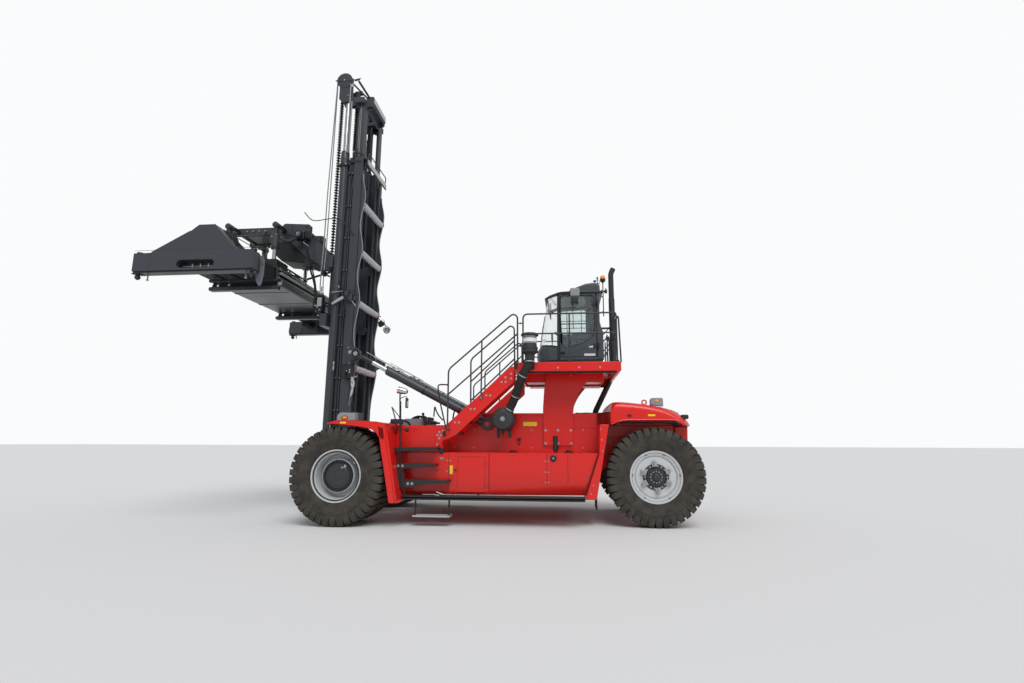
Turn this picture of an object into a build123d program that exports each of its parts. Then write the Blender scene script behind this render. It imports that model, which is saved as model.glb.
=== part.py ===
from build123d import *
import os

# Heavy forklift for laden containers: a four-wheel truck with twin front wheels, a two-stage mast
# and a telescopic top spreader for twenty and forty foot containers.
# The frame is in millimetres: +X forward (towards the spreader), +Y to the driver's left, +Z up.
# Places along the truck are measured from the front axle, and ahead() moves them to the frame,
# whose origin lies on the ground under the middle of the whole machine.

os.makedirs("parts", exist_ok=True)

# Driving dimensions of the truck
wheelbase = 5900
tyre_radius = 905
tyre_width = 500
rim_radius = 482
rim_width = 400
bead_radius = 425
twin_spacing = 600
front_outer_y = 1840
rear_tyre_y = 1276
kingpin_y = 860
tail_overhang = 940

# Driving dimensions of the spreader: centre ahead of the front axle, outside width and length
spreader_x = 2590
end_beam_width = 2380
end_beam_reach = 3020
corner_spacing_x = 2259
corner_spacing_y = 5853

# Clearances: between moving pieces, in running bores, and between touching curved faces
clearance = 6
running_fit = 0.3

tail_reach = wheelbase + tail_overhang
front_axle_x = (tail_reach - spreader_x - end_beam_width / 2) / 2
wheel_z = tyre_radius

# Two sides of the truck: name and sign of y
sides = (("left", 1), ("right", -1))


def ahead(x):
    """A place along the truck, given from the front axle."""
    return front_axle_x + x


def across(y):
    """The upright plane that stands at y, drawn as x to the right and z up."""
    return Plane(origin=(0, y, 0), x_dir=(1, 0, 0), z_dir=(0, -1, 0))


def along(x):
    """The upright plane that stands at x from the front axle, drawn as y to the right and z up."""
    return Plane(origin=(ahead(x), 0, 0), x_dir=(0, 1, 0), z_dir=(1, 0, 0))


def level(z):
    """The level plane at height z."""
    return Plane.XY.offset(z)


def outline(plane, *points):
    """A closed straight-sided face on a plane."""
    with BuildSketch(plane) as shape:
        with BuildLine():
            Polyline(*points, close=True)
        make_face()
    return shape.sketch


def slab(y1, y2, *points, mode=Mode.ADD):
    """A plate that fills y1 to y2, from its side outline in x and z."""
    moved = [(ahead(x), z) for x, z in points]
    extrude(outline(across(max(y1, y2)), *moved), amount=abs(y2 - y1), mode=mode)


def block(x1, x2, y1, y2, z1, z2, mode=Mode.ADD):
    """A square block between two places on each axis."""
    with Locations((ahead((x1 + x2) / 2), (y1 + y2) / 2, (z1 + z2) / 2)):
        Box(abs(x2 - x1), abs(y2 - y1), abs(z2 - z1), mode=mode)


def rod(start, end, radius, mode=Mode.ADD):
    """A round bar between two points."""
    base = Vector(ahead(start[0]), start[1], start[2])
    tip = Vector(ahead(end[0]), end[1], end[2])
    with BuildSketch(Plane(origin=base, z_dir=tip - base)) as end_face:
        Circle(radius)
    extrude(end_face.sketch, amount=(tip - base).length, mode=mode)


def turned(x, *points):
    """A ring turned about the wheel axis at x, from its section in y and distance from the axis."""
    hub_line = Axis((ahead(x), 0, wheel_z), (0, 1, 0))
    section = Plane(origin=(ahead(x), 0, wheel_z), x_dir=(0, 1, 0), z_dir=(1, 0, 0))
    revolve(outline(section, *points), axis=hub_line)


def save(piece, name):
    """Label a finished piece and write it."""
    piece.part.label = name
    export_step(piece.part, f"parts/{name}.step")


# Tyres
tread_half = 210
shoulder_radius = tyre_radius - 45
sidewall_high = 755
sidewall_low = 640
bead_half = 178


def tyre(x, middle_y):
    """One tyre round its rim."""
    half = tyre_width / 2
    inner = bead_radius + running_fit
    right = [
        (bead_half, inner),
        (bead_half, rim_radius + 10),
        (half, sidewall_low),
        (half, sidewall_high),
        (tread_half, shoulder_radius),
        (tread_half - 50, tyre_radius),
    ]
    left = [(-y, r) for y, r in reversed(right)]
    turned(x, *[(middle_y + y, r) for y, r in right + left])


front_inner_y = front_outer_y - twin_spacing
for side, sign in sides:
    with BuildPart() as front_tyres:
        for middle in (front_inner_y, front_outer_y):
            tyre(0, sign * middle)
    save(front_tyres, f"front_tyres_{side}")
    with BuildPart() as rear_tyre:
        tyre(-wheelbase, sign * rear_tyre_y)
    save(rear_tyre, f"rear_tyre_{side}")

# Wheels: rim barrel, flanges and hub. The front pair share one long barrel on a planetary hub
rim_wall = 22
flange_wall = 20
front_stub_radius = 120
front_stub_end = 1700
front_hub_radius = 270
front_hub_face = 1950
front_hub_in = 1010
front_disc_y = 1560
rear_stub_radius = 90
rear_stub_end = 1380
rear_hub_radius = 190
rear_hub_face = 1500
rear_hub_in = 1120
rear_disc_y = 1400
disc_wall = 30
for side, sign in sides:
    barrel_in = front_inner_y - rim_width / 2
    barrel_out = front_outer_y + rim_width / 2
    inside = bead_radius - rim_wall
    bore = front_stub_radius + running_fit
    with BuildPart() as front_rim:
        for middle in (front_inner_y, front_outer_y):
            for edge in (-1, 1):
                face = middle + edge * rim_width / 2
                back = face - edge * flange_wall
                turned(0, *[(sign * y, r) for y, r in (
                    (face, inside), (face, rim_radius), (back, rim_radius), (back, inside))])
        turned(0, *[(sign * y, r) for y, r in (
            (barrel_in, inside), (barrel_out, inside),
            (barrel_out, bead_radius), (barrel_in, bead_radius))])
        turned(0, *[(sign * y, r) for y, r in (
            (front_disc_y, front_hub_radius - 10), (front_disc_y + disc_wall, front_hub_radius - 10),
            (front_disc_y + disc_wall, inside + 2), (front_disc_y, inside + 2))])
        turned(0, *[(sign * y, r) for y, r in (
            (front_hub_in, bore), (front_hub_in, front_hub_radius),
            (front_hub_face - 60, front_hub_radius), (front_hub_face, front_hub_radius - 60),
            (front_hub_face, 0), (front_stub_end + clearance, 0), (front_stub_end + clearance, bore))])
    save(front_rim, f"front_rim_{side}")
    rear_in = rear_tyre_y - rim_width / 2
    rear_out = rear_tyre_y + rim_width / 2
    bore = rear_stub_radius + running_fit
    with BuildPart() as rear_rim:
        turned(-wheelbase, *[(sign * y, r) for y, r in (
            (rear_in, inside), (rear_in, rim_radius), (rear_in + flange_wall, rim_radius),
            (rear_in + flange_wall, bead_radius), (rear_out - flange_wall, bead_radius),
            (rear_out - flange_wall, rim_radius), (rear_out, rim_radius), (rear_out, inside))])
        turned(-wheelbase, *[(sign * y, r) for y, r in (
            (rear_disc_y, rear_hub_radius - 10), (rear_disc_y + disc_wall, rear_hub_radius - 10),
            (rear_disc_y + disc_wall, inside + 2), (rear_disc_y, inside + 2))])
        turned(-wheelbase, *[(sign * y, r) for y, r in (
            (rear_hub_in, bore), (rear_hub_in, rear_hub_radius),
            (rear_hub_face - 40, rear_hub_radius), (rear_hub_face, rear_hub_radius - 60),
            (rear_hub_face, 0), (rear_stub_end + clearance, 0), (rear_stub_end + clearance, bore))])
    save(rear_rim, f"rear_rim_{side}")

# Drive axle: centre housing, arms, brake drums and the stubs that carry the twin wheels
axle_arm_radius = 170
brake_radius = 300
brake_in = 800
brake_out = front_hub_in - clearance
with BuildPart() as front_axle:
    rod((0, -brake_in, wheel_z), (0, brake_in, wheel_z), axle_arm_radius)
    turned(0, (-300, 0), (-300, 180), (-150, 265), (150, 265), (300, 180), (300, 0))
    for side, sign in sides:
        rod((0, sign * brake_in, wheel_z), (0, sign * brake_out, wheel_z), brake_radius)
        rod((0, sign * brake_out, wheel_z), (0, sign * front_stub_end, wheel_z), front_stub_radius)
save(front_axle, "front_axle")

# Steer axle: beam with forked ends, and the knuckles that turn between their ears
beam_half_x = 150
beam_low = wheel_z - 150
beam_high = wheel_z + 150
fork_in = 720
fork_out = 950
ear_half_x = 105
ear_wall = 85
knuckle_half_z = 95
kingpin_radius = 50
seat_half_y = 240
seat_half_x = 190
spine_low = 1230
ear_low = wheel_z - knuckle_half_z - ear_wall
ear_high = wheel_z + knuckle_half_z + ear_wall
with BuildPart() as rear_axle:
    block(-wheelbase - beam_half_x, -wheelbase + beam_half_x, -fork_in, fork_in, beam_low, beam_high)
    block(-wheelbase - seat_half_x, -wheelbase + seat_half_x, -seat_half_y, seat_half_y,
          beam_high, spine_low)
    for side, sign in sides:
        block(-wheelbase - ear_half_x, -wheelbase + ear_half_x, sign * fork_in, sign * fork_out,
              ear_low, ear_high)
        block(-wheelbase - ear_half_x, -wheelbase + ear_half_x,
              sign * (kingpin_y - 120), sign * fork_out,
              wheel_z - knuckle_half_z, wheel_z + knuckle_half_z, mode=Mode.SUBTRACT)
        rod((-wheelbase, sign * kingpin_y, ear_low), (-wheelbase, sign * kingpin_y, ear_high),
            kingpin_radius)
save(rear_axle, "rear_axle")

for side, sign in sides:
    with BuildPart() as knuckle:
        rod((-wheelbase, sign * kingpin_y, wheel_z - knuckle_half_z + clearance),
            (-wheelbase, sign * kingpin_y, wheel_z + knuckle_half_z - clearance), 100)
        rod((-wheelbase, sign * kingpin_y, wheel_z), (-wheelbase, sign * (rear_hub_in - clearance),
            wheel_z), 80)
        rod((-wheelbase, sign * (rear_hub_in - 60), wheel_z), (-wheelbase, sign * rear_stub_end,
            wheel_z), rear_stub_radius)
        rod((-wheelbase, sign * kingpin_y, ear_low), (-wheelbase, sign * kingpin_y, ear_high),
            kingpin_radius + running_fit, mode=Mode.SUBTRACT)
    save(knuckle, f"knuckle_{side}")

# Pins of the tilt cylinders: base on the frame and eye on the mast, in x and z
tilt_y = 800
tilt_base = (-2640, 1900)
tilt_eye = (240, 3400)

# Frame: a hollow welded box between the axles, a narrow spine over the steer axle, and two heavy
# front plates that clamp the drive axle and carry the mast on its pins
frame_y = 680
frame_wall = 30
frame_front = -880
frame_low = 620
tank_top = 1330
tank_low = 550
deck_low = 1870
deck_high = 2120
spine_y = 300
spine_rear = -wheelbase - 550
frame_rear = -wheelbase + 850
tank_rear_top = -wheelbase + 1035
tank_rear_low = -wheelbase + 1295
spine_top = 1840
plate_in = 742
plate_out = 790
cradle_rear = -1005
cradle_front = 280
mast_pin_x = 520
mast_pin_z = 700
mast_pin_radius = 70
mast_pin_in = 620
frame_side = (
    (frame_front, frame_low), (frame_front, deck_low), (-1800, deck_low), (-2030, deck_high),
    (frame_rear, deck_high), (frame_rear, deck_low), (tank_rear_top + 5, tank_top),
    (tank_rear_low - 15, frame_low),
)
with BuildPart() as chassis_frame:
    slab(-frame_y, frame_y, *frame_side)
    slab(-frame_y + frame_wall, frame_y - frame_wall,
         (frame_front + frame_wall, frame_low + frame_wall),
         (frame_front + frame_wall, deck_low - frame_wall), (-1812, deck_low - frame_wall),
         (-2042, deck_high - frame_wall), (frame_rear + 40, deck_high - frame_wall),
         (frame_rear + 40, deck_low + 10), (tank_rear_top + 35, tank_top + 5),
         (tank_rear_low + 5, frame_low + frame_wall),
         mode=Mode.SUBTRACT)
    slab(-spine_y, spine_y, (tank_rear_low + 45, 760), (tank_rear_low + 45, spine_top),
         (spine_rear, spine_top), (spine_rear, spine_low), (frame_rear - 180, spine_low),
         (frame_rear + 30, 980))
    for side, sign in sides:
        slab(sign * frame_y, sign * plate_out,
             (cradle_rear, frame_low), (cradle_rear, 1500), (-320, 1560), (cradle_front, 1210),
             (cradle_front, 540), (-320, 560))
        slab(sign * plate_in, sign * plate_out,
             (cradle_front, 1210), (330, 1180), (640, 860), (640, 560), (400, 520),
             (cradle_front, 540))
        rod((0, sign * (frame_y - 20), wheel_z), (0, sign * (plate_out + 20), wheel_z),
            axle_arm_radius + running_fit, mode=Mode.SUBTRACT)
        rod((mast_pin_x, sign * mast_pin_in, mast_pin_z),
            (mast_pin_x, sign * plate_out, mast_pin_z), mast_pin_radius)
        rod((tilt_base[0], sign * (frame_y - 10), tilt_base[1]),
            (tilt_base[0], sign * (tilt_y - 60), tilt_base[1]), 90)
        rod((tilt_base[0], sign * (frame_y - 10), tilt_base[1]),
            (tilt_base[0], sign * (tilt_y + 65), tilt_base[1]), 50)
save(chassis_frame, "chassis_frame")

# Engine: one plain block on the frame's floor
with BuildPart() as engine:
    block(-4250, -2350, -400, 400, frame_low + frame_wall, 1900)
save(engine, "engine")

# Tail: cast counterweight under and behind the hood, narrow between the steered wheels
hood_low = deck_low
shoulder_profile = ((550, hood_low - 5), (480, 1500), (360, 1300))
shoulder_rear = -tail_reach + 120
keel_y = 300
keel_low = 760
keel_top = 1300
hitch_low = 930
hitch_high = 1040
hitch_pin_radius = 30
hitch_pin_x = -tail_reach + 110
with BuildPart() as counterweight:
    half = list(shoulder_profile)
    other = [(-y, z) for y, z in reversed(half)]
    extrude(outline(along(shoulder_rear), *(half + other)), amount=spine_rear - shoulder_rear)
    block(-tail_reach, spine_rear, -keel_y, keel_y, keel_low, keel_top)
    block(-tail_reach, -tail_reach + 230, -keel_y, keel_y, hitch_low, hitch_high,
          mode=Mode.SUBTRACT)
    rod((hitch_pin_x, 0, 700), (hitch_pin_x, 0, 1200), hitch_pin_radius, mode=Mode.SUBTRACT)
save(counterweight, "counterweight")

# Hood over the steered wheels: pressed shell, rounded down and tapered in plan towards the tail,
# with an arch over each wheel and slanted grille corners in front
hood_front = frame_rear
hood_y = 1420
hood_wall = 25
corner_high = 2120
arch_high = 1930
tail_middle = (
    (hood_front, hood_low), (hood_front, 2110), (hood_front - 140, 2345),
    (-tail_reach + 460, 2215), (-tail_reach + 160, 2060), (-tail_reach + 10, 1900),
    (-tail_reach, hood_low),
)
tail_shoulder = (
    (hood_front, hood_low), (hood_front, 2110), (hood_front - 140, 2340),
    (-tail_reach + 510, 2207), (-tail_reach + 250, 2062), (-tail_reach + 140, 1905),
    (-tail_reach + 128, hood_low),
)
tail_side = (
    (hood_front - 60, hood_low), (hood_front - 60, corner_high), (hood_front - 110, 2334),
    (-tail_reach + 657, 2197), (-tail_reach + 443, 2065), (-tail_reach + 341, 1916),
    (-tail_reach + 328, hood_low),
)
hood_sections = ((0, tail_middle), (760, tail_shoulder), (hood_y, tail_side))
with BuildPart() as rear_hood:
    for side, sign in sides:
        for near, far in zip(hood_sections, hood_sections[1:]):
            for y, points in (near, far):
                with BuildSketch(across(sign * y)):
                    with BuildLine():
                        Polyline(*[(ahead(x), z) for x, z in points], close=True)
                    make_face()
            loft(ruled=True)
        corner = [(hood_front, frame_y + 8), (hood_front + 170, frame_y + 8),
                  (hood_front - 60, hood_y), (hood_front - 60, frame_y + 8)]
        extrude(outline(level(hood_low), *[(ahead(x), sign * y) for x, y in corner]),
                amount=corner_high - hood_low)
        slab(sign * (frame_y + 8), sign * (hood_y + 10),
             (hood_front - 149, hood_low - 10), (hood_front - 227, arch_high),
             (-tail_reach + 523, arch_high), (-tail_reach + 398, hood_low + 10),
             (-tail_reach + 398, hood_low - 10), mode=Mode.SUBTRACT)
    slab(-frame_y, frame_y, (hood_front - hood_wall, hood_low - 10),
         (hood_front - hood_wall, hood_low + 150), (-tail_reach + 400, hood_low + 150),
         (-tail_reach + 400, hood_low - 10), mode=Mode.SUBTRACT)
save(rear_hood, "rear_hood")

# Side tanks with their flat tops and slanted skirts, and the fenders before and behind them
tank_y = 1500
boarding_y = 1450
boarding_top = 1830
boarding_rear = -1860
with BuildPart() as side_tanks:
    for side, sign in sides:
        half = ((frame_y, tank_low), (frame_y, tank_top), (tank_y, tank_top), (tank_y, 670),
                (tank_y - 60, tank_low))
        extrude(outline(along(tank_rear_top), *[(sign * y, z) for y, z in half]),
                amount=-900 - tank_rear_top)
        slab(sign * frame_y, sign * tank_y, (tank_rear_top, tank_top),
             (tank_rear_top, tank_low), (tank_rear_low, tank_low), mode=Mode.SUBTRACT)
        slab(sign * frame_y, sign * tank_y, (-900, 1890), (-900, tank_low - 110),
             (-1190, tank_low - 110), mode=Mode.SUBTRACT)
        block(boarding_rear, -1020, sign * frame_y, sign * boarding_y, tank_top, boarding_top)
save(side_tanks, "side_tanks")

fender_y = 2080
fender_in = 1060
skirt_wall = 30
with BuildPart() as front_fenders:
    for side, sign in sides:
        slab(sign * fender_in, sign * fender_y,
             (219, 1860), (219, 1874), (59, 1920), (-500, 1915), (-900, 1882), (-750, 1850),
             (-500, 1885), (59, 1890))
        slab(sign * (fender_y - skirt_wall), sign * fender_y,
             (219, 1860), (219, 1874), (59, 1920), (-500, 1915), (-900, 1882), (-900, 1563),
             (-791, 1563), (-696, 1734), (-511, 1791), (-219, 1827), (54, 1855))
        slab(sign * 970, sign * fender_y,
             (-750, 1850), (-900, 1882), (-1190, 440), (-1040, 440))
save(front_fenders, "front_fenders")

rear_strip_in = 1390
rear_strip_out = 1540
strip_top = hood_low - 2
strip_foot = 490
foot_front = tank_rear_low + 20
with BuildPart() as rear_fenders:
    for side, sign in sides:
        slab(sign * rear_strip_in, sign * rear_strip_out,
             (hood_front + 160, strip_top), (hood_front - 10, strip_top),
             (tank_rear_low - 195, strip_foot), (foot_front, strip_foot), (tank_rear_top, tank_top))
        slab(sign * frame_y, sign * rear_strip_out,
             (hood_front + 160, strip_top), (hood_front + 130, strip_top),
             (hood_front + 155, tank_top), (tank_rear_low - 10, strip_foot),
             (foot_front, strip_foot), (tank_rear_top, tank_top))
save(rear_fenders, "rear_fenders")

# Running boards along the tanks, boarding steps and the fold-down step, on both sides
board_y = 1800
board_low = 475
step_y = 1780
boarding_steps = (
    (-1830, -1010, boarding_y, 1345, 1431), (-1810, -1065, tank_y, 1075, 1120),
    (-2060, -1240, tank_y, 775, 825),
)
with BuildPart() as running_boards:
    for side, sign in sides:
        block(foot_front + 5, -1200, sign * (tank_y - 100), sign * board_y, board_low, tank_low)
        for step_rear, step_front, step_in, step_low, step_top in boarding_steps:
            block(step_rear, step_front, sign * step_in, sign * step_y, step_low, step_top)
        slab(sign * (step_y - 25), sign * step_y,
             (-1070, 1075), (-1160, 1075), (-1240, 800), (-1240, 775), (-1430, 775),
             (-1430, 700), (-1150, 690))
        for x in (-1440, -2080):
            rod((x, sign * 1700, 190), (x, sign * 1700, board_low + 5), 14)
        block(-2110, -1410, sign * 1600, sign * board_y, 170, 205)
save(running_boards, "running_boards")

# Raised platform, its two long carrying beams, and the columns that hold them over the frame
platform_top = 3080
platform_low = 2890
platform_floor = 3040
platform_front = -3250
platform_rear = -5330
platform_y = 1500
platform_rim = 60
carrier_in = 250
carrier_out = 660
carrier_low = 2764
stack_x = -5380
stack_y = -640
stack_radius = 70
stack_gap = stack_radius + 30
with BuildPart() as platform:
    block(platform_rear, platform_front, -platform_y, platform_y, platform_low, platform_top)
    block(platform_rear + platform_rim, platform_front - platform_rim, -platform_y + platform_rim,
          platform_y - platform_rim, platform_low, platform_floor, mode=Mode.SUBTRACT)
    for side, sign in sides:
        block(-5047, -3444, sign * carrier_in, sign * carrier_out, carrier_low, platform_floor)
    block(platform_rear, platform_rear + 150, stack_y - stack_gap, stack_y + stack_gap,
          platform_low, platform_top, mode=Mode.SUBTRACT)
save(platform, "platform")

column_wall = 60
column_foot = 1468
with BuildPart() as platform_columns:
    for side, sign in sides:
        outer_face = across(max(sign * frame_y, sign * (frame_y + column_wall)))
        with BuildSketch(outer_face) as column_face:
            with BuildLine():
                Polyline((ahead(-5040), platform_floor), (ahead(-3880), platform_floor),
                         (ahead(-3823), 2697), (ahead(-3789), 2235), (ahead(-3789), column_foot),
                         (ahead(-4400), column_foot), (ahead(-4408), 2120))
                ThreePointArc((ahead(-4408), 2120), (ahead(-4560), 2535), (ahead(-5040), platform_floor))
            make_face()
        extrude(column_face.sketch, amount=column_wall)
        block(-4350, -3830, sign * (frame_y - 160), sign * frame_y, deck_high, carrier_low)
        block(-4350, -3880, sign * carrier_out, sign * frame_y, carrier_low, platform_floor)
save(platform_columns, "platform_columns")

# Stairs up both sides to the platform
stair_in = 1010
stair_out = boarding_y + 25
stringer_wall = 25
stair_foot = (-1900, 1500)
stair_head = (-3250, 2960)
step_count = 6
with BuildPart() as stairs:
    for side, sign in sides:
        flight = ((-1884, 1569), (-1986, 1600), (-2126, 1666), (platform_front, 2700),
                  (platform_front, 2990), (-1984, 1898))
        slab(sign * stair_in, sign * (stair_in + stringer_wall),
             (boarding_rear, 1804), (boarding_rear, 1537), *flight)
        slab(sign * (stair_out - stringer_wall), sign * stair_out,
             (-1730, 1706), (-1733, 1431), (-1780, 1431), *flight)
        for step in range(step_count):
            share = (step + 1) / (step_count + 1)
            x = stair_foot[0] + share * (stair_head[0] - stair_foot[0])
            z = stair_foot[1] + share * (stair_head[1] - stair_foot[1])
            block(x - 110, x + 110, sign * stair_in, sign * stair_out, z - 15, z + 15)
save(stairs, "stairs")

# Handrails round the platform and up both sides of each flight of stairs
rail_radius = 17
post_radius = 15
rail_y = 1477
rail_top = 4045
rail_mid = 3645
post_rear = -5265
outer_rail_y = stair_out + 17
inner_rail_y = stair_in - 17
outer_rails = ((-1960, 1760, 2945), (-2613, 2346, 3501), (-3326, platform_top, 4006))
inner_rails = ((-2325, 2100, 3218), (-3225, 2890, 3877))
with BuildPart() as handrails:
    for side, sign in sides:
        y = sign * rail_y
        inner = sign * 800
        for z in (rail_mid, rail_top):
            rod((-3433, y, z), (post_rear, y, z), rail_radius)
            rod((post_rear, y, z), (post_rear, inner, z), post_radius)
        for x in (-3433, -4350, post_rear):
            rod((x, y, platform_top), (x, y, rail_top), post_radius)
        rod((post_rear, inner + sign * 30, platform_top), (post_rear, inner + sign * 30, rail_top),
            rail_radius)
        y = sign * outer_rail_y
        rod((-1960, y, 2945), (-3228, y, 4052), rail_radius)
        rod((-3228, y, 4052), (-3326, y, 4006), rail_radius)
        rod((-1957, y, 2450), (-3324, y, 3647), rail_radius)
        for x, low, high in outer_rails:
            rod((x, y, low), (x, y, high), post_radius)
            block(x - 20, x + 20, sign * stair_out, y, low, low + 60)
        y = sign * inner_rail_y
        rod((-2325, y, 3218), (-3131, y, 3924), rail_radius)
        rod((-3131, y, 3924), (-3225, y, 3877), rail_radius)
        rod((-2336, y, 2762), (-3204, y, 3604), rail_radius)
        for x, low, high in inner_rails:
            rod((x, y, low), (x, y, high), post_radius)
            block(x - 20, x + 20, y, sign * stair_in, low, low + 60)
save(handrails, "handrails")

# Cab: hollow shell with its windows cut, door, panes and seat
cab_y = 680
cab_wall = 60
cab_floor = 3230
cab_front = -3760
cab_rear = -5060
cab_side = (
    (cab_front, cab_floor), (cab_front, 3400), (-3770, 3900), (-3850, 4580), (-4170, 4720),
    (-4790, 4930), (-4990, 4900), (cab_rear, 4500), (cab_rear, cab_floor),
)
cab_room = (
    (cab_front - 60, cab_floor + 60), (cab_front - 60, 3400), (-3830, 3900), (-3905, 4540),
    (-4190, 4655), (-4790, 4865), (-4945, 4840), (cab_rear + 60, 4480),
    (cab_rear + 60, cab_floor + 60),
)
door_front = -4150
door_rear = -4930
door_low = 3290
door_high = 4700
hinge_x = -4955
hinge_y = 706
hinge_heights = (3480, 4400)
with BuildPart() as cab_shell:
    slab(-cab_y, cab_y, *cab_side)
    slab(-cab_y + cab_wall, cab_y - cab_wall, *cab_room, mode=Mode.SUBTRACT)
    slab(cab_y - cab_wall - 10, cab_y + 10,
         (door_front, door_low), (door_front, door_high - 60), (door_rear, door_high),
         (door_rear, door_low), mode=Mode.SUBTRACT)
    slab(-cab_y - 10, -cab_y + cab_wall + 10,
         (door_front, 3500), (door_front, door_high - 60), (door_rear, door_high),
         (door_rear, 3500), mode=Mode.SUBTRACT)
    for side, sign in sides:
        slab(sign * (cab_y - cab_wall - 10), sign * (cab_y + 10),
             (-3850, 3520), (-3900, 4480), (-4080, 4560), (-4080, 3520), mode=Mode.SUBTRACT)
    block(cab_front - 120, cab_front + 20, -cab_y + 70, cab_y - 70, 3520, 4470, mode=Mode.SUBTRACT)
    block(cab_rear - 20, cab_rear + 80, -cab_y + 90, cab_y - 90, 3700, 4420, mode=Mode.SUBTRACT)
    block(-4760, -4250, -cab_y + 110, cab_y - 110, 4600, 5000, mode=Mode.SUBTRACT)
    block(cab_rear + 80, cab_front - 80, -cab_y + 60, cab_y - 60, platform_top, cab_floor)
    for z in hinge_heights:
        block(hinge_x - 12, hinge_x + 12, cab_y, hinge_y + 11, z - 40, z)
        rod((hinge_x, hinge_y, z - 20), (hinge_x, hinge_y, z + 110), 11)
save(cab_shell, "cab_shell")

gap = clearance
with BuildPart() as cab_door:
    for z in hinge_heights:
        block(hinge_x + 20, door_rear + 80, cab_y, cab_y + 14, z + 10, z + 100)
        rod((hinge_x, hinge_y, z + gap), (hinge_x, hinge_y, z + 104), 24)
        rod((hinge_x, hinge_y, z - 20), (hinge_x, hinge_y, z + 200), 11 + running_fit,
            mode=Mode.SUBTRACT)
    slab(cab_y - cab_wall + 15, cab_y,
         (door_front - gap, door_low + gap), (door_front - gap, door_high - 60 - gap),
         (door_rear + gap, door_high - gap), (door_rear + gap, door_low + gap))
    slab(cab_y - cab_wall + 10, cab_y + 10,
         (door_front - 60, 3560), (door_front - 60, door_high - 130), (door_rear + 110, door_high - 90),
         (door_rear + 110, 3700), (-4560, 3560), mode=Mode.SUBTRACT)
save(cab_door, "cab_door")

with BuildPart() as cab_glass:
    pane = 8
    slab(-cab_y + 70, cab_y - 70, (-3795, 3530), (-3800, 3900), (-3862, 4460), (-3870, 4460),
         (-3808, 3900), (-3803, 3530))
    slab(-cab_y + 20, -cab_y + 20 + pane,
         (door_front, 3500), (door_front, door_high - 60), (door_rear, door_high), (door_rear, 3500))
    for side, sign in sides:
        slab(sign * (cab_y - 30), sign * (cab_y - 30 + pane),
             (-3850, 3520), (-3900, 4480), (-4080, 4560), (-4080, 3520))
    block(cab_rear + 20, cab_rear + 20 + pane, -cab_y + 90, cab_y - 90, 3700, 4420)
save(cab_glass, "cab_glass")

with BuildPart() as door_glass:
    slab(cab_y - 40, cab_y - 32,
         (door_front - 60, 3560), (door_front - 60, door_high - 130), (door_rear + 110, door_high - 90),
         (door_rear + 110, 3700), (-4560, 3560))
save(door_glass, "door_glass")

with BuildPart() as driver_seat:
    block(-4800, -4400, -250, 250, cab_floor + 60, 3560)
    slab(-240, 240, (-4400, 3560), (-4400, 3680), (-4700, 3680), (-4800, 4250), (-4900, 4250),
         (-4820, 3560))
    slab(-60, 60, (-4020, cab_floor + 60), (-3960, 3900), (-3900, 3900), (-3920, cab_floor + 60))
save(driver_seat, "driver_seat")

# Air cleaner on the frame's side with its tall intake, and the exhaust behind the cab
cleaner_x = -3026
cleaner_z = 1980
intake_x = -3580
intake_y = 1690
with BuildPart() as air_cleaner:
    rod((cleaner_x, frame_y, cleaner_z), (cleaner_x, 1000, cleaner_z), 60)
    rod((cleaner_x, 950, cleaner_z), (cleaner_x, 1400, cleaner_z), 225)
    rod((cleaner_x - 110, 1290, cleaner_z + 150), (-3430, intake_y - 30, 2780), 88)
    rod((-3425, intake_y - 30, 2760), (intake_x, intake_y, 3040), 92)
    rod((intake_x, intake_y, 3010), (intake_x, intake_y, 3260), 95)
    rod((intake_x, intake_y, 3235), (intake_x, intake_y, 3610), 165)
    block(intake_x - 45, intake_x + 45, platform_y, intake_y, 3030, 3070)
save(air_cleaner, "air_cleaner")

exhaust_foot = (-4930, stack_y, 2180)
exhaust_knee = (stack_x, stack_y, 3120)
with BuildPart() as exhaust:
    rod((-4930, stack_y, deck_high), (-4930, stack_y, 2210), stack_radius - 2)
    rod(exhaust_foot, exhaust_knee, stack_radius - 2)
    rod((stack_x, stack_y, 3090), (stack_x, stack_y, 5600), stack_radius)
    rod((stack_x, stack_y, 5580), (stack_x - 70, stack_y, 5740), stack_radius - 2)
    for z in (3330, 4180):
        block(stack_x + 20, cab_rear, stack_y - 25, stack_y + 25, z - 20, z + 20)
save(exhaust, "exhaust")

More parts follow.
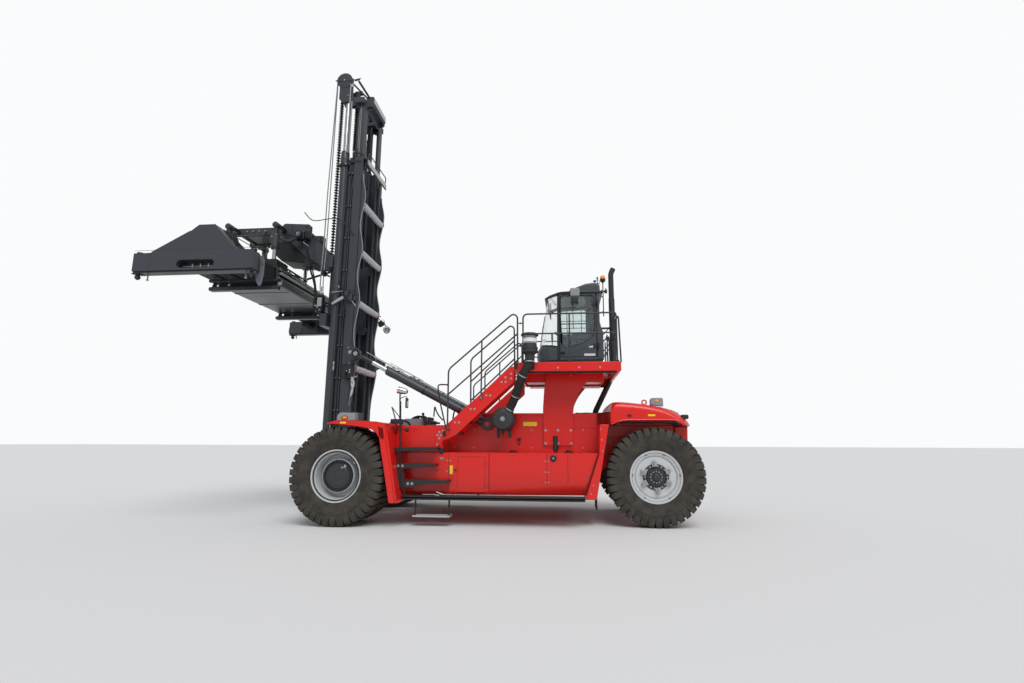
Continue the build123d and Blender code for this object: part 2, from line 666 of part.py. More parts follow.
# Mast, outer stage: two channels that open inwards, wavy rear plates and round cross tubes
outer_rear = 400
outer_front = 745
outer_y = 660
outer_web = 45
outer_flange_in = 500
outer_low = 540
outer_top = 8150
inner_rear = 455
inner_front = 690
pad_high = 250
flange = 45
wave_rear = 300
chain_y = 450
chain_front = 1110
chain_rear = 730
chain_anchor = 8450
tube_x = 372
tube_radius = 75
tube_heights = (3120, 4600, 5800, 6960)
lift_x = 865
lift_y = 620
lift_barrel_radius = 98
lift_rod_radius = 62
lift_barrel_low = 560
lift_barrel_top = 8300
gland = 60
with BuildPart() as mast_outer:
    for side, sign in sides:
        web_in = outer_y - outer_web
        block(outer_rear, outer_front, sign * web_in, sign * outer_y, outer_low, outer_top)
        block(outer_rear, outer_rear + flange, sign * outer_flange_in, sign * web_in,
              outer_low, outer_top)
        block(outer_front - flange, outer_front, sign * outer_flange_in, sign * web_in,
              outer_low, outer_top)
        with BuildSketch(across(max(sign * (outer_y - 30), sign * outer_y))) as wave:
            with BuildLine():
                crest = ahead(wave_rear)
                trough = ahead(wave_rear + 85)
                Polyline((ahead(outer_rear), 2300), (ahead(outer_rear), 7700), (trough, 7700))
                ThreePointArc((trough, 7700), (trough - 40, 7500), (crest, 7150))
                ThreePointArc((crest, 7150), (trough, 6470), (crest, 5860))
                ThreePointArc((crest, 5860), (trough, 5240), (crest, 4660))
                ThreePointArc((crest, 4660), (trough, 3900), (crest, 3240))
                ThreePointArc((crest, 3240), (trough - 30, 2700), (ahead(outer_rear), 2300))
            make_face()
        extrude(wave.sketch, amount=30)
        rod((mast_pin_x, sign * web_in, mast_pin_z),
            (mast_pin_x, sign * (plate_in - clearance), mast_pin_z), 150)
        rod((mast_pin_x, sign * web_in, mast_pin_z), (mast_pin_x, sign * plate_out, mast_pin_z),
            mast_pin_radius + running_fit, mode=Mode.SUBTRACT)
        block(outer_front, lift_x + 60, sign * 560, sign * 680, lift_barrel_low - 30, lift_barrel_low)
        block(outer_rear + flange, inner_rear - running_fit, sign * 510, sign * 590,
              outer_top - pad_high, outer_top)
        block(inner_front + running_fit, outer_front - flange, sign * 510, sign * 590,
              outer_top - pad_high, outer_top)
        block(outer_front - flange, outer_front + 15, sign * (chain_y - 50), sign * outer_flange_in,
              outer_top - pad_high, chain_anchor)
        slab(sign * outer_y, sign * (outer_y + 85),
             (450, 3150), (520, 3400), (450, 3650), (300, 3560), (180, 3470), (180, 3330), (300, 3240))
        rod((tilt_eye[0], sign * (outer_y + 80), tilt_eye[1]),
            (tilt_eye[0], sign * (tilt_y + 60), tilt_eye[1]), 50)
    for z in tube_heights:
        rod((tube_x, -outer_y + 30, z), (tube_x, outer_y - 30, z), tube_radius)
    block(290, outer_rear - 5, -outer_y, outer_y, 7930, 8130)
    for side, sign in sides:
        block(390, outer_rear, sign * 500, sign * outer_y, 7930, 8130)
    block(outer_rear, outer_front, -outer_y, outer_y, 470, outer_low)
save(mast_outer, "mast_outer")

with BuildPart() as lift_cylinders:
    for side, sign in sides:
        rod((lift_x, sign * lift_y, lift_barrel_low), (lift_x, sign * lift_y, lift_barrel_top),
            lift_barrel_radius)
        rod((lift_x, sign * lift_y, 1600), (lift_x, sign * lift_y, lift_barrel_top - gland),
            lift_rod_radius + clearance, mode=Mode.SUBTRACT)
        rod((lift_x, sign * lift_y, 1600), (lift_x, sign * lift_y, lift_barrel_top + 10),
            lift_rod_radius + running_fit, mode=Mode.SUBTRACT)
        block(outer_front, lift_x - 75, sign * 580, sign * 660, 7900, 8000)
save(lift_cylinders, "lift_cylinders")

# Mast, inner stage, which the lift rods push up, with the sheaves on its head
inner_y = 605
inner_web = 45
inner_flange_in = 400
inner_low = 1990
inner_top = 9700
head_low = 9560
sheave_x = (chain_front + chain_rear) / 2
sheave_z = 9790
hose_sheave_y = 700
hose_sheave_x = 960
hose_sheave_z = 10150
hose_sheave_radius = 195
with BuildPart() as mast_inner:
    for side, sign in sides:
        web_in = inner_y - inner_web
        block(inner_rear, inner_front, sign * web_in, sign * inner_y, inner_low, inner_top)
        for x in (inner_rear, inner_front - flange):
            block(x, x + flange, sign * inner_flange_in, sign * web_in, inner_low, inner_top)
        block(inner_rear, 960, sign * 560, sign * 700, head_low, inner_top)
        block(800, 1000, sign * 500, sign * 540, head_low, 9860)
        rod((sheave_x, sign * (chain_y - 45), sheave_z), (sheave_x, sign * (chain_y + 45), sheave_z),
            (chain_front - chain_rear) / 2 - 20)
        rod((sheave_x, sign * 380, sheave_z), (sheave_x, sign * 640, sheave_z), 45)
        block(860, 980, sign * 560, sign * 640, inner_top, 9900)
        rod((hose_sheave_x, sign * (hose_sheave_y - 25), hose_sheave_z),
            (hose_sheave_x, sign * (hose_sheave_y + 25), hose_sheave_z), hose_sheave_radius)
        rod((hose_sheave_x, sign * 645, hose_sheave_z),
            (hose_sheave_x, sign * (hose_sheave_y + 30), hose_sheave_z), 30)
        slab(sign * 640, sign * 670, (830, head_low), (950, head_low), (1040, 9680),
             (1030, 10150), (890, 10170))
        block(inner_rear + 60, inner_front - 60, sign * inner_y,
              sign * (outer_y - outer_web - running_fit), inner_low, inner_low + pad_high)
    block(310, 510, -430, 430, 9660, 9880)
    block(inner_rear, inner_rear + flange, -inner_flange_in, inner_flange_in, inner_low, 2190)
    block(inner_rear, inner_rear + flange, -inner_flange_in, inner_flange_in, 9500, 9700)
save(mast_inner, "mast_inner")

with BuildPart() as lift_rods:
    for side, sign in sides:
        rod((lift_x, sign * lift_y, 3200), (lift_x, sign * lift_y, head_low), lift_rod_radius)
save(lift_rods, "lift_rods")

# Carriage with its rollers, cross beams and the two arms that reach over the spreader
roller_x = (inner_rear + inner_front) / 2
roller_radius = (inner_front - inner_rear) / 2 - flange - running_fit
plate_y = 375
carriage_low = 4050
carriage_top = 5750
arm_y = 390
hang_z = 6450
hang_y = 750
hang_places = (2345, 3500)
hang_low = 5870
barrel_high = 6230
lug_half_x = 48
with BuildPart() as carriage:
    for side, sign in sides:
        block(520, 1150, sign * 335, sign * plate_y, carriage_low, carriage_top)
        for z in (4180, 5600):
            rod((roller_x, sign * plate_y, z), (roller_x, sign * 545, z), roller_radius)
        slab(sign * 310, sign * (arm_y + 30),
             (1150, 5450), (1150, 5870), (1700, 6320), (1700, 6590), (2330, 6640), (2400, 6540),
             (3640, 6540), (3640, 6380), (2400, 6380), (1760, 5800), (1350, 5560))
    block(1000, 1150, -760, 760, carriage_low, carriage_low + 280)
    block(1000, 1150, -760, 760, carriage_top - 300, carriage_top)
    for x in hang_places:
        rod((x, -hang_y - 90, hang_z), (x, hang_y + 90, hang_z), 50)
save(carriage, "carriage")

# Lift chains: from the carriage up to the head sheaves, and from there down to the outer stage
chain_half_x = 20
chain_half_y = 30
with BuildPart() as lift_chains_front:
    for side, sign in sides:
        block(chain_front - chain_half_x, chain_front + chain_half_x, sign * (chain_y - chain_half_y),
              sign * (chain_y + chain_half_y), carriage_top, sheave_z)
save(lift_chains_front, "lift_chains_front")

with BuildPart() as lift_chains_rear:
    for side, sign in sides:
        block(chain_rear - chain_half_x, chain_rear + chain_half_x, sign * (chain_y - chain_half_y),
              sign * (chain_y + chain_half_y), chain_anchor, sheave_z)
save(lift_chains_rear, "lift_chains_rear")

# Levelling cylinders: barrels hang from the arms, rods carry the saddle
with BuildPart() as levelling_barrels:
    for side, sign in sides:
        for x in hang_places:
            rod((x, sign * hang_y, hang_low), (x, sign * hang_y, barrel_high), 85)
            block(x - lug_half_x, x + lug_half_x, sign * (hang_y - 60), sign * (hang_y + 60),
                  barrel_high - 5, hang_z)
            rod((x, sign * (hang_y - 80), hang_z), (x, sign * (hang_y + 80), hang_z), 95)
            rod((x, sign * hang_y, hang_low + gland), (x, sign * hang_y, barrel_high - 20),
                45 + clearance, mode=Mode.SUBTRACT)
            rod((x, sign * hang_y, hang_low - 10), (x, sign * hang_y, barrel_high - 20),
                45 + running_fit, mode=Mode.SUBTRACT)
            rod((x, -hang_y - 200, hang_z), (x, hang_y + 200, hang_z), 50 + running_fit,
                mode=Mode.SUBTRACT)
save(levelling_barrels, "levelling_barrels")

# Saddle: hangs on the levelling rods, and the spreader's frame slides sideways under it
level_z = 5320
saddle_low = 5240
saddle_top = 5400
eye_pin_radius = 35
eye_gap = 6
eye_z = level_z + 5.1
with BuildPart() as spreader_saddle:
    block(2180, 3670, -620, 620, saddle_low, saddle_top)
    for side, sign in sides:
        for x in hang_places:
            for edge in (-1, 1):
                near = x + edge * 60
                block(near, near + edge * 30, sign * 600, sign * (hang_y + 70), saddle_low,
                      saddle_top + 10)
            rod((x - 90, sign * hang_y, level_z), (x + 90, sign * hang_y, level_z), eye_pin_radius)
save(spreader_saddle, "spreader_saddle")

for side, sign in sides:
    with BuildPart() as levelling_rods:
        for x in hang_places:
            rod((x, sign * hang_y, eye_z + 40), (x, sign * hang_y, hang_low + 200), 45)
            rod((x - 50, sign * hang_y, eye_z), (x + 50, sign * hang_y, eye_z), 75)
            rod((x - 60, sign * hang_y, eye_z), (x + 60, sign * hang_y, eye_z),
                eye_pin_radius + eye_gap, mode=Mode.SUBTRACT)
    save(levelling_rods, f"levelling_rods_{side}")

# Spreader frame: sleeve for the four telescopic beams
sleeve_half_x = 760
sleeve_y = 1450
beam_low_z = 4930
beam_high_z = 5190
beam_width = 300
sleeve_wall = 25
sleeve_low = beam_low_z - running_fit - sleeve_wall
sleeve_top = beam_high_z + clearance + sleeve_wall
with BuildPart() as spreader_frame:
    block(spreader_x - sleeve_half_x, spreader_x + sleeve_half_x, -sleeve_y, sleeve_y,
          sleeve_low, sleeve_top)
    block(spreader_x - sleeve_half_x + sleeve_wall, spreader_x + sleeve_half_x - sleeve_wall,
          -sleeve_y, sleeve_y, sleeve_low + sleeve_wall, sleeve_top - sleeve_wall,
          mode=Mode.SUBTRACT)
    for y in (-1360, 1360):
        block(spreader_x - 785, spreader_x + 785, y - 60, y + 60, 4710, sleeve_low)
    for x in (-360, 360):
        block(spreader_x + x - 60, spreader_x + x + 60, -sleeve_y, sleeve_y, sleeve_top,
              saddle_low - running_fit)
save(spreader_frame, "spreader_frame")

# Telescopic ends: two beams each, a gabled end beam and two twistlocks
beam_tip = 2650
end_beam_in = 2800
gable = (
    (1190, 4640), (1190, 4985), (850, 4995), (100, 5400), (-60, 5520), (-370, 5520), (-830, 5030),
    (-1190, 5005), (-1190, 4640),
)
beam_places = {"left": (-555, 185), "right": (-185, 555)}
for side, sign in sides:
    with BuildPart() as spreader_end:
        slab(sign * end_beam_in, sign * end_beam_reach, *[(spreader_x + x, z) for x, z in gable])
        with BuildSketch(across(max(sign * (end_beam_in - 10), sign * (end_beam_reach + 10)))) as slot:
            with Locations((ahead(spreader_x - 60), 4760)):
                SlotOverall(740, 150)
        extrude(slot.sketch, amount=end_beam_reach - end_beam_in + 20, mode=Mode.SUBTRACT)
        for x in beam_places[side]:
            block(spreader_x + x - beam_width / 2, spreader_x + x + beam_width / 2,
                  -sign * beam_tip, sign * end_beam_in, beam_low_z, beam_high_z)
        for x in (-corner_spacing_x / 2, corner_spacing_x / 2):
            lock_x = spreader_x + x
            lock_y = sign * corner_spacing_y / 2
            rod((lock_x, lock_y, 4560), (lock_x, lock_y, 4640), 38)
            rod((lock_x, lock_y, 4500), (lock_x, lock_y, 4560), 50)
    save(spreader_end, f"spreader_end_{side}")

# Tilt cylinders: barrels pinned to the frame's sides, rods pinned behind the mast
tilt_run = Vector(tilt_eye[0] - tilt_base[0], tilt_eye[1] - tilt_base[1])
tilt_length = tilt_run.length
tilt_dir = tilt_run.normalized()


def on_tilt(distance, y):
    """A point on the tilt cylinder's line, from its base pin."""
    return (tilt_base[0] + tilt_dir.X * distance, y, tilt_base[1] + tilt_dir.Y * distance)


with BuildPart() as tilt_barrels:
    for side, sign in sides:
        y = sign * tilt_y
        rod(on_tilt(100, y), on_tilt(2450, y), 90)
        rod((tilt_base[0], y - 55, tilt_base[1]), (tilt_base[0], y + 55, tilt_base[1]), 130)
        rod(on_tilt(700, y), on_tilt(2450 - gland, y), 50 + clearance, mode=Mode.SUBTRACT)
        rod(on_tilt(700, y), on_tilt(2460, y), 50 + running_fit, mode=Mode.SUBTRACT)
        rod((tilt_base[0], y - 60, tilt_base[1]), (tilt_base[0], y + 60, tilt_base[1]),
            50 + running_fit, mode=Mode.SUBTRACT)
save(tilt_barrels, "tilt_barrels")

with BuildPart() as tilt_rods:
    for side, sign in sides:
        y = sign * tilt_y
        rod(on_tilt(1300, y), on_tilt(tilt_length - 70, y), 50)
        rod((tilt_eye[0], y - 45, tilt_eye[1]), (tilt_eye[0], y + 45, tilt_eye[1]), 100)
        rod((tilt_eye[0], y - 50, tilt_eye[1]), (tilt_eye[0], y + 50, tilt_eye[1]), 62,
            mode=Mode.SUBTRACT)
save(tilt_rods, "tilt_rods")
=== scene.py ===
import bpy
import bmesh
import math
from mathutils import Matrix, Vector


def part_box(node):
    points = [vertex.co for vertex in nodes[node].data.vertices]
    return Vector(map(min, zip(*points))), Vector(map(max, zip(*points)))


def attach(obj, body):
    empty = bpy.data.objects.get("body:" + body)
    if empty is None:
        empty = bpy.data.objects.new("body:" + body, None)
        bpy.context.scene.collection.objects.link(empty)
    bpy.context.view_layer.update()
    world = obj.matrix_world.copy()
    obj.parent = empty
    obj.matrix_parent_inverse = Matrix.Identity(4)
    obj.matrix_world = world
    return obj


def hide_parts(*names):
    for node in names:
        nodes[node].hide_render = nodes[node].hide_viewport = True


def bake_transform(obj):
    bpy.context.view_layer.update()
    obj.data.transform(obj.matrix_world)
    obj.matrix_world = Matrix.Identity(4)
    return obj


# A heavy forklift that lifts containers, standing empty in a yard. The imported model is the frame,
# and the sections below follow the machine as it is put together, from the wheels up.
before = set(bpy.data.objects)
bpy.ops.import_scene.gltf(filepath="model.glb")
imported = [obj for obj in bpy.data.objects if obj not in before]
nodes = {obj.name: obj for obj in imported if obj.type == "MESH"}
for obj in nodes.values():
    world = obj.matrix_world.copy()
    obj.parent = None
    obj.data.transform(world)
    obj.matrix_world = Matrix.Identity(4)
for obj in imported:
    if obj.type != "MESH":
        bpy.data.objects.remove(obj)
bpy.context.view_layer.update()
front_axle = (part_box("front_axle")[0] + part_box("front_axle")[1]) / 2
rear_axle = (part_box("rear_tyre_left")[0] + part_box("rear_tyre_right")[1]) / 2


def at(x):
    """A place along the machine, measured forward from the front axle."""
    return front_axle.x + x


# Camera: a wide lens at a standing person's eye height, tipped up towards the mast.
# Its place, turn and focal length come from the machine's own edges in the photograph.
photo_width = 1024
focal_pixels = 534.3
camera_place = Vector((at(-4.234), 11.836, 1.521))
camera_pitch = 0.1873
camera_yaw = 0.0981
camera_roll = 0.0036
turn = Matrix.Rotation(camera_yaw, 3, "Z")
level_right = turn @ Vector((-1, 0, 0))
level_view = turn @ Vector((0, -1, 0))
up = Vector((0, 0, 1))
view_line = level_view * math.cos(camera_pitch) + up * math.sin(camera_pitch)
tipped_up = up * math.cos(camera_pitch) - level_view * math.sin(camera_pitch)
camera_right = level_right * math.cos(camera_roll) + tipped_up * math.sin(camera_roll)
camera_up = tipped_up * math.cos(camera_roll) - level_right * math.sin(camera_roll)
bpy.ops.object.camera_add(location=camera_place)
camera = bpy.context.object
camera.rotation_euler = Matrix((camera_right, camera_up, -view_line)).transposed().to_euler()
camera.data.sensor_width = 36
camera.data.lens = focal_pixels * camera.data.sensor_width / photo_width
camera.data.clip_end = 400
bpy.context.scene.camera = camera
bpy.context.scene.view_settings.view_transform = "Standard"


def linear(hex_colour):
    """An sRGB hex colour as the linear numbers that shaders take."""
    parts = [int(hex_colour[i:i + 2], 16) / 255 for i in (1, 3, 5)]
    return [c / 12.92 if c <= 0.04045 else ((c + 0.055) / 1.055) ** 2.4 for c in parts] + [1]


def new_material(name, colour, roughness, **settings):
    """A Principled material with its fixed values, and its shader node."""
    material = bpy.data.materials.new(name)
    material.use_nodes = True
    shader = material.node_tree.nodes["Principled BSDF"]
    shader.inputs["Base Color"].default_value = linear(colour)
    shader.inputs["Roughness"].default_value = roughness
    for socket, value in settings.items():
        shader.inputs[socket.replace("_", " ")].default_value = value
    material.diffuse_color = linear(colour)
    return material, shader


def add_node(tree, kind, settings=None, **links):
    """One node with its settings, fed by the outputs named in links."""
    made = tree.nodes.new(kind)
    for key, value in (settings or {}).items():
        if key in made.inputs:
            made.inputs[key].default_value = value
        else:
            setattr(made, key, value)
    for socket, source in links.items():
        tree.links.new(source, made.inputs[socket.replace("_", " ")])
    return made


# Ground and light: a pale floor that reaches past the view and a white sky, with one broad sun high
# on the machine's left and a little behind it, so that it is lit as on a bright overcast day.
bpy.ops.mesh.primitive_plane_add(size=500, location=(0, 0, 0))
floor = bpy.context.object
floor.name = "floor"
floor_material, floor_shader = new_material("pale_floor", "#E4E5E6", 0.85)
grit = add_node(floor_material.node_tree, "ShaderNodeTexNoise", {"Scale": 60.0, "Detail": 3.0})
grit_bump = add_node(floor_material.node_tree, "ShaderNodeBump", {"Strength": 0.1},
                     Height=grit.outputs["Fac"])
floor_material.node_tree.links.new(grit_bump.outputs["Normal"], floor_shader.inputs["Normal"])
floor.data.materials.append(floor_material)
world = bpy.data.worlds.new("soft_sky")
bpy.context.scene.world = world
world.use_nodes = True
sky_tree = world.node_tree
sky = sky_tree.nodes["Background"]
sky.inputs["Color"].default_value = linear("#FAFBFC")
rays = add_node(sky_tree, "ShaderNodeLightPath")
seen = add_node(sky_tree, "ShaderNodeMath", {"operation": "MAXIMUM"})
sky_tree.links.new(rays.outputs["Is Camera Ray"], seen.inputs[0])
sky_tree.links.new(rays.outputs["Is Transmission Ray"], seen.inputs[1])
sky_level = add_node(sky_tree, "ShaderNodeMapRange", {"To Min": 0.5, "To Max": 1.0}, Value=seen.outputs[0])
sky_tree.links.new(sky_level.outputs["Result"], sky.inputs["Strength"])
bpy.ops.object.light_add(type="SUN", location=(4, 14, 20))
sun = bpy.context.object
sun.data.energy = 1.75
sun.data.angle = math.radians(38)
sun.rotation_euler = Vector((0.32, -0.82, -1.0)).to_track_quat("-Z", "Y").to_euler()

# Tyres: cross-ply industrial tyres of natural rubber, moulded with deep side lugs. Yard dust sits
# on the tread and round the bead, and the sidewall stays darker.
pitch_count = 38
tyre_radius = (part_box("rear_tyre_left")[1].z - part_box("rear_tyre_left")[0].z) / 2
tyre_half = (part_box("rear_tyre_left")[1].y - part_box("rear_tyre_left")[0].y) / 2


def alone(piece):
    """Make one piece the only selected and active one."""
    bpy.ops.object.select_all(action="DESELECT")
    piece.select_set(True)
    bpy.context.view_layer.objects.active = piece


def apply_modifier(piece, kind, **settings):
    """Add a modifier, set it and apply it."""
    alone(piece)
    modifier = piece.modifiers.new(kind.lower(), kind)
    for key, value in settings.items():
        setattr(modifier, key, value)
    bpy.ops.object.modifier_apply(modifier=modifier.name)


def round_edges(piece, width, segments=2):
    """Break the sharp edges of a piece with a small round."""
    if width:
        apply_modifier(piece, "BEVEL", width=width, segments=segments, limit_method="ANGLE",
                       angle_limit=math.radians(32), use_clamp_overlap=True)


def plate(outline, low, high, across="y", bevel=0.004, segments=2):
    """A plate cut to an outline and filled between two places on the axis that it lies across."""
    bpy.ops.object.select_all(action="DESELECT")
    bpy.ops.mesh.primitive_circle_add(vertices=len(outline), radius=1)
    piece = bpy.context.object
    for vertex, (a, b) in zip(piece.data.vertices, outline):
        vertex.co = {"y": (a, low, b), "x": (low, a, b), "z": (a, b, low)}[across]
    lift = {"y": (0, high - low, 0), "x": (high - low, 0, 0), "z": (0, 0, high - low)}[across]
    bpy.ops.object.mode_set(mode="EDIT")
    bpy.ops.mesh.select_all(action="SELECT")
    bpy.ops.mesh.edge_face_add()
    bpy.ops.mesh.extrude_region_move(TRANSFORM_OT_translate={"value": lift})
    bpy.ops.mesh.select_all(action="SELECT")
    bpy.ops.mesh.normals_make_consistent(inside=False)
    bpy.ops.object.mode_set(mode="OBJECT")
    round_edges(piece, bevel, segments)
    return piece


# A turned profile that reaches its axis ends this close to it.
pole = 0.0005


def turned(profile, centre, steps=64, axis=(0, 1, 0), closed=True):
    """A shape turned about an axis: the profile gives places along the axis and radii."""
    axis = Vector(axis).normalized()
    side = axis.orthogonal().normalized()
    bpy.ops.object.select_all(action="DESELECT")
    bpy.ops.mesh.primitive_circle_add(vertices=len(profile), radius=1)
    piece = bpy.context.object
    for vertex, (along, radius) in zip(piece.data.vertices, profile):
        vertex.co = Vector(centre) + axis * along + side * radius
    bpy.ops.object.mode_set(mode="EDIT")
    bpy.ops.mesh.select_all(action="SELECT")
    bpy.ops.mesh.spin(steps=steps, angle=math.tau, center=centre, axis=axis)
    bpy.ops.mesh.select_all(action="SELECT")
    bpy.ops.mesh.remove_doubles(threshold=0.00005)
    bpy.ops.mesh.delete_loose(use_verts=True, use_edges=True, use_faces=False)
    bpy.ops.mesh.select_all(action="SELECT")
    bpy.ops.mesh.normals_make_consistent(inside=False)
    bpy.ops.object.mode_set(mode="OBJECT")
    return piece


def repeat(piece, places):
    """Copies of one modelled piece at each place, a matrix or a shift, as one mesh."""
    mesh = bmesh.new()
    for place in places:
        move = place if isinstance(place, Matrix) else Matrix.Translation(place)
        first = len(mesh.verts)
        mesh.from_mesh(piece.data)
        mesh.verts.ensure_lookup_table()
        bmesh.ops.transform(mesh, matrix=move, verts=mesh.verts[first:])
        if move.determinant() < 0:
            new_faces = [f for f in mesh.faces if f.verts[0].index >= first or f.verts[0].index == -1]
            bmesh.ops.reverse_faces(mesh, faces=new_faces)
        mesh.verts.index_update()
    mesh.to_mesh(piece.data)
    mesh.free()
    return piece


def gather(*pieces):
    """Join pieces into one."""
    alone(pieces[0])
    for piece in pieces[1:]:
        piece.select_set(True)
    bpy.ops.object.join()
    return bpy.context.object


def coat(piece, material):
    """Give a part of a piece its material."""
    piece.data.materials.clear()
    piece.data.materials.append(material)
    return piece


def fit(piece, name, body, smooth=30):
    """Finish a piece: until here its x was measured from the front axle. One that bends, such as a chain or
    hose, is left without a body.
    """
    piece.name = piece.data.name = name
    piece.data.transform(Matrix.Translation((front_axle.x, 0, 0)))
    alone(piece)
    bpy.ops.object.shade_smooth_by_angle(angle=math.radians(smooth))
    apply_modifier(piece, "WEIGHTED_NORMAL", keep_sharp=True)
    if body:
        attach(piece, body)
    return piece


def rubber(name, colour, dusty, share):
    """Moulded rubber with a fine 4 mm grain, and dust in patches of a hand's width."""
    material, shader = new_material(name, colour, 0.8)
    tree = material.node_tree
    place = add_node(tree, "ShaderNodeTexCoord")
    patches = add_node(tree, "ShaderNodeTexNoise", {"Scale": 7.0, "Detail": 6.0},
                       Vector=place.outputs["Object"])
    amount = add_node(tree, "ShaderNodeMapRange", {"From Min": 0.35, "From Max": 0.7, "To Max": share},
                      Value=patches.outputs["Fac"])
    mixed = add_node(tree, "ShaderNodeMix", {"data_type": "RGBA"}, Factor=amount.outputs["Result"])
    mixed.inputs["A"].default_value = linear(colour)
    mixed.inputs["B"].default_value = linear(dusty)
    tree.links.new(mixed.outputs["Result"], shader.inputs["Base Color"])
    grain = add_node(tree, "ShaderNodeTexNoise", {"Scale": 250.0}, Vector=place.outputs["Object"])
    bump = add_node(tree, "ShaderNodeBump", {"Strength": 0.25, "Distance": 0.002},
                    Height=grain.outputs["Fac"])
    tree.links.new(bump.outputs["Normal"], shader.inputs["Normal"])
    return material


tread_rubber = rubber("tread_rubber", "#302D29", "#4F4A40", 0.7)
sidewall_rubber = rubber("sidewall_rubber", "#2A2825", "#4D473D", 0.7)
carcass = [
    (0.178, 0.4256), (0.186, 0.47), (0.2, 0.502), (0.205, 0.512), (0.212, 0.512), (0.222, 0.54),
    (0.236, 0.59), (0.244, 0.64), (0.245, 0.668), (0.249, 0.676), (0.249, 0.69), (0.245, 0.698),
    (0.24, 0.74), (0.232, 0.79), (0.208, 0.836), (0.15, 0.858), (0.07, 0.863),
]
lug_section = [
    (0.012, 0.84), (0.012, 0.9), (0.03, 0.9045), (0.14, 0.9045), (0.19, 0.899), (0.222, 0.88),
    (0.24, 0.845), (0.248, 0.79), (0.248, 0.735), (0.243, 0.712), (0.2, 0.78),
]


def tyre(centre):
    """One tyre: the turned carcass, and its lugs along each shoulder half a pitch apart."""
    profile = carcass + [(-along, radius) for along, radius in reversed(carcass)]
    wall = coat(turned(profile, centre, steps=114), sidewall_rubber)
    pitch = math.tau / pitch_count
    lug = plate([(y, r) for y, r in lug_section], -1, 1, across="x", bevel=0)
    for vertex in lug.data.vertices:
        share = max(0.0, min(1.0, vertex.co.y / 0.24))
        depth = max(0.0, min(1.0, (0.905 - vertex.co.z) / 0.17))
        half = pitch * vertex.co.z * (0.355 + 0.115 * depth)
        vertex.co.x = vertex.co.x * half + 0.04 * (1 - share) + 0.012 * depth
    round_edges(lug, 0.006, 1)
    coat(lug, tread_rubber)
    flip = Matrix.Rotation(math.pi, 4, "Z")
    places = []
    for i in range(pitch_count):
        here = Matrix.Translation(centre) @ Matrix.Rotation(i * pitch, 4, "Y")
        places.append(here)
        places.append(here @ Matrix.Rotation(pitch / 2, 4, "Y") @ flip)
    return gather(wall, repeat(lug, places))


for side, sign in (("left", 1), ("right", -1)):
    low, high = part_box(f"front_tyres_{side}")
    middles = (low.y + tyre_half, high.y - tyre_half)
    twins = gather(*[tyre(Vector((0, y, tyre_radius))) for y in middles])
    fit(twins, f"front_tyre_pair_{side}", f"front_wheels_{side}_pair", smooth=24)
    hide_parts(f"front_tyres_{side}")
    low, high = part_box(f"rear_tyre_{side}")
    single = tyre(Vector((rear_axle.x - front_axle.x, (low.y + high.y) / 2, tyre_radius)))
    fit(single, f"rear_lugged_tyre_{side}", f"rear_wheel_{side}", smooth=24)
    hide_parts(f"rear_tyre_{side}")

# Front wheels: a welded steel rim in silver enamel, deep dished because it carries twin tyres,
# bolted by a ring of studs to the dark cast housing of the hub reduction gear.


def enamel(name, colour, dusty, roughness=0.3):
    """Sprayed enamel: the peel's waves are 12 mm, and the dust thins out up to 1.5 m."""
    material, shader = new_material(name, colour, roughness, Coat_Weight=0.12, Coat_Roughness=0.12)
    tree = material.node_tree
    place = add_node(tree, "ShaderNodeTexCoord")
    blotches = add_node(tree, "ShaderNodeTexNoise", {"Scale": 1.3, "Detail": 4.0},
                        Vector=place.outputs["Object"])
    height = add_node(tree, "ShaderNodeSeparateXYZ", Vector=place.outputs["Object"])
    low = add_node(tree, "ShaderNodeMapRange", {"From Min": 0.1, "From Max": 1.3, "To Min": 0.26,
                                                "To Max": 0.03}, Value=height.outputs["Z"])
    amount = add_node(tree, "ShaderNodeMath", {"operation": "MULTIPLY"})
    tree.links.new(low.outputs["Result"], amount.inputs[0])
    tree.links.new(blotches.outputs["Fac"], amount.inputs[1])
    mixed = add_node(tree, "ShaderNodeMix", {"data_type": "RGBA"}, Factor=amount.outputs[0])
    mixed.inputs["A"].default_value = linear(colour)
    mixed.inputs["B"].default_value = linear(dusty)
    tree.links.new(mixed.outputs["Result"], shader.inputs["Base Color"])
    gloss = add_node(tree, "ShaderNodeMapRange", {"From Min": 0.3, "From Max": 0.75,
                     "To Min": roughness - 0.05, "To Max": roughness + 0.12}, Value=blotches.outputs["Fac"])
    tree.links.new(gloss.outputs["Result"], shader.inputs["Roughness"])
    peel = add_node(tree, "ShaderNodeTexNoise", {"Scale": 80.0, "Detail": 2.0},
                    Vector=place.outputs["Object"])
    bump = add_node(tree, "ShaderNodeBump", {"Strength": 0.03, "Distance": 0.001}, Height=peel.outputs["Fac"])
    tree.links.new(bump.outputs["Normal"], shader.inputs["Normal"])
    return material


silver_paint = enamel("silver_enamel", "#C6C9CC", "#8C877D", 0.32)
cast_iron = enamel("painted_casting", "#2A2D30", "#4E4A44", 0.5)
black_paint = enamel("black_enamel", "#1B1D1F", "#47443F", 0.42)
zinc_steel, zinc_shader = new_material("zinc_plated_steel", "#B4B6B3", 0.35, Metallic=0.85)
zinc_place = add_node(zinc_steel.node_tree, "ShaderNodeTexCoord")
spangle = add_node(zinc_steel.node_tree, "ShaderNodeTexNoise", {"Scale": 90.0},
                   Vector=zinc_place.outputs["Object"])
spangle_gloss = add_node(zinc_steel.node_tree, "ShaderNodeMapRange", {"To Min": 0.25, "To Max": 0.5},
                         Value=spangle.outputs["Fac"])
zinc_steel.node_tree.links.new(spangle_gloss.outputs["Result"], zinc_shader.inputs["Roughness"])
bolt_count = 30
bolt_ring = 0.262


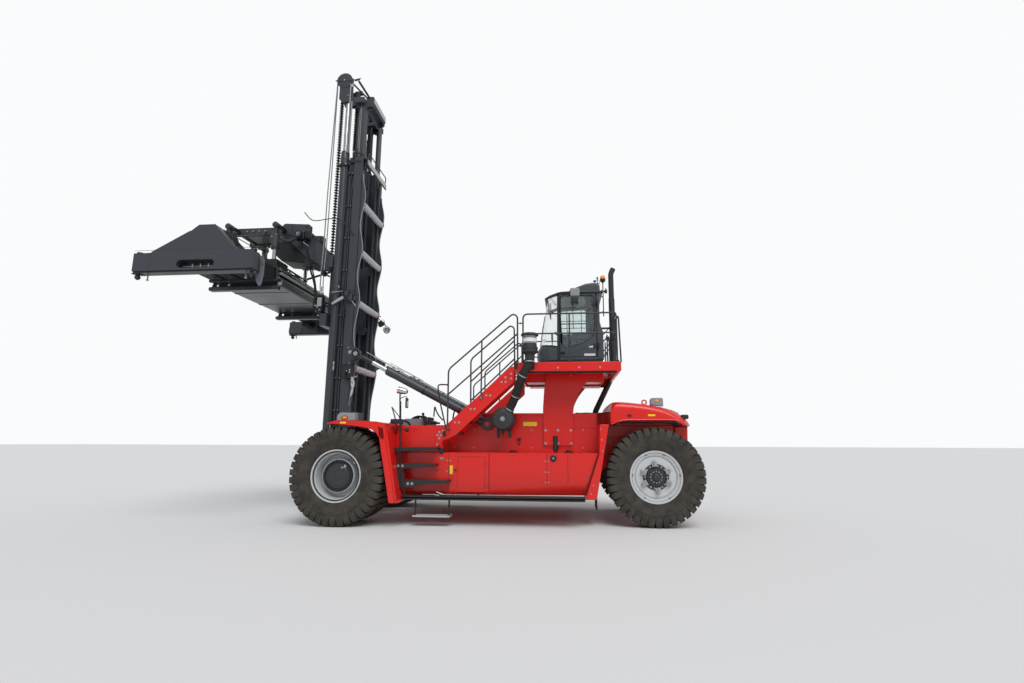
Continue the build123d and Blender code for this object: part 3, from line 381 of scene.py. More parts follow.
def bar(start, end, radius, sides=16, bevel=0.0, tip_radius=None):
    """A round bar or cone between two points."""
    start, end = Vector(start), Vector(end)
    bpy.ops.object.select_all(action="DESELECT")
    run = end - start
    tip = radius if tip_radius is None else tip_radius
    bpy.ops.mesh.primitive_cone_add(vertices=sides, radius1=radius, radius2=tip, depth=run.length,
                                    location=(start + end) / 2,
                                    rotation=run.to_track_quat("Z", "Y").to_euler())
    piece = bpy.context.object
    bpy.ops.object.transform_apply(location=True, rotation=True, scale=True)
    round_edges(piece, bevel)
    return piece


def bent_tube(points, radius, bend=0.1, sides=8, ends=True):
    """A tube bent through the points, each inner corner rounded over the bend length."""
    points = [Vector(p) for p in points]
    curve = bpy.data.curves.new("bent_tube", "CURVE")
    curve.dimensions = "3D"
    stops = [(points[0], None)]
    for before, corner, after in zip(points, points[1:], points[2:]):
        reach = min(bend, (before - corner).length * 0.45, (after - corner).length * 0.45)
        stops.append((corner + (before - corner).normalized() * reach, corner))
        stops.append((corner + (after - corner).normalized() * reach, corner))
    stops.append((points[-1], None))
    spline = curve.splines.new("BEZIER")
    spline.bezier_points.add(len(stops) - 1)
    for knot, (place, corner) in zip(spline.bezier_points, stops):
        knot.co = place
        knot.handle_left_type = knot.handle_right_type = "FREE"
        knot.handle_left = knot.handle_right = place
    for i in range(1, len(stops) - 1, 2):
        corner = stops[i][1]
        spline.bezier_points[i].handle_right = stops[i][0].lerp(corner, 0.56)
        spline.bezier_points[i + 1].handle_left = stops[i + 1][0].lerp(corner, 0.56)
    curve.resolution_u = 6
    curve.bevel_depth = radius
    curve.bevel_resolution = max(0, sides // 4 - 1)
    curve.use_fill_caps = ends
    piece = bpy.data.objects.new("bent_tube", curve)
    bpy.context.scene.collection.objects.link(piece)
    alone(piece)
    bpy.ops.object.convert(target="MESH")
    return bpy.context.object


def hex_bolt(radius, height):
    """A hexagon head with its washer, standing up along +Y from the origin."""
    washer = bar((0, 0, 0), (0, height * 0.2, 0), radius * 1.35, sides=14)
    head = bar((0, height * 0.2, 0), (0, height, 0), radius, sides=6, bevel=radius * 0.12)
    return gather(washer, head)


for side, sign in (("left", 1), ("right", -1)):
    low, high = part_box(f"front_rim_{side}")
    face = high.y if sign > 0 else -low.y
    inner_face = low.y if sign > 0 else -high.y
    reach = face - inner_face
    start = Vector((0, 0, tyre_radius))
    outward = Matrix.Rotation(0 if sign > 0 else math.pi, 4, "Z")
    rim = coat(turned([(sign * (inner_face + y), r) for y, r in (
        (reach, 0.479), (reach, 0.462), (reach - 0.006, 0.458), (reach - 0.022, 0.45), (reach - 0.026, 0.436),
        (reach - 0.05, 0.43), (reach - 0.054, 0.416), (reach - 0.075, 0.41), (reach - 0.3, 0.4),
        (reach - 0.315, 0.388), (reach - 0.315, 0.24), (reach - 0.38, 0.24), (reach - 0.4, 0.38),
        (0.05, 0.4), (0.01, 0.44), (0.0, 0.479), (0.02, 0.482), (0.03, 0.43), (reach - 0.03, 0.4248),
        (reach - 0.02, 0.4815), (reach - 0.006, 0.4815))], start, steps=80), silver_paint)
    seat = coat(turned([(sign * (face + y), r)
                        for y, r in ((-0.128, 0.23), (-0.128, 0.302), (-0.14, 0.31), (-0.3, 0.318),
                                     (-0.3, 0.23))], start, steps=72), silver_paint)
    hub = coat(turned([
        (sign * (face + y), r) for y, r in ((-0.086, pole), (-0.086, 0.05), (-0.09, 0.055), (-0.092, 0.18),
                                            (-0.1, 0.19), (-0.104, 0.226), (-0.116, 0.232), (-0.116, 0.292),
                                            (-0.128, 0.295), (-0.36, 0.29), (-0.9, 0.3), (-1.03, 0.26),
                                            (-1.03, 0.125), (-0.35, 0.125), (-0.35, pole))], start,
        steps=72), cast_iron)
    studs = coat(repeat(hex_bolt(0.0185, 0.036), [
        Matrix.Translation((0, sign * (face - 0.116), tyre_radius))
        @ Matrix.Rotation(i * math.tau / bolt_count, 4, "Y") @ Matrix.Translation((0, 0, bolt_ring))
        @ outward for i in range(bolt_count)]), black_paint)
    plug = coat(bar((
        -0.09, sign * (face - 0.09), tyre_radius + 0.15), (-0.09, sign * (face - 0.07), tyre_radius + 0.15),
        0.022, sides=6, bevel=0.002), zinc_steel)
    lug_plate = coat(plate([(-0.17, tyre_radius + 0.19), (-0.12, tyre_radius + 0.21),
                            (-0.11, tyre_radius + 0.15), (-0.15, tyre_radius + 0.14)],
                           sign * (face - 0.1), sign * (face - 0.085)), zinc_steel)
    valve = coat(bent_tube([(-0.3, sign * (face - 0.3), tyre_radius + 0.2),
                            (-0.3, sign * (face - 0.12), tyre_radius + 0.2),
                            (-0.33, sign * (face - 0.04), tyre_radius + 0.24)], 0.009, 0.04), zinc_steel)
    wheel = gather(rim, seat, hub, studs, plug, lug_plate, valve)
    fit(wheel, f"front_wheel_pair_{side}", f"front_wheels_{side}_pair", smooth=28)
    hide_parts(f"front_rim_{side}")

# Rear wheels: a flat silver disc held on the steer hub by six cast clamps with two nuts each, with
# a lock ring outside it, chalk marks from fitting, and a small dust cap in the middle.
clamp_turns = (0.1, 1.2, 2.05, 3.25, 4.3, 5.2)
chalk, chalk_shader = new_material("yellow_chalk", "#E6E3B2", 0.9)
chalk_place = add_node(chalk.node_tree, "ShaderNodeTexCoord")
chalk_grain = add_node(chalk.node_tree, "ShaderNodeTexNoise", {"Scale": 160.0},
                       Vector=chalk_place.outputs["Object"])
chalk_bump = add_node(chalk.node_tree, "ShaderNodeBump", {"Strength": 0.5}, Height=chalk_grain.outputs["Fac"])
chalk.node_tree.links.new(chalk_bump.outputs["Normal"], chalk_shader.inputs["Normal"])
for side, sign in (("left", 1), ("right", -1)):
    low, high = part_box(f"rear_rim_{side}")
    rim_low, rim_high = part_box(f"rear_tyre_{side}")
    outer = max(abs(rim_low.y), abs(rim_high.y)) - 0.05
    inner = outer - 0.4
    hub_in = min(abs(low.y), abs(high.y))
    hub_face = max(abs(low.y), abs(high.y))
    start = Vector((rear_axle.x - front_axle.x, 0, tyre_radius))
    outward = Matrix.Rotation(0 if sign > 0 else math.pi, 4, "Z")
    rim = coat(turned([(sign * y, r)
                       for y, r in ((outer, 0.479), (outer, 0.466), (outer - 0.008, 0.46),
                                    (outer - 0.008, 0.446), (outer - 0.02, 0.441), (outer - 0.02, 0.426),
                                    (outer - 0.034, 0.42), (outer - 0.034, 0.396), (outer - 0.07, 0.38),
                                    (outer - 0.05, 0.365), (outer - 0.05, 0.24), (outer - 0.085, 0.24),
                                    (outer - 0.085, 0.385), (inner + 0.03, 0.4), (inner, 0.44),
                                    (inner, 0.479), (inner + 0.02, 0.482), (inner + 0.03, 0.4248),
                                    (outer - 0.03, 0.4248), (outer - 0.02, 0.4815),
                                    (outer - 0.006, 0.4815))], start, steps=80), silver_paint)
    hub = coat(turned([(sign * (hub_face + y), r)
                       for y, r in ((0.012, pole), (0.012, 0.05), (0.004, 0.066), (-0.03, 0.072),
                                    (-0.03, 0.128), (-0.042, 0.134), (-0.042, 0.166), (-0.06, 0.176),
                                    (-0.062, 0.236), (-0.12, 0.24), (hub_in - hub_face, 0.19),
                                    (hub_in - hub_face, 0.092), (-0.11, 0.092), (-0.11, pole))], start,
                      steps=64), cast_iron)
    facing = [Matrix.Translation(start) @ Matrix.Rotation(i * math.tau / 12, 4, "Y") for i in range(12)]
    ring = coat(repeat(hex_bolt(0.009, 0.016),
                       [turn_to @ Matrix.Translation((0, sign * (hub_face - 0.03), 0.103)) @ outward
                        for turn_to in facing]), zinc_steel)
    arms = coat(repeat(hex_bolt(0.013, 0.02),
                       [Matrix.Translation(start) @ Matrix.Rotation((i + 0.5) * math.tau / 18, 4, "Y")
                        @ Matrix.Translation((0, sign * (hub_face - 0.061), 0.205)) @ outward
                        for i in range(18)]), zinc_steel)
    wedge = plate([(-0.052, 0.19), (0.052, 0.19), (0.05, 0.24), (0.03, 0.3), (-0.03, 0.3), (-0.05, 0.24)],
                  0, 0.042, bevel=0.01)
    nuts = repeat(hex_bolt(0.021, 0.045), [Matrix.Translation((0, 0.04, 0.218)),
                                           Matrix.Translation((0, 0.04, 0.27))])
    clamps = coat(repeat(gather(wedge, nuts), [
        Matrix.Translation(start) @ Matrix.Rotation(a, 4, "Y")
        @ Matrix.Translation((0, sign * (hub_face - 0.062), 0)) @ outward for a in clamp_turns]), zinc_steel)
    hook = bent_tube([(-0.02, 0, 0.425), (0.0, 0.012, 0.44), (0.02, 0, 0.425)], 0.005, 0.01)
    hooks = coat(repeat(hook, [
        Matrix.Translation(start) @ Matrix.Rotation(a, 4, "Y")
        @ Matrix.Translation((0, sign * (outer - 0.016), 0)) @ outward
        for a in (0.4, 1.5, 2.6, 3.7, 4.8, 5.9)]), black_paint)
    mark = plate([(-0.045, 0.372), (0.045, 0.372), (0.05, 0.378), (-0.05, 0.378)], 0, 0.004, bevel=0)
    marks = coat(repeat(mark, [Matrix.Translation(start) @ Matrix.Rotation(a, 4, "Y")
                               @ Matrix.Translation((0, sign * (outer - 0.055), -0.03)) @ outward
                               for a in (0.7, 1.7, 3.0, 4.4, 5.6)]), chalk)
    wheel = gather(rim, hub, ring, arms, clamps, hooks, marks)
    fit(wheel, f"rear_wheel_and_hub_{side}", f"rear_wheel_{side}", smooth=28)
    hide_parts(f"rear_rim_{side}")

# Frame: a box welded from thick plate between the axles, with a narrow spine over the steered axle
# and two heavy plates in front that clamp the drive axle. It is sprayed in the body's red.
red_paint = enamel("red_enamel", "#DE150D", "#9C5A48", 0.27)
grey_paint = enamel("anthracite_enamel", "#343A41", "#5C5A55", 0.36)
light_grey = enamel("light_grey_enamel", "#8D9195", "#6E6A62", 0.3)


def block(x1, x2, y1, y2, z1, z2, bevel=0.004, segments=2):
    """A square-edged block between two places on each axis, with its edges broken."""
    outline = [(x1, z1), (x2, z1), (x2, z2), (x1, z2)]
    return plate(outline, y1, y2, bevel=bevel, segments=segments)


def mirrored(piece):
    """A copy on the other side of the machine's middle plane."""
    other = piece.copy()
    other.data = piece.data.copy()
    bpy.context.scene.collection.objects.link(other)
    other.data.transform(Matrix.Scale(-1, 4, (0, 1, 0)))
    other.data.flip_normals()
    return other


def both_sides(piece):
    """The piece together with its mirror image."""
    return gather(piece, mirrored(piece))


def bolts(places, facing, radius=0.014, height=0.014):
    """Hexagon bolts in zinc-plated steel at the places, with their heads to one side."""
    turned_to = Vector((0, 1, 0)).rotation_difference(Vector(facing)).to_matrix().to_4x4()
    return coat(repeat(
        hex_bolt(radius, height), [Matrix.Translation(p) @ turned_to for p in places]), zinc_steel)


box_shell = coat(plate(
    [(-0.88, 0.62), (-0.88, 1.87), (-1.8, 1.87), (-2.03, 2.12), (-5.05, 2.12), (-5.05, 1.87), (-4.86, 1.33),
     (-4.62, 0.62)], -0.68, 0.68, bevel=0.012, segments=3), red_paint)
spine = coat(plate([(-4.56, 0.76), (-4.56, 1.84), (-6.45, 1.84), (-6.45, 1.23), (-5.23, 1.23), (-5.02, 0.98)],
                   -0.3, 0.3, bevel=0.012), red_paint)
cheek = coat(plate(
    [(-1.005, 0.62), (-1.005, 1.5), (-0.32, 1.56), (0.28, 1.21), (0.33, 1.18), (0.64, 0.86), (0.64, 0.56),
     (0.4, 0.52), (0.28, 0.54), (-0.32, 0.56)], 0.742, 0.79, bevel=0.008), red_paint)
cheek_in = coat(plate([(-1.005, 0.62), (-1.005, 1.5), (-0.32, 1.56), (0.28, 1.21), (0.28, 0.54),
                       (-0.32, 0.56)], 0.68, 0.745, bevel=0.006), red_paint)
mast_pin = coat(gather(bar((0.52, 0.668, 0.7), (0.52, 0.8, 0.7), 0.07, 32, 0.006),
                       block(0.44, 0.6, 0.79, 0.806, 0.67, 0.73)), zinc_steel)
axle_bolts = bolts([(0.24 * math.cos(a), 0.79, 0.905 + 0.24 * math.sin(a))
                    for a in [i * math.tau / 12 for i in range(12)]], (0, 1, 0), 0.022, 0.03)
tilt_boss = coat(gather(turned([(0.0, 0.13), (0.02, 0.1), (0.06, 0.09), (0.06, pole), (0.0, pole)],
                               (-2.64, 0.675, 1.9), 40),
                        bar((-2.64, 0.68, 1.9), (-2.64, 0.865, 1.9), 0.05, 32, 0.004)), red_paint)
top_lip = coat(block(-3.85, -2.05, 0.68, 0.705, 2.085, 2.125), red_paint)
bend_strip = coat(block(-5.02, -1.95, 0.68, 0.69, 1.84, 1.856, 0.003), red_paint)
seam_bolts = bolts([
    (x, 0.69, z) for x in (-1.95, -2.35, -3.55, -4.6) for z in (1.42, 1.78)], (0, 1, 0), 0.01, 0.008)
lift_ring = coat(turned([(0.0, 0.034), (0.0, 0.055), (0.022, 0.058), (0.03, 0.05), (0.03, 0.038),
                         (0.02, 0.034)], (-3.29, 0.68, 1.58), 32), red_paint)
# The keyhole is a black disc and slot flush on the plate: painted shade for the hole.
ring_hole = coat(gather(bar((-3.29, 0.68, 1.58), (-3.29, 0.684, 1.58), 0.034, 24),
                        plate([(-3.305, 1.46), (-3.275, 1.46), (-3.28, 1.56), (-3.3, 1.56)], 0.68, 0.684,
                              bevel=0)), black_paint)
drain_rod = coat(gather(
    bar((-4.034, 0.71, 1.44), (-4.034, 0.71, 1.7), 0.028, 20, 0.004),
    turned([(0.0, 0.02), (0.0, 0.042), (0.03, 0.042), (0.03, 0.02)], (-4.06, 0.71, 1.41), 24),
    block(-4.07, -4.0, 0.68, 0.72, 1.63, 1.66)), black_paint)
wheel_wall = coat(block(-6.5, -5.05, 0.48, 0.493, 1.66, 1.93, 0), red_paint)
yellow_plastic = enamel("yellow_plate_enamel", "#F0D413", "#B49A3A", 0.4)
frame_sign = coat(block(-3.66, -3.374, 0.68, 0.684, 1.862, 1.944, 0.001), yellow_plastic)
frame_side = gather(wheel_wall, frame_sign, cheek, cheek_in, mast_pin, axle_bolts, tilt_boss, top_lip,
                    bend_strip, seam_bolts, lift_ring, ring_hole, drain_rod)
welded_frame = gather(box_shell, spine, both_sides(frame_side))
fit(welded_frame, "welded_frame", "chassis")
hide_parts("chassis_frame")

# Deck: bolted covers over the engine bay with louvres and grab handles, and in front of it the
# valve block that feeds the mast, with its hoses.
louvre = plate([(-0.03, 0.0), (0.03, 0.0), (0.018, 0.022), (-0.012, 0.012)], -0.24, 0.24, bevel=0.002,
               segments=1)
lids = []
for x1, x2 in ((-3.16, -2.72), (-2.66, -2.12), (-5.0, -4.45), (-4.4, -3.86)):
    lids.append(coat(block(x1, x2, -0.62, 0.62, 2.12, 2.136, 0.006, 3), black_paint))
    lids.append(bolts(
        [(x, y, 2.136) for x in (x1 + 0.04, x2 - 0.04) for y in (-0.56, 0, 0.56)], (0, 0, 1), 0.012, 0.01))
    lids.append(coat(bent_tube([((x1 + x2) / 2 - 0.09, -0.45, 2.13), ((x1 + x2) / 2 - 0.09, -0.45, 2.19),
                                ((x1 + x2) / 2 + 0.09, -0.45, 2.19), ((x1 + x2) / 2 + 0.09, -0.45, 2.13)],
                               0.009, 0.03), zinc_steel))
vents = coat(repeat(louvre, [(-2.98 + 0.08 * i, 0, 2.136) for i in range(2)]
                    + [(-2.55 + 0.08 * i, 0, 2.136) for i in range(5)]
                    + [(-4.88 + 0.08 * i, 0, 2.136) for i in range(5)]), black_paint)
front_lid = coat(block(-1.76, -0.95, -0.6, 0.6, 1.87, 1.884, 0.006), red_paint)
rim_bolts = bolts([(x, y, 1.884) for x in (-1.7, -1.35, -1.0) for y in (-0.54, 0.54)], (0, 0, 1), 0.012, 0.01)
valve_block = coat(gather(block(-1.32, -1.02, -0.26, 0.26, 1.884, 2.0, 0.008),
                          *[bar((x, y, 2.0), (x, y, 2.07), 0.026, 14, 0.004)
                            for x in (-1.25, -1.1) for y in (-0.18, -0.06, 0.06, 0.18)],
                          *[bar((-1.33, y, 1.95), (-1.42, y, 1.95), 0.022, 12, 0.003)
                            for y in (-0.18, -0.06, 0.06, 0.18)]), cast_iron)


def hose(points, radius, sides=8):
    """A hose that runs smoothly through its points."""
    curve = bpy.data.curves.new("hose", "CURVE")
    curve.dimensions = "3D"
    spline = curve.splines.new("NURBS")
    spline.points.add(len(points) - 1)
    for knot, place in zip(spline.points, points):
        knot.co = (*place, 1)
    spline.order_u = 3
    spline.use_endpoint_u = True
    curve.resolution_u = 6
    curve.bevel_depth = radius
    curve.bevel_resolution = max(0, sides // 4 - 1)
    curve.use_fill_caps = True
    piece = bpy.data.objects.new("hose", curve)
    bpy.context.scene.collection.objects.link(piece)
    alone(piece)
    bpy.ops.object.convert(target="MESH")
    return bpy.context.object


hose_rubber = rubber("hydraulic_hose_rubber", "#151617", "#2E2C29", 0.4)
deck_hoses = coat(gather(
    *[hose([(-1.1 + 0.02 * i, y, 2.04), (-1.08, y, 2.1), (-0.95, y * 0.9, 2.12 - 0.01 * i),
            (-0.86, y * 0.8, 2.02), (-0.82, y * 0.75, 1.75), (-0.86, y * 0.75, 1.4)], 0.016)
      for i, y in enumerate((-0.3, -0.18, -0.06, 0.06, 0.18, 0.3))],
    hose([(-0.93, 0.5, 1.88), (-0.9, 0.55, 1.96), (-0.7, 0.6, 2.0), (-0.5, 0.62, 1.92), (-0.45, 0.62, 1.8),
          (-0.46, 0.6, 1.6)], 0.02), hose([(-1.47, 0.62, 2.06), (-1.5, 0.7, 2.3), (-1.53, 0.72, 2.2),
                                           (-1.6, 0.7, 2.06), (-1.68, 0.66, 1.98)], 0.014)), hose_rubber)
deck_box = coat(gather(block(-1.17, -0.76, 0.1, 0.42, 1.86, 2.02, 0.01),
                       block(-1.15, -0.78, 0.12, 0.4, 2.02, 2.028, 0.003)), light_grey)
lever_post = coat(gather(bar((-1.29, 0.6, 1.85), (-1.235, 0.6, 2.1), 0.022, 14, 0.004),
                         bar((-1.235, 0.6, 2.1), (-1.22, 0.6, 2.14), 0.03, 14, 0.01)), black_paint)
engine_deck = gather(deck_box, lever_post, *lids, vents, front_lid, rim_bolts, valve_block, deck_hoses)
fit(engine_deck, "engine_deck_and_valves", "chassis")

# Drive axle: a cast housing with a bulge for the differential, drum brakes at its ends, and the
# shaft from the gearbox.
housing = coat(turned([(-0.8, 0.17), (-0.72, 0.175), (-0.34, 0.2), (-0.28, 0.24), (-0.16, 0.3), (0.16, 0.3),
                       (0.28, 0.24), (0.34, 0.2), (0.72, 0.175), (0.8, 0.17), (0.8, pole), (-0.8, pole)],
                      (0, 0, tyre_radius), 64), cast_iron)
cover = coat(turned([(0.0, 0.21), (0.0, 0.24), (0.03, 0.24), (0.05, 0.18), (0.06, pole), (0.0, pole)],
                    (0.24, 0, tyre_radius), 40, axis=(1, 0, 0)), cast_iron)
cover_bolts = bolts([(0.27, 0.215 * math.sin(i * math.tau / 14), 0.905 + 0.215 * math.cos(i * math.tau / 14))
                     for i in range(14)], (1, 0, 0), 0.013, 0.014)
nose = coat(turned([(0.0, 0.16), (0.2, 0.13), (0.24, 0.1), (0.3, 0.1), (0.3, pole), (0.0, pole)],
                   (-0.26, 0, tyre_radius), 32, axis=(-1, 0, 0)), cast_iron)
shaft = coat(gather(bar((-0.5, 0, 0.9), (-0.87, 0, 0.9), 0.05, 20),
                    bar((-0.52, 0, 0.9), (-0.56, 0, 0.9), 0.09, 20, 0.006)), black_paint)
drum = coat(turned([(0.0, 0.172), (0.0, 0.28), (0.01, 0.298), (0.05, 0.3), (0.055, 0.29), (0.12, 0.29),
                    (0.125, 0.3), (0.2, 0.3), (0.2, 0.12), (0.84, 0.12), (0.84, pole), (0.0, pole)],
                   (0, 0.8, tyre_radius), 56), cast_iron)
drive_axle = gather(housing, cover, cover_bolts, nose, shaft, both_sides(drum))
fit(drive_axle, "drive_axle", "chassis")
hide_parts("front_axle")

# Steered axle: a fabricated beam on its pendulum seat, one double-acting steering cylinder across
# it, and a forked end for each knuckle.
back = rear_axle.x - front_axle.x
beam = coat(plate([(-0.72, 0.755), (-0.95, 0.78), (-0.95, 1.03), (-0.72, 1.055), (0.72, 1.055), (0.95, 1.03),
                   (0.95, 0.78), (0.72, 0.755)], back - 0.1, back + 0.1, across="x", bevel=0), cast_iron)
throat = block(back - 0.3, back + 0.3, 0.745, 0.96, 0.81, 1.0, 0)
for cutter in (throat, mirrored(throat)):
    apply_modifier(beam, "BOOLEAN", object=cutter, operation="DIFFERENCE", solver="EXACT")
    bpy.data.objects.remove(cutter)
round_edges(beam, 0.008)
web = coat(block(back - 0.15, back + 0.15, -0.7, 0.7, 0.765, 1.045, 0.015, 3), cast_iron)
seat_block = coat(block(back - 0.19, back + 0.19, -0.24, 0.24, 1.04, 1.232, 0.012), cast_iron)
pendulum = coat(bar((back - 0.22, 0, 1.14), (back + 0.22, 0, 1.14), 0.07, 28, 0.008), zinc_steel)
cylinder = coat(gather(bar((back + 0.2, -0.32, 0.9), (back + 0.2, 0.32, 0.9), 0.075, 28, 0.008),
                       bar((back + 0.2, 0.32, 0.9), (back + 0.2, 0.36, 0.9), 0.085, 28, 0.006),
                       bar((back + 0.2, -0.36, 0.9), (back + 0.2, -0.32, 0.9), 0.085, 28, 0.006),
                       block(back + 0.14, back + 0.2, -0.2, 0.2, 0.85, 0.95)), black_paint)
chrome, chrome_shader = new_material("hard_chrome", "#C9CCCE", 0.12, Metallic=1.0)
chrome_place = add_node(chrome.node_tree, "ShaderNodeTexCoord")
oil_film = add_node(chrome.node_tree, "ShaderNodeTexNoise", {"Scale": 14.0},
                    Vector=chrome_place.outputs["Object"])
oil_gloss = add_node(chrome.node_tree, "ShaderNodeMapRange", {"To Min": 0.07, "To Max": 0.24},
                     Value=oil_film.outputs["Fac"])
chrome.node_tree.links.new(oil_gloss.outputs["Result"], chrome_shader.inputs["Roughness"])
steer_rod = coat(bar((back + 0.2, -0.5, 0.9), (back + 0.2, 0.5, 0.9), 0.038, 24), chrome)
king_pins = coat(both_sides(gather(bar((back, 0.86, 0.72), (back, 0.86, 1.09), 0.05, 28, 0.004),
                                   bar((back, 0.86, 1.075), (back, 0.86, 1.1), 0.07, 28, 0.004))), zinc_steel)
steer_axle = gather(beam, web, seat_block, pendulum, cylinder, steer_rod, king_pins)
fit(steer_axle, "steered_axle", "chassis")
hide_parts("rear_axle")
for side, sign in (("left", 1), ("right", -1)):
    knuckle = gather(coat(
        bar((back, sign * 0.86, 0.818), (back, sign * 0.86, 0.992), 0.1, 36, 0.006), cast_iron),
        coat(turned([(sign * y, r)
                     for y, r in ((0.86, pole), (0.86, 0.08), (1.0, 0.082), (1.04, 0.11), (1.06, 0.11),
                                  (1.062, 0.09), (1.378, 0.088), (1.378, pole))], (back, 0, tyre_radius),
                    32), cast_iron))
    fit(knuckle, f"steering_knuckle_{side}_casting", f"steering_knuckle_{side}")
    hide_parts(f"knuckle_{side}")

# Tail: the cast counterweight under the hood, with the towing jaw and its pin slot low down.
shoulder = coat(plate([(0.55, 1.865), (0.48, 1.5), (0.36, 1.3), (-0.36, 1.3), (-0.48, 1.5), (-0.55, 1.865)],
                      -6.72, -6.45, across="x", bevel=0.03, segments=4), red_paint)
keel = coat(block(-6.84, -6.45, -0.3, 0.3, 0.76, 1.3, 0), red_paint)
jaw = block(-6.9, -6.61, -0.4, 0.4, 0.93, 1.04, 0)
pin_hole = bar((-6.73, 0, 0.7), (-6.73, 0, 1.2), 0.03, 28)
for cutter in (jaw, pin_hole):
    apply_modifier(keel, "BOOLEAN", object=cutter, operation="DIFFERENCE", solver="EXACT")
    bpy.data.objects.remove(cutter)
round_edges(keel, 0.012, 3)
tail_bolts = bolts([(-6.72, y, z) for y in (-0.3, 0.3) for z in (1.42, 1.76)], (-1, 0, 0), 0.03, 0.025)
cast_tail = gather(shoulder, keel, tail_bolts)
fit(cast_tail, "counterweight_casting", "chassis")
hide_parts("counterweight")

# Tanks: folded steel boxes on both sides for fuel and hydraulic oil, with slanted ends, a folded
# lower edge, bolted joints, an inspection hatch and a filler cap.
tank_boxes = []
for low_end, high_end in ((-2.786, -0.9), (-4.865, -2.786)):
    tank = plate([(0.68, 0.55), (0.68, 1.33), (1.5, 1.33), (1.5, 0.62), (1.47, 0.55)], low_end, high_end,
                 across="x", bevel=0)
    for vertex in tank.data.vertices:
        if vertex.co.x < -4:
            vertex.co.z = 0.81 if vertex.co.y > 1.49 and vertex.co.z < 1 else vertex.co.z
            vertex.co.y = 1.36 if 1.4 < vertex.co.y < 1.49 else vertex.co.y
            vertex.co.x += (1.33 - vertex.co.z) * 0.333
        elif vertex.co.x > -1:
            vertex.co.x -= (1.33 - vertex.co.z) * 0.326
    round_edges(tank, 0.012, 4)
    tank_boxes.append(coat(tank, red_paint))
box_step = coat(block(-1.86, -1.02, 0.68, 1.45, 1.33, 1.83, 0.012, 3), red_paint)
joint_lines = [coat(block(x - 0.004, x + 0.004, 1.499, 1.503, low, 1.315, 0.001), black_paint)
               for x, low in ((-2.006, 0.64), (-2.786, 0.64), (-3.886, 0.74), (-4.279, 0.77))]
joint_bolts = bolts([(x + s * 0.028, 1.5, z) for x in (-2.006, -3.886) for s in (-1, 1)
                     for z in (0.79, 0.98, 1.18)], (0, 1, 0), 0.009, 0.007)
hatch = coat(gather(block(-2.705, -2.183, 1.496, 1.506, 0.6, 1.25, 0.004),
                    block(-2.735, -2.712, 1.5, 1.518, 0.68, 0.76),
                    block(-2.735, -2.712, 1.5, 1.518, 1.08, 1.16)), red_paint)
hatch_gap = coat(plate([(-2.711, 0.672), (-2.711, 1.256), (-2.177, 1.256), (-2.177, 0.672)], 1.499, 1.502,
                       bevel=0), black_paint)
latch = coat(gather(bar((-2.14, 1.5, 1.006), (-2.14, 1.512, 1.006), 0.02, 20, 0.002),
                    block(-2.148, -2.132, 1.51, 1.524, 0.99, 1.022)), black_paint)
cap = coat(turned([(0.0, 0.06), (0.018, 0.062), (0.024, 0.054), (0.026, 0.034), (0.04, 0.03), (0.04, pole),
                   (0.0, pole)], (-4.009, 1.5, 1.235), 36), black_paint)
cap_centre = coat(bar((-4.009, 1.54, 1.235), (-4.009, 1.545, 1.235), 0.02, 18), light_grey)
breather = coat(gather(bar((-1.86, 1.44, 1.36), (-1.86, 1.52, 1.36), 0.056, 30, 0.008),
                       bar((-1.86, 1.52, 1.36), (-1.86, 1.54, 1.36), 0.04, 8, 0.006)), black_paint)
breather_plate = coat(block(-1.9, -1.83, 1.5, 1.504, 1.205, 1.24, 0.002), light_grey)
filter_can = coat(gather(bar((-4.045, 1.28, 1.34), (-4.045, 1.28, 1.38), 0.026, 20),
                         bar((-4.045, 1.28, 1.375), (-4.045, 1.28, 1.66), 0.046, 28, 0.008)), black_paint)
yellow_sign = coat(plate([(-2.086, 0.934), (-2.029, 0.934), (-2.029, 1.089), (-2.086, 1.089)], 1.5, 1.504,
                         bevel=0.001), yellow_plastic)
top_line = coat(block(-4.84, -0.92, 1.486, 1.503, 1.318, 1.334, 0.004), red_paint)
tank_lids = [coat(gather(bar((x, 1.1, 1.33), (x, 1.1, 1.352), 0.09, 32, 0.006),
                         bar((x, 1.1, 1.352), (x, 1.1, 1.38), 0.05, 8, 0.008)), black_paint)
             for x in (-3.2, -4.3)]
tank_side = gather(*tank_boxes, filter_can, box_step, *joint_lines, joint_bolts, hatch, hatch_gap, latch,
                   cap, cap_centre, breather, breather_plate, yellow_sign, top_line, *tank_lids)
fit(both_sides(tank_side), "tanks_and_hatches", "chassis")
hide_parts("side_tanks")

# Running boards: folded steel frames with punched anti-slip tops along the tanks, three boarding
# steps at the front, and a bright fold-down step under them.
punched_steel, punched_shader = new_material("punched_tread_steel", "#2A2D2F", 0.5, Metallic=0.2)
tread_tree = punched_steel.node_tree
tread_place = add_node(tread_tree, "ShaderNodeTexCoord")
# The punched holes are 12 mm across and 26 mm apart.
tread_holes = add_node(tread_tree, "ShaderNodeTexVoronoi", {"Scale": 38.0, "Randomness": 0.0},
                       Vector=tread_place.outputs["Object"])
tread_edge = add_node(tread_tree, "ShaderNodeMapRange", {"From Min": 0.22, "From Max": 0.3},
                      Value=tread_holes.outputs["Distance"])
tread_mix = add_node(tread_tree, "ShaderNodeMix", {"data_type": "RGBA"}, Factor=tread_edge.outputs["Result"])
tread_mix.inputs["A"].default_value = linear("#0C0D0E")
tread_mix.inputs["B"].default_value = linear("#44484B")
tread_tree.links.new(tread_mix.outputs["Result"], punched_shader.inputs["Base Color"])
tread_bump = add_node(tread_tree, "ShaderNodeBump", {"Strength": 0.8, "Distance": 0.004},
                      Height=tread_edge.outputs["Result"])
tread_tree.links.new(tread_bump.outputs["Normal"], punched_shader.inputs["Normal"])
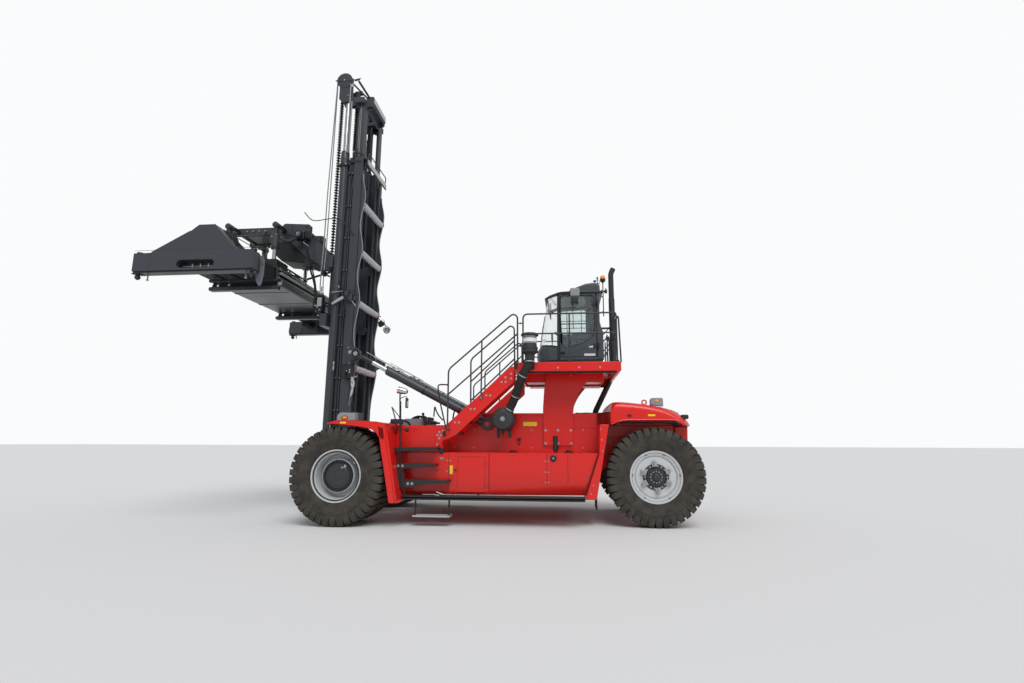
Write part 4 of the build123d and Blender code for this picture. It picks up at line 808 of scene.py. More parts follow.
board = gather(coat(block(-4.58, -1.2, 1.4, 1.8, 0.475, 0.535, 0.008), black_paint),
               coat(block(-4.56, -1.22, 1.52, 1.79, 0.535, 0.55, 0.003), punched_steel),
               coat(block(-4.58, -1.2, 1.79, 1.8, 0.5, 0.556, 0.003), black_paint))
steps = []
for back_end, front_end, y_in, low, top in ((-1.83, -1.01, 1.45, 1.34, 1.431), (-1.81, -1.0, 1.5, 1.02, 1.12),
                                            (-2.06, -1.2, 1.5, 0.72, 0.825)):
    wedge_step = plate([(back_end, top - 0.035), (back_end, top), (front_end, top), (front_end, low)],
                       y_in, 1.78, bevel=0.008)
    steps.append(coat(wedge_step, black_paint))
    steps.append(coat(block(back_end + 0.03, front_end - 0.03, y_in + 0.02, 1.765, top - 0.002, top + 0.004,
                            0.001), punched_steel))
bracket = coat(plate([(-0.92, 1.11), (-1.16, 1.125), (-1.24, 0.83), (-1.43, 0.83), (-1.43, 0.7),
                      (-0.99, 0.68)], 1.772, 1.786, bevel=0.004), black_paint)
step_bolts = bolts([(-1.1, 1.786, 1.085), (-1.18, 1.781, 1.085), (-1.3, 1.786, 0.765), (-1.38, 1.786, 0.765)],
                   (0, 1, 0), 0.02, 0.014)
brace = coat(gather(bar((-1.07, 1.77, 1.36), (-1.12, 1.77, 1.12), 0.012, 10),
                    bar((-1.21, 1.77, 0.7), (-1.27, 1.77, 0.5), 0.014, 10),
                    bar((-1.8, 1.52, 1.0), (-1.84, 1.76, 1.0), 0.01, 10)), black_paint)
hanger = coat(gather(
    *[bar((x, 1.7, 0.19), (x, 1.7, 0.48), 0.014, 12) for x in (-1.44, -2.08)],
    *[bar((x, 1.7, 0.2), (x + 0.03, 1.62, 0.48), 0.01, 10) for x in (-1.44, -2.08)]), black_paint)
bright_alloy, alloy_shader = new_material("brushed_aluminium", "#C9CCCD", 0.38, Metallic=0.8)
alloy_tree = bright_alloy.node_tree
alloy_place = add_node(alloy_tree, "ShaderNodeTexCoord")
alloy_stretch = add_node(alloy_tree, "ShaderNodeMapping", {"Scale": (4.0, 90.0, 90.0)},
                         Vector=alloy_place.outputs["Object"])
alloy_lines = add_node(alloy_tree, "ShaderNodeTexNoise", {"Scale": 3.0},
                       Vector=alloy_stretch.outputs["Vector"])
alloy_bump = add_node(alloy_tree, "ShaderNodeBump", {"Strength": 0.15, "Distance": 0.001},
                      Height=alloy_lines.outputs["Fac"])
alloy_tree.links.new(alloy_bump.outputs["Normal"], alloy_shader.inputs["Normal"])
fold_step = coat(gather(block(-2.11, -1.41, 1.6, 1.8, 0.17, 0.185, 0.003),
                        block(-2.11, -1.41, 1.785, 1.8, 0.17, 0.205, 0.003),
                        block(-2.11, -1.41, 1.6, 1.612, 0.17, 0.205, 0.003),
                        *[block(-2.1 + 0.07 * i, -2.085 + 0.07 * i, 1.605, 1.79, 0.185, 0.197, 0.002, 1)
                          for i in range(10)]), bright_alloy)
hinge = coat(gather(block(-1.9, -1.86, 1.68, 1.79, 0.545, 0.575, 0.004),
                    bar((-1.97, 1.74, 0.57), (-1.84, 1.76, 0.62), 0.01, 10),
                    bar((-1.84, 1.7, 0.56), (-1.84, 1.79, 0.56), 0.014, 12)), zinc_steel)
boards = gather(board, *steps, bracket, step_bolts, brace, hanger, fold_step, hinge)
fit(both_sides(boards), "running_boards_and_steps", "chassis")
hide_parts("running_boards")

# Front fenders: pressed steel arches over the twin tyres with a deep folded skirt outside, a flat
# mud panel behind the tyres and a facet that catches the sky.
fender_top = [(0.219, 1.872), (0.12, 1.9), (0.059, 1.918), (-0.5, 1.912), (-0.72, 1.9), (-0.9, 1.87),
              (-0.93, 1.8), (-1.19, 0.44), (-1.15, 0.44), (-0.88, 1.79), (-0.84, 1.835), (-0.72, 1.872),
              (-0.5, 1.886), (0.059, 1.892), (0.219, 1.846)]
arch = coat(plate(fender_top, 1.06, 2.05, bevel=0.006), red_paint)
mud_panel = coat(plate([(-0.88, 1.79), (-1.155, 0.44), (-1.04, 0.44), (-0.76, 1.82)], 2.0, 2.08, bevel=0.012,
                       segments=3), red_paint)
inner_panel = coat(plate([(-0.88, 1.8), (-1.19, 0.44), (-1.16, 0.44), (-0.85, 1.8)], 0.97, 2.06,
                         bevel=0.004), red_paint)
skirt = coat(plate([(0.219, 1.86), (0.219, 1.874), (0.12, 1.902), (0.059, 1.92), (-0.5, 1.914),
                    (-0.74, 1.902), (-0.9, 1.87), (-0.93, 1.7), (-0.9, 1.563), (-0.85, 1.563), (-0.8, 1.62),
                    (-0.74, 1.7), (-0.66, 1.75), (-0.511, 1.795), (-0.36, 1.815), (-0.219, 1.829),
                    (0.054, 1.857)], 2.045, 2.08, bevel=0.01, segments=3), red_paint)
side_panel = coat(plate([(-0.9, 1.868), (-1.02, 1.83), (-1.05, 1.35), (-1.19, 0.75), (-1.17, 0.44),
                         (-1.08, 0.44), (-0.88, 1.563)], 1.5, 1.55, bevel=0.01), red_paint)
facet = coat(plate([(-0.86, 1.885), (-1.02, 1.868), (-1.02, 1.5), (-0.93, 1.5)], 1.06, 1.52, bevel=0.012,
                   segments=3), red_paint)
indicator = gather(coat(plate([(0.055, 1.92), (0.055, 1.985), (0.035, 2.04), (-0.02, 2.075), (-0.3, 2.065),
                               (-0.306, 1.92)], 1.86, 2.02, bevel=0.012, segments=3), light_grey),
                   coat(block(-0.3, 0.05, 1.87, 2.0, 1.905, 1.922), black_paint))
amber_plastic, amber_shader = new_material("amber_acrylic", "#F08A12", 0.12, Transmission_Weight=0.15,
                                           Emission_Strength=0.25)
amber_shader.inputs["Emission Color"].default_value = linear("#F08A12")
amber_place = add_node(amber_plastic.node_tree, "ShaderNodeTexCoord")
amber_ribs = add_node(amber_plastic.node_tree, "ShaderNodeTexWave", {"Scale": 40.0},
                      Vector=amber_place.outputs["Object"])
amber_bump = add_node(amber_plastic.node_tree, "ShaderNodeBump", {"Strength": 0.2, "Distance": 0.002},
                      Height=amber_ribs.outputs["Fac"])
amber_plastic.node_tree.links.new(amber_bump.outputs["Normal"], amber_shader.inputs["Normal"])
lens = turned([(0.0, 0.052), (0.01, 0.046), (0.02, 0.03), (0.024, pole), (0.0, pole)], (0, 0, 0), 28)
lens.data.transform(Matrix.Translation((-0.1, 2.018, 1.975)) @ Matrix.Diagonal((1, 1, 0.55, 1)))
lens_rim = turned([(0.0, 0.052), (0.0, 0.066), (0.01, 0.064), (0.012, 0.054)], (0, 0, 0), 28)
lens_rim.data.transform(Matrix.Translation((-0.1, 2.016, 1.975)) @ Matrix.Diagonal((1, 1, 0.6, 1)))
fender_sign = coat(block(-0.157, -0.043, 2.079, 2.083, 1.865, 1.895, 0.001), yellow_plastic)
stay = coat(gather(bar((-0.2, 1.2, 1.89), (-0.2, 0.79, 1.5), 0.025, 14),
                   bar((-0.6, 1.2, 1.88), (-0.6, 0.79, 1.45), 0.025, 14)), black_paint)
edge_bolts = bolts([(x, 1.3, 1.914) for x in (0.0, -0.25, -0.5)], (0, 0, 1), 0.012, 0.01)
fender = gather(arch, mud_panel, inner_panel, skirt, side_panel, facet, indicator, coat(lens, amber_plastic),
                coat(lens_rim, black_paint), fender_sign, stay, edge_bolts)
fit(both_sides(fender), "front_fender_arches", "chassis")
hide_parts("front_fenders")

# Rear fenders: the slanted steel wings between the tanks and the steered wheels, with a black
# rubber joint along the tank.
wing = coat(plate([(-4.89, 1.866), (-5.06, 1.866), (-4.8, 0.49), (-4.585, 0.49), (-4.865, 1.33)], 1.39, 1.54,
                  bevel=0.014, segments=3), red_paint)
wall = coat(plate([(-4.89, 1.866), (-4.92, 1.866), (-4.895, 1.33), (-4.615, 0.49), (-4.585, 0.49),
                   (-4.865, 1.33)], 0.68, 1.52, bevel=0.005), red_paint)
joint = coat(plate([(-4.858, 1.34), (-4.846, 1.34), (-4.562, 0.52), (-4.576, 0.52)], 1.5, 1.545,
                   bevel=0.004), black_paint)
wing_bolts = bolts([(-4.905 - 0.012 * i, 1.54, 1.78 - 0.2 * i) for i in range(3)]
                   + [(-4.74, 1.54, 0.75), (-4.7, 1.54, 0.6)], (0, 1, 0), 0.009, 0.007)
mud_flap = coat(block(-4.81, -4.79, 0.95, 1.5, 0.3, 0.62, 0.006), hose_rubber)
fit(both_sides(gather(wing, wall, joint, wing_bolts, mud_flap)), "rear_fender_wings", "chassis")
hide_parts("rear_fenders")

# Hood: a pressed steel shell over the steered wheels, crowned and tapered to the tail, with a
# rounded arch over each wheel and slanted grilles in front. It is modelled as one crowned sheet.
hood_rows = ((0.0, ((-5.05, 2.115), (-5.12, 2.3), (-5.2, 2.348), (-5.6, 2.315), (-6.0, 2.27),
                    (-6.38, 2.212), (-6.62, 2.12), (-6.78, 1.98), (-6.832, 1.9), (-6.838, 1.87))),
             (0.4, ((-5.05, 2.115), (-5.12, 2.3), (-5.2, 2.347), (-5.6, 2.314), (-6.0, 2.268),
                    (-6.37, 2.21), (-6.59, 2.115), (-6.745, 1.98), (-6.79, 1.9), (-6.8, 1.87))),
             (0.76, ((-5.05, 2.115), (-5.12, 2.298), (-5.2, 2.343), (-5.6, 2.31), (-6.0, 2.262),
                     (-6.33, 2.205), (-6.52, 2.11), (-6.66, 1.98), (-6.7, 1.9), (-6.71, 1.87))),
             (1.1, ((-5.09, 2.115), (-5.14, 2.292), (-5.2, 2.335), (-5.6, 2.3), (-5.95, 2.252),
                    (-6.25, 2.19), (-6.42, 2.1), (-6.56, 1.975), (-6.605, 1.9), (-6.615, 1.87))),
             (1.34, ((-5.11, 2.115), (-5.15, 2.27), (-5.22, 2.312), (-5.6, 2.275), (-5.92, 2.228),
                     (-6.16, 2.165), (-6.32, 2.08), (-6.46, 1.965), (-6.515, 1.9), (-6.525, 1.87))),
             (1.405, ((-5.115, 2.11), (-5.155, 2.235), (-5.24, 2.262), (-5.6, 2.23), (-5.9, 2.185),
                      (-6.13, 2.125), (-6.28, 2.05), (-6.43, 1.95), (-6.495, 1.895), (-6.51, 1.87))),
             (1.42, ((-5.12, 2.09), (-5.17, 2.16), (-5.26, 2.17), (-5.6, 2.15), (-5.89, 2.12),
                     (-6.11, 2.075), (-6.27, 2.01), (-6.41, 1.93), (-6.48, 1.89), (-6.5, 1.87))),
             (1.42, ((-5.12, 1.87), (-5.27, 1.93), (-5.29, 1.955), (-5.6, 1.955), (-5.89, 1.955),
                     (-6.1, 1.955), (-6.27, 1.955), (-6.36, 1.95), (-6.42, 1.88), (-6.44, 1.87))),)
mesh = bpy.data.meshes.new("hood_sheet")
rows = [[(x, y, z) for x, z in row] for y, row in hood_rows]
verts = [p for row in rows for p in row]
across_count = len(hood_rows[0][1])
faces = [(i * across_count + j, i * across_count + j + 1, (i + 1) * across_count + j + 1,
          (i + 1) * across_count + j) for i in range(len(rows) - 1) for j in range(across_count - 1)]
mesh.from_pydata(verts, [], faces)
hood_sheet = bpy.data.objects.new("hood_sheet", mesh)
bpy.context.scene.collection.objects.link(hood_sheet)
alone(hood_sheet)
both_sides(hood_sheet)
hood_sheet = bpy.context.object
bpy.ops.object.mode_set(mode="EDIT")
bpy.ops.mesh.select_all(action="SELECT")
bpy.ops.mesh.remove_doubles(threshold=0.0005)
bpy.ops.mesh.normals_make_consistent(inside=False)
bpy.ops.object.mode_set(mode="OBJECT")
apply_modifier(hood_sheet, "SUBSURF", levels=2, render_levels=2)
apply_modifier(hood_sheet, "SOLIDIFY", thickness=0.012, offset=-1)
coat(hood_sheet, red_paint)
lip = coat(bent_tube([(-5.12, 1.41, 1.875), (-5.27, 1.41, 1.94), (-5.4, 1.41, 1.958), (-6.25, 1.41, 1.958),
                      (-6.37, 1.41, 1.945), (-6.43, 1.41, 1.88)], 0.014, 0.08, 12), red_paint)
liner = coat(plate([(-5.2, 1.872), (-5.27, 1.93), (-6.31, 1.93), (-6.43, 1.875), (-6.4, 1.875), (-6.3, 1.915),
                    (-5.28, 1.915), (-5.23, 1.872)], 0.69, 1.4, bevel=0.003), black_paint)
liner_wall = coat(plate([(-5.08, 1.875), (-5.1, 2.1), (-6.3, 2.05), (-6.6, 1.88)], 0.682, 0.696,
                        bevel=0.003), red_paint)
corner = coat(plate([(-4.88, 0.688), (-5.11, 1.42), (-5.14, 1.42), (-5.14, 0.688)], 1.87, 2.118, across="z",
                    bevel=0.02, segments=4), red_paint)
grille_run = Vector((-5.11 + 4.88, 1.42 - 0.688, 0)).normalized()
grille_out = Vector((grille_run.y, -grille_run.x, 0))
grille_at = Vector((-4.995, 1.054, 0))
slats = []
for i in range(9):
    z = 1.9 + i * 0.024
    ends = [grille_at + grille_run * s + grille_out * 0.006 for s in (-0.28, 0.28)]
    slats.append(bar((ends[0].x, ends[0].y, z), (ends[1].x, ends[1].y, z), 0.006, 8))
frame_ends = [grille_at + grille_run * s + grille_out * 0.004 for s in (-0.3, 0.3)]
grille_frame = bent_tube([
    (frame_ends[0].x, frame_ends[0].y, 1.885), (frame_ends[0].x, frame_ends[0].y, 2.106),
    (frame_ends[1].x, frame_ends[1].y, 2.106), (frame_ends[1].x, frame_ends[1].y, 1.885)], 0.01, 0.02)
grille = coat(gather(grille_frame, *slats), black_paint)
hood_seam = coat(plate([(-5.16, 2.112), (-5.04, 2.112), (-5.04, 2.118), (-5.16, 2.118)], -0.7, 0.7,
                       bevel=0), black_paint)
hood_box = coat(plate([(-5.884, 2.25), (-5.884, 2.34), (-5.91, 2.385), (-6.11, 2.385), (-6.126, 2.36),
                       (-6.126, 2.22)], 1.14, 1.27, bevel=0.012, segments=3), light_grey)
hood_lens = turned([(0.0, 0.04), (0.008, 0.036), (0.016, 0.022), (0.018, pole), (0.0, pole)], (0, 0, 0), 24)
hood_lens.data.transform(Matrix.Translation((-6.0, 1.268, 2.325)) @ Matrix.Diagonal((1, 1, 0.55, 1)))
hood_sign = coat(block(-5.938, -5.806, 1.418, 1.424, 2.025, 2.06, 0.001), yellow_plastic)
hood_ring = coat(turned([(-0.012, 0.03), (-0.012, 0.056), (0.012, 0.056), (0.012, 0.03)],
                        (-5.81, 0.95, 2.32), 28), red_paint)
hood_latch = coat(gather(block(-5.5, -5.42, 1.41, 1.43, 2.02, 2.06, 0.004),
                         bar((-5.46, 1.42, 2.05), (-5.46, 1.435, 2.0), 0.01, 10)), black_paint)
tail_lamp = coat(block(-6.615, -6.5, 0.95, 1.12, 1.985, 2.07, 0.012, 3), black_paint)
red_acrylic, red_acrylic_shader = new_material("red_acrylic", "#C0110C", 0.14, Transmission_Weight=0.1)
acrylic_place = add_node(red_acrylic.node_tree, "ShaderNodeTexCoord")
acrylic_ribs = add_node(red_acrylic.node_tree, "ShaderNodeTexWave", {"Scale": 45.0},
                        Vector=acrylic_place.outputs["Object"])
acrylic_bump = add_node(red_acrylic.node_tree, "ShaderNodeBump", {"Strength": 0.2, "Distance": 0.002},
                        Height=acrylic_ribs.outputs["Fac"])
red_acrylic.node_tree.links.new(acrylic_bump.outputs["Normal"], red_acrylic_shader.inputs["Normal"])
tail_lens = coat(block(-6.625, -6.61, 0.965, 1.105, 1.998, 2.057, 0.006, 3), red_acrylic)
side_fittings = gather(lip, liner, liner_wall, corner, grille, hood_box, coat(hood_lens, amber_plastic),
                       hood_sign, hood_ring, hood_latch, tail_lamp, tail_lens)
rear_grille = coat(gather(
    *[bar((-6.44 - 0.03 * i, -0.46, 2.196 - 0.014 * i), (-6.44 - 0.03 * i, 0.46, 2.196 - 0.014 * i), 0.007,
          8) for i in range(5)]), black_paint)
rear_panel = coat(block(-6.6, -5.1, -0.7, 0.7, 1.873, 1.883, 0), black_paint)
pressed_hood = gather(hood_sheet, both_sides(side_fittings), hood_seam, rear_grille, rear_panel)
fit(pressed_hood, "pressed_rear_hood", "chassis", smooth=40)
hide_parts("rear_hood")

# Columns: two profiled plates in body red that carry the platform, bolted to the frame's sides, with
# a closed box between them and the carriers.
column_outline = [(-5.04, 3.04), (-3.88, 3.04), (-3.823, 2.697), (-3.789, 2.235), (-3.789, 1.468),
                  (-4.4, 1.468), (-4.408, 2.12)]
curve_steps = 10
for i in range(1, curve_steps):
    share = i / curve_steps
    start_run = Vector((-4.408, 2.12)).lerp(Vector((-4.43, 2.62)), share)
    end_run = Vector((-4.43, 2.62)).lerp(Vector((-5.04, 3.04)), share)
    column_outline.append(tuple(start_run.lerp(end_run, share)))
column = coat(plate(column_outline, 0.68, 0.74, bevel=0.008, segments=3), red_paint)
web_box = coat(gather(block(-4.35, -3.83, 0.52, 0.68, 2.12, 2.764, 0.006),
                      block(-4.35, -3.88, 0.66, 0.68, 2.764, 3.04)), red_paint)
foot_bolts = bolts([(x, 0.74, z) for x, z in ((-3.84, 1.772), (-4.09, 1.772), (-4.355, 1.772), (-3.84, 1.51),
                                              (-4.09, 1.51), (-4.355, 1.51))], (0, 1, 0), 0.02, 0.02)
edge_fold = coat(bent_tube([(-3.8, 0.742, 1.49), (-3.8, 0.742, 2.24), (-3.834, 0.742, 2.7),
                            (-3.885, 0.742, 3.0)], 0.008, 0.1, 8), red_paint)
fit(both_sides(
    gather(column, web_box, foot_bolts, edge_fold)), "platform_column_plates", "chassis")
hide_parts("platform_columns")

# Platform: a welded deck with a turned-down edge, a punched anti-slip floor, two deep carriers under
# it and black clips along its edge.
edge = [(-5.33, 2.89), (-5.33, 3.072), (-3.25, 3.072), (-3.25, 2.89)]
side_edge = coat(plate(edge, 1.44, 1.5, bevel=0.01, segments=3), red_paint)
front_edge = coat(block(-3.31, -3.25, -1.46, 1.46, 2.89, 3.072, 0.01, 3), red_paint)
rear_left = coat(block(-5.33, -5.27, -0.53, 1.46, 2.89, 3.072, 0.01, 3), red_paint)
rear_right = coat(block(-5.33, -5.27, -1.46, -0.75, 2.89, 3.072, 0.01, 3), red_paint)
deck = coat(block(-5.18, -3.27, -1.46, 1.46, 3.04, 3.074, 0.003), red_paint)
deck_rear = coat(gather(block(-5.3, -5.17, -0.54, 1.46, 3.04, 3.074, 0.003),
                        block(-5.3, -5.17, -1.46, -0.74, 3.04, 3.074, 0.003)), red_paint)
walkway = coat(gather(block(-5.1, -3.29, 0.74, 1.43, 3.074, 3.08, 0.002),
                      block(-3.72, -3.29, -0.72, 0.72, 3.074, 3.08, 0.002),
                      block(-5.1, -3.29, -1.43, -0.74, 3.074, 3.08, 0.002)), punched_steel)
carrier = coat(block(-5.047, -3.444, 0.25, 0.66, 2.764, 3.04, 0.008), red_paint)
carrier_end = coat(gather(block(-5.055, -5.04, 0.27, 0.64, 2.78, 2.88, 0.004),
                          block(-4.99, -4.93, 0.655, 0.68, 2.77, 2.86, 0.006)), red_paint)
edge_bolts = bolts([(x, 1.5, 2.958) for x in (-3.5, -4.115, -4.526, -4.926)], (0, 1, 0), 0.015, 0.012)
under_band = coat(block(-5.25, -3.4, 1.37, 1.43, 2.858, 2.9, 0.006), black_paint)
cross_rib = coat(block(-4.4, -4.34, 0.6, 1.45, 2.9, 3.04, 0.004), red_paint)
clip = coat(gather(block(-3.66, -3.53, 1.44, 1.508, 2.93, 3.075, 0.008),
                   block(-3.33, -3.26, 1.455, 1.508, 2.93, 3.075, 0.008)), black_paint)
platform_deck = gather(
    front_edge, rear_left, rear_right, deck, deck_rear, walkway,
    both_sides(gather(side_edge, carrier, carrier_end, edge_bolts, under_band, cross_rib, clip)))
fit(platform_deck, "cab_platform", "chassis")
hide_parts("platform")

# Stairs: deep red stringers with six open grating treads on each side, bolted through the stringer
# by pairs of bolts.
flight = [(-1.884, 1.569), (-1.986, 1.6), (-2.126, 1.666), (-3.25, 2.7), (-3.25, 2.985), (-3.2, 2.99),
          (-1.984, 1.898)]
outer_stringer = coat(plate([(-1.73, 1.706), (-1.733, 1.431), (-1.78, 1.431), *flight], 1.45, 1.475,
                            bevel=0.006), red_paint)
inner_stringer = coat(plate([(-1.86, 1.804), (-1.86, 1.537), *flight], 1.01, 1.035, bevel=0.006), red_paint)
top_fold = coat(bent_tube([(-1.74, 1.463, 1.7), (-1.984, 1.463, 1.897), (-3.2, 1.463, 2.988),
                           (-3.245, 1.463, 2.985)], 0.011, 0.04, 8), red_paint)
pair_bolts = bolts([(x, 1.475, z)
                    for x, z in ((-2.104, 1.907), (-2.183, 1.907), (-2.407, 2.166), (-2.484, 2.165),
                                 (-2.713, 2.429), (-2.79, 2.429), (-3.012, 2.69), (-3.091, 2.689),
                                 (-3.088, 2.778), (-3.2, 2.851), (-3.2, 2.755), (-1.76, 1.66),
                                 (-1.83, 1.66), (-1.8, 1.72), (-1.87, 1.74), (-1.8, 1.6), (-1.76, 1.48))],
                   (0, 1, 0), 0.016, 0.013)
switch_box = coat(gather(block(-1.93, -1.87, 1.475, 1.5, 1.64, 1.74, 0.008),
                         block(-1.915, -1.885, 1.495, 1.505, 1.66, 1.7)), black_paint)
tread_bars = [block(-0.11, -0.106, -0.2, 0.2, -0.015, 0.015, 0),
              block(0.106, 0.11, -0.2, 0.2, -0.015, 0.015, 0),
              block(-0.11, 0.11, -0.205, -0.2, -0.015, 0.015, 0),
              block(-0.11, 0.11, 0.2, 0.205, -0.015, 0.015, 0),
              block(0.1, 0.112, -0.2, 0.2, 0.005, 0.017, 0.002, 1)]
tread_bars += [block(-0.106 + 0.026 * i, -0.103 + 0.026 * i, -0.2, 0.2, -0.01, 0.014, 0) for i in range(1, 9)]
tread_bars += [block(-0.106, 0.106, -0.2 + 0.05 * i, -0.197 + 0.05 * i, -0.004, 0.012, 0)
               for i in range(1, 8)]
tread = gather(*tread_bars)
treads = coat(repeat(tread, [(-1.9 - 1.35 * (i + 1) / 7, 1.2425, 1.5 + 1.46 * (i + 1) / 7)
                             for i in range(6)]), black_paint)
tread_ends = coat(gather(*[block(-1.99 - 1.35 * (i + 1) / 7, -1.86 - 1.35 * (i + 1) / 7, 1.435, 1.45,
                                 1.44 + 1.46 * (i + 1) / 7, 1.49 + 1.46 * (i + 1) / 7, 0.004, 1)
                           for i in range(6)]), black_paint)
fit(both_sides(gather(outer_stringer, inner_stringer, top_fold, pair_bolts, switch_box, treads, tread_ends)),
    "boarding_stairs", "chassis")
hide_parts("stairs")

# Handrails: 34 mm steel tube bent round its corners and powder-coated anthracite, bolted to the
# stringers with flattened feet and linked to the platform rail by short clamps.
rail_paint = enamel("anthracite_powder_coat", "#35393D", "#5C5A55", 0.48)
y = 1.492
outer_rail = bent_tube([(-1.96, y, 1.78), (-1.953, y, 2.945), (-3.228, y, 4.052), (-3.323, y, 4.006),
                        (-3.33, y, 3.08)], 0.0165, 0.07, 12)
rails = [outer_rail, bent_tube([(-1.957, y, 2.45), (-3.324, y, 3.647)], 0.0155, sides=12),
         bent_tube([(-2.613, y, 2.4), (-2.613, y, 3.505)], 0.0155, sides=12)]
y = 0.993
rails += [bent_tube([(-2.325, y, 2.1), (-2.31, y, 3.218), (-3.131, y, 3.924), (-3.212, y, 3.877),
                     (-3.228, y, 2.89)], 0.0165, 0.07, 12),
          bent_tube([(-2.325, y, 2.762), (-3.215, y, 3.604)], 0.0155, sides=12),
          bent_tube([(-2.325, y, 2.365), (-3.222, y, 3.226)], 0.0155, sides=12)]
y = 1.477
rails += [bent_tube([(-3.433, y, 3.08), (-3.433, y, 4.045), (-5.265, y, 4.045), (-5.265, 0.78, 4.045)],
                    0.0165, 0.09, 12),
          bent_tube([(-3.433, y, 3.645), (-5.265, y, 3.645), (-5.265, 0.78, 3.645)], 0.0155, 0.03, 12),
          bent_tube([(-5.265, y, 3.08), (-5.265, y, 4.0)], 0.0165, sides=12),
          bent_tube([(-4.35, y, 3.08), (-4.35, y, 4.045)], 0.0155, sides=12),
          bent_tube([(-5.265, 0.83, 3.08), (-5.265, 0.83, 4.045)], 0.0165, sides=12)]
feet = [block(x - 0.022, x + 0.022, 1.474, 1.5, z, z + 0.075, 0.006)
        for x, z in ((-1.96, 1.76), (-2.613, 2.346))]
feet += [block(x - 0.022, x + 0.022, 0.985, 1.011, z, z + 0.075, 0.006)
         for x, z in ((-2.325, 2.1), (-3.225, 2.89))]
feet += [bar((x, 1.477, 3.078), (x, 1.477, 3.1), 0.034, 16, 0.003) for x in (-3.433, -4.35, -5.265)]
feet += [bar((-3.33, 1.492, 3.078), (-3.33, 1.492, 3.1), 0.026, 16, 0.003),
         bar((-5.265, 0.83, 3.078), (-5.265, 0.83, 3.1), 0.034, 16, 0.003)]
links = [gather(bar((-3.33, 1.488, z), (-3.433, 1.48, z), 0.011, 10),
                bar((-3.37, 1.485, z), (-3.392, 1.484, z), 0.02, 12, 0.003)) for z in (3.86, 3.4)]
chain_gate = bent_tube([(-5.265, 0.83, 3.9), (-5.265, 0.83, 3.9), (-5.255, 0.83, 3.3)], 0.006, 0.02)
rear_hoop = gather(bent_tube([(-5.335, 1.45, 3.06), (-5.31, 1.45, 3.98), (-5.31, 0.86, 4.04),
                              (-5.325, 0.86, 3.1)], 0.0165, 0.09, 12),
                   bar((-5.075, 0.6, 3.43), (-5.312, 0.86, 3.72), 0.01, 10),
                   bar((-5.075, 0.6, 3.78), (-5.312, 0.86, 4.02), 0.01, 10))
tube_work = coat(gather(*rails, *feet, *links, chain_gate, rear_hoop), rail_paint)
foot_pins = bolts([(x, 1.5, z) for x, z in ((-1.96, 1.785), (-1.96, 1.82), (-2.613, 2.37),
                                            (-2.613, 2.405))], (0, 1, 0), 0.011, 0.01)
fit(both_sides(gather(tube_work, foot_pins)), "bent_handrails", "chassis", smooth=50)
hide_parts("handrails")

# Air cleaner: a spun steel drum on the frame's left side, a rubber elbow held by worm-drive clamps,
# and a pre-cleaner with a clear bowl up on the platform's edge.
white_paint = enamel("white_plate_enamel", "#E8E9EA", "#B9B6AF", 0.4)
drum_paint = enamel("textured_black_enamel", "#2C2F31", "#4A4742", 0.55)
rubber_elbow = rubber("moulded_intake_rubber", "#1D1E1F", "#37342F", 0.5)
drum = coat(turned([(0.95, pole), (0.95, 0.19), (0.97, 0.215), (1.0, 0.222), (1.08, 0.222), (1.085, 0.225),
                    (1.1, 0.225), (1.105, 0.222), (1.27, 0.222), (1.275, 0.225), (1.31, 0.225),
                    (1.315, 0.214), (1.37, 0.2), (1.392, 0.17), (1.397, 0.09), (1.4, 0.07), (1.4, pole)],
                   (-3.026, 0, 1.98), 64), drum_paint)
drum_centre = coat(bar((-3.026, 1.398, 1.98), (-3.026, 1.408, 1.98), 0.045, 24, 0.003), light_grey)
drum_ring = coat(turned(
    [(1.4, 0.1), (1.404, 0.1), (1.404, 0.112), (1.4, 0.112)], (-3.026, 0, 1.98), 48), cast_iron)
outlet = coat(bar((-3.026, 0.68, 1.98), (-3.026, 0.96, 1.98), 0.06, 24), rubber_elbow)
drain = coat(gather(bar((-3.026, 1.3, 1.77), (-3.026, 1.3, 1.72), 0.03, 14, 0.004),
                    bar((-3.026, 1.3, 1.72), (-3.03, 1.3, 1.67), 0.03, 14, tip_radius=0.012)), rubber_elbow)
legs = coat(gather(*[block(x - 0.03, x + 0.03, 0.68, 1.12, 1.76, 1.78, 0.004) for x in (-3.12, -2.93)],
                   *[block(x - 0.03, x + 0.03, 1.05, 1.12, 1.62, 1.8, 0.004) for x in (-3.14, -2.91)],
                   *[turned([(y, 0.222), (y, 0.229), (y + 0.04, 0.229), (y + 0.04, 0.222)],
                            (-3.026, 0, 1.98), 48) for y in (1.02, 1.18)]), black_paint)
elbow_route = [(-3.1, 1.3, 2.1), (-3.19, 1.33, 2.22), (-3.3, 1.46, 2.46), (-3.38, 1.58, 2.68),
               (-3.46, 1.655, 2.85), (-3.56, 1.685, 2.98), (-3.58, 1.69, 3.1)]
elbow = coat(hose(elbow_route, 0.086, 24), rubber_elbow)
rubber_cuffs = []
cuff_places = (((-3.13, 1.312, 2.14), (-3.17, 1.325, 2.2)),
               ((-3.27, 1.43, 2.4), (-3.3, 1.465, 2.46)),
               ((-3.42, 1.625, 2.77), (-3.455, 1.65, 2.83)),
               ((-3.578, 1.69, 3.03), (-3.58, 1.69, 3.08)))
for low_end, high_end in cuff_places:
    rubber_cuffs.append(coat(bar(low_end, high_end, 0.094, 28, 0.006), rubber_elbow))
    mid = Vector(low_end).lerp(Vector(high_end), 0.5)
    run = (Vector(high_end) - Vector(low_end)).normalized() * 0.008
    rubber_cuffs.append(coat(bar(mid - run, mid + run, 0.0965, 28), bright_alloy))
rubber_cuffs.append(coat(bar(mid + Vector((-0.04, 0.09, 0)), mid + Vector((0.04, 0.09, 0)), 0.008, 8),
                         zinc_steel))
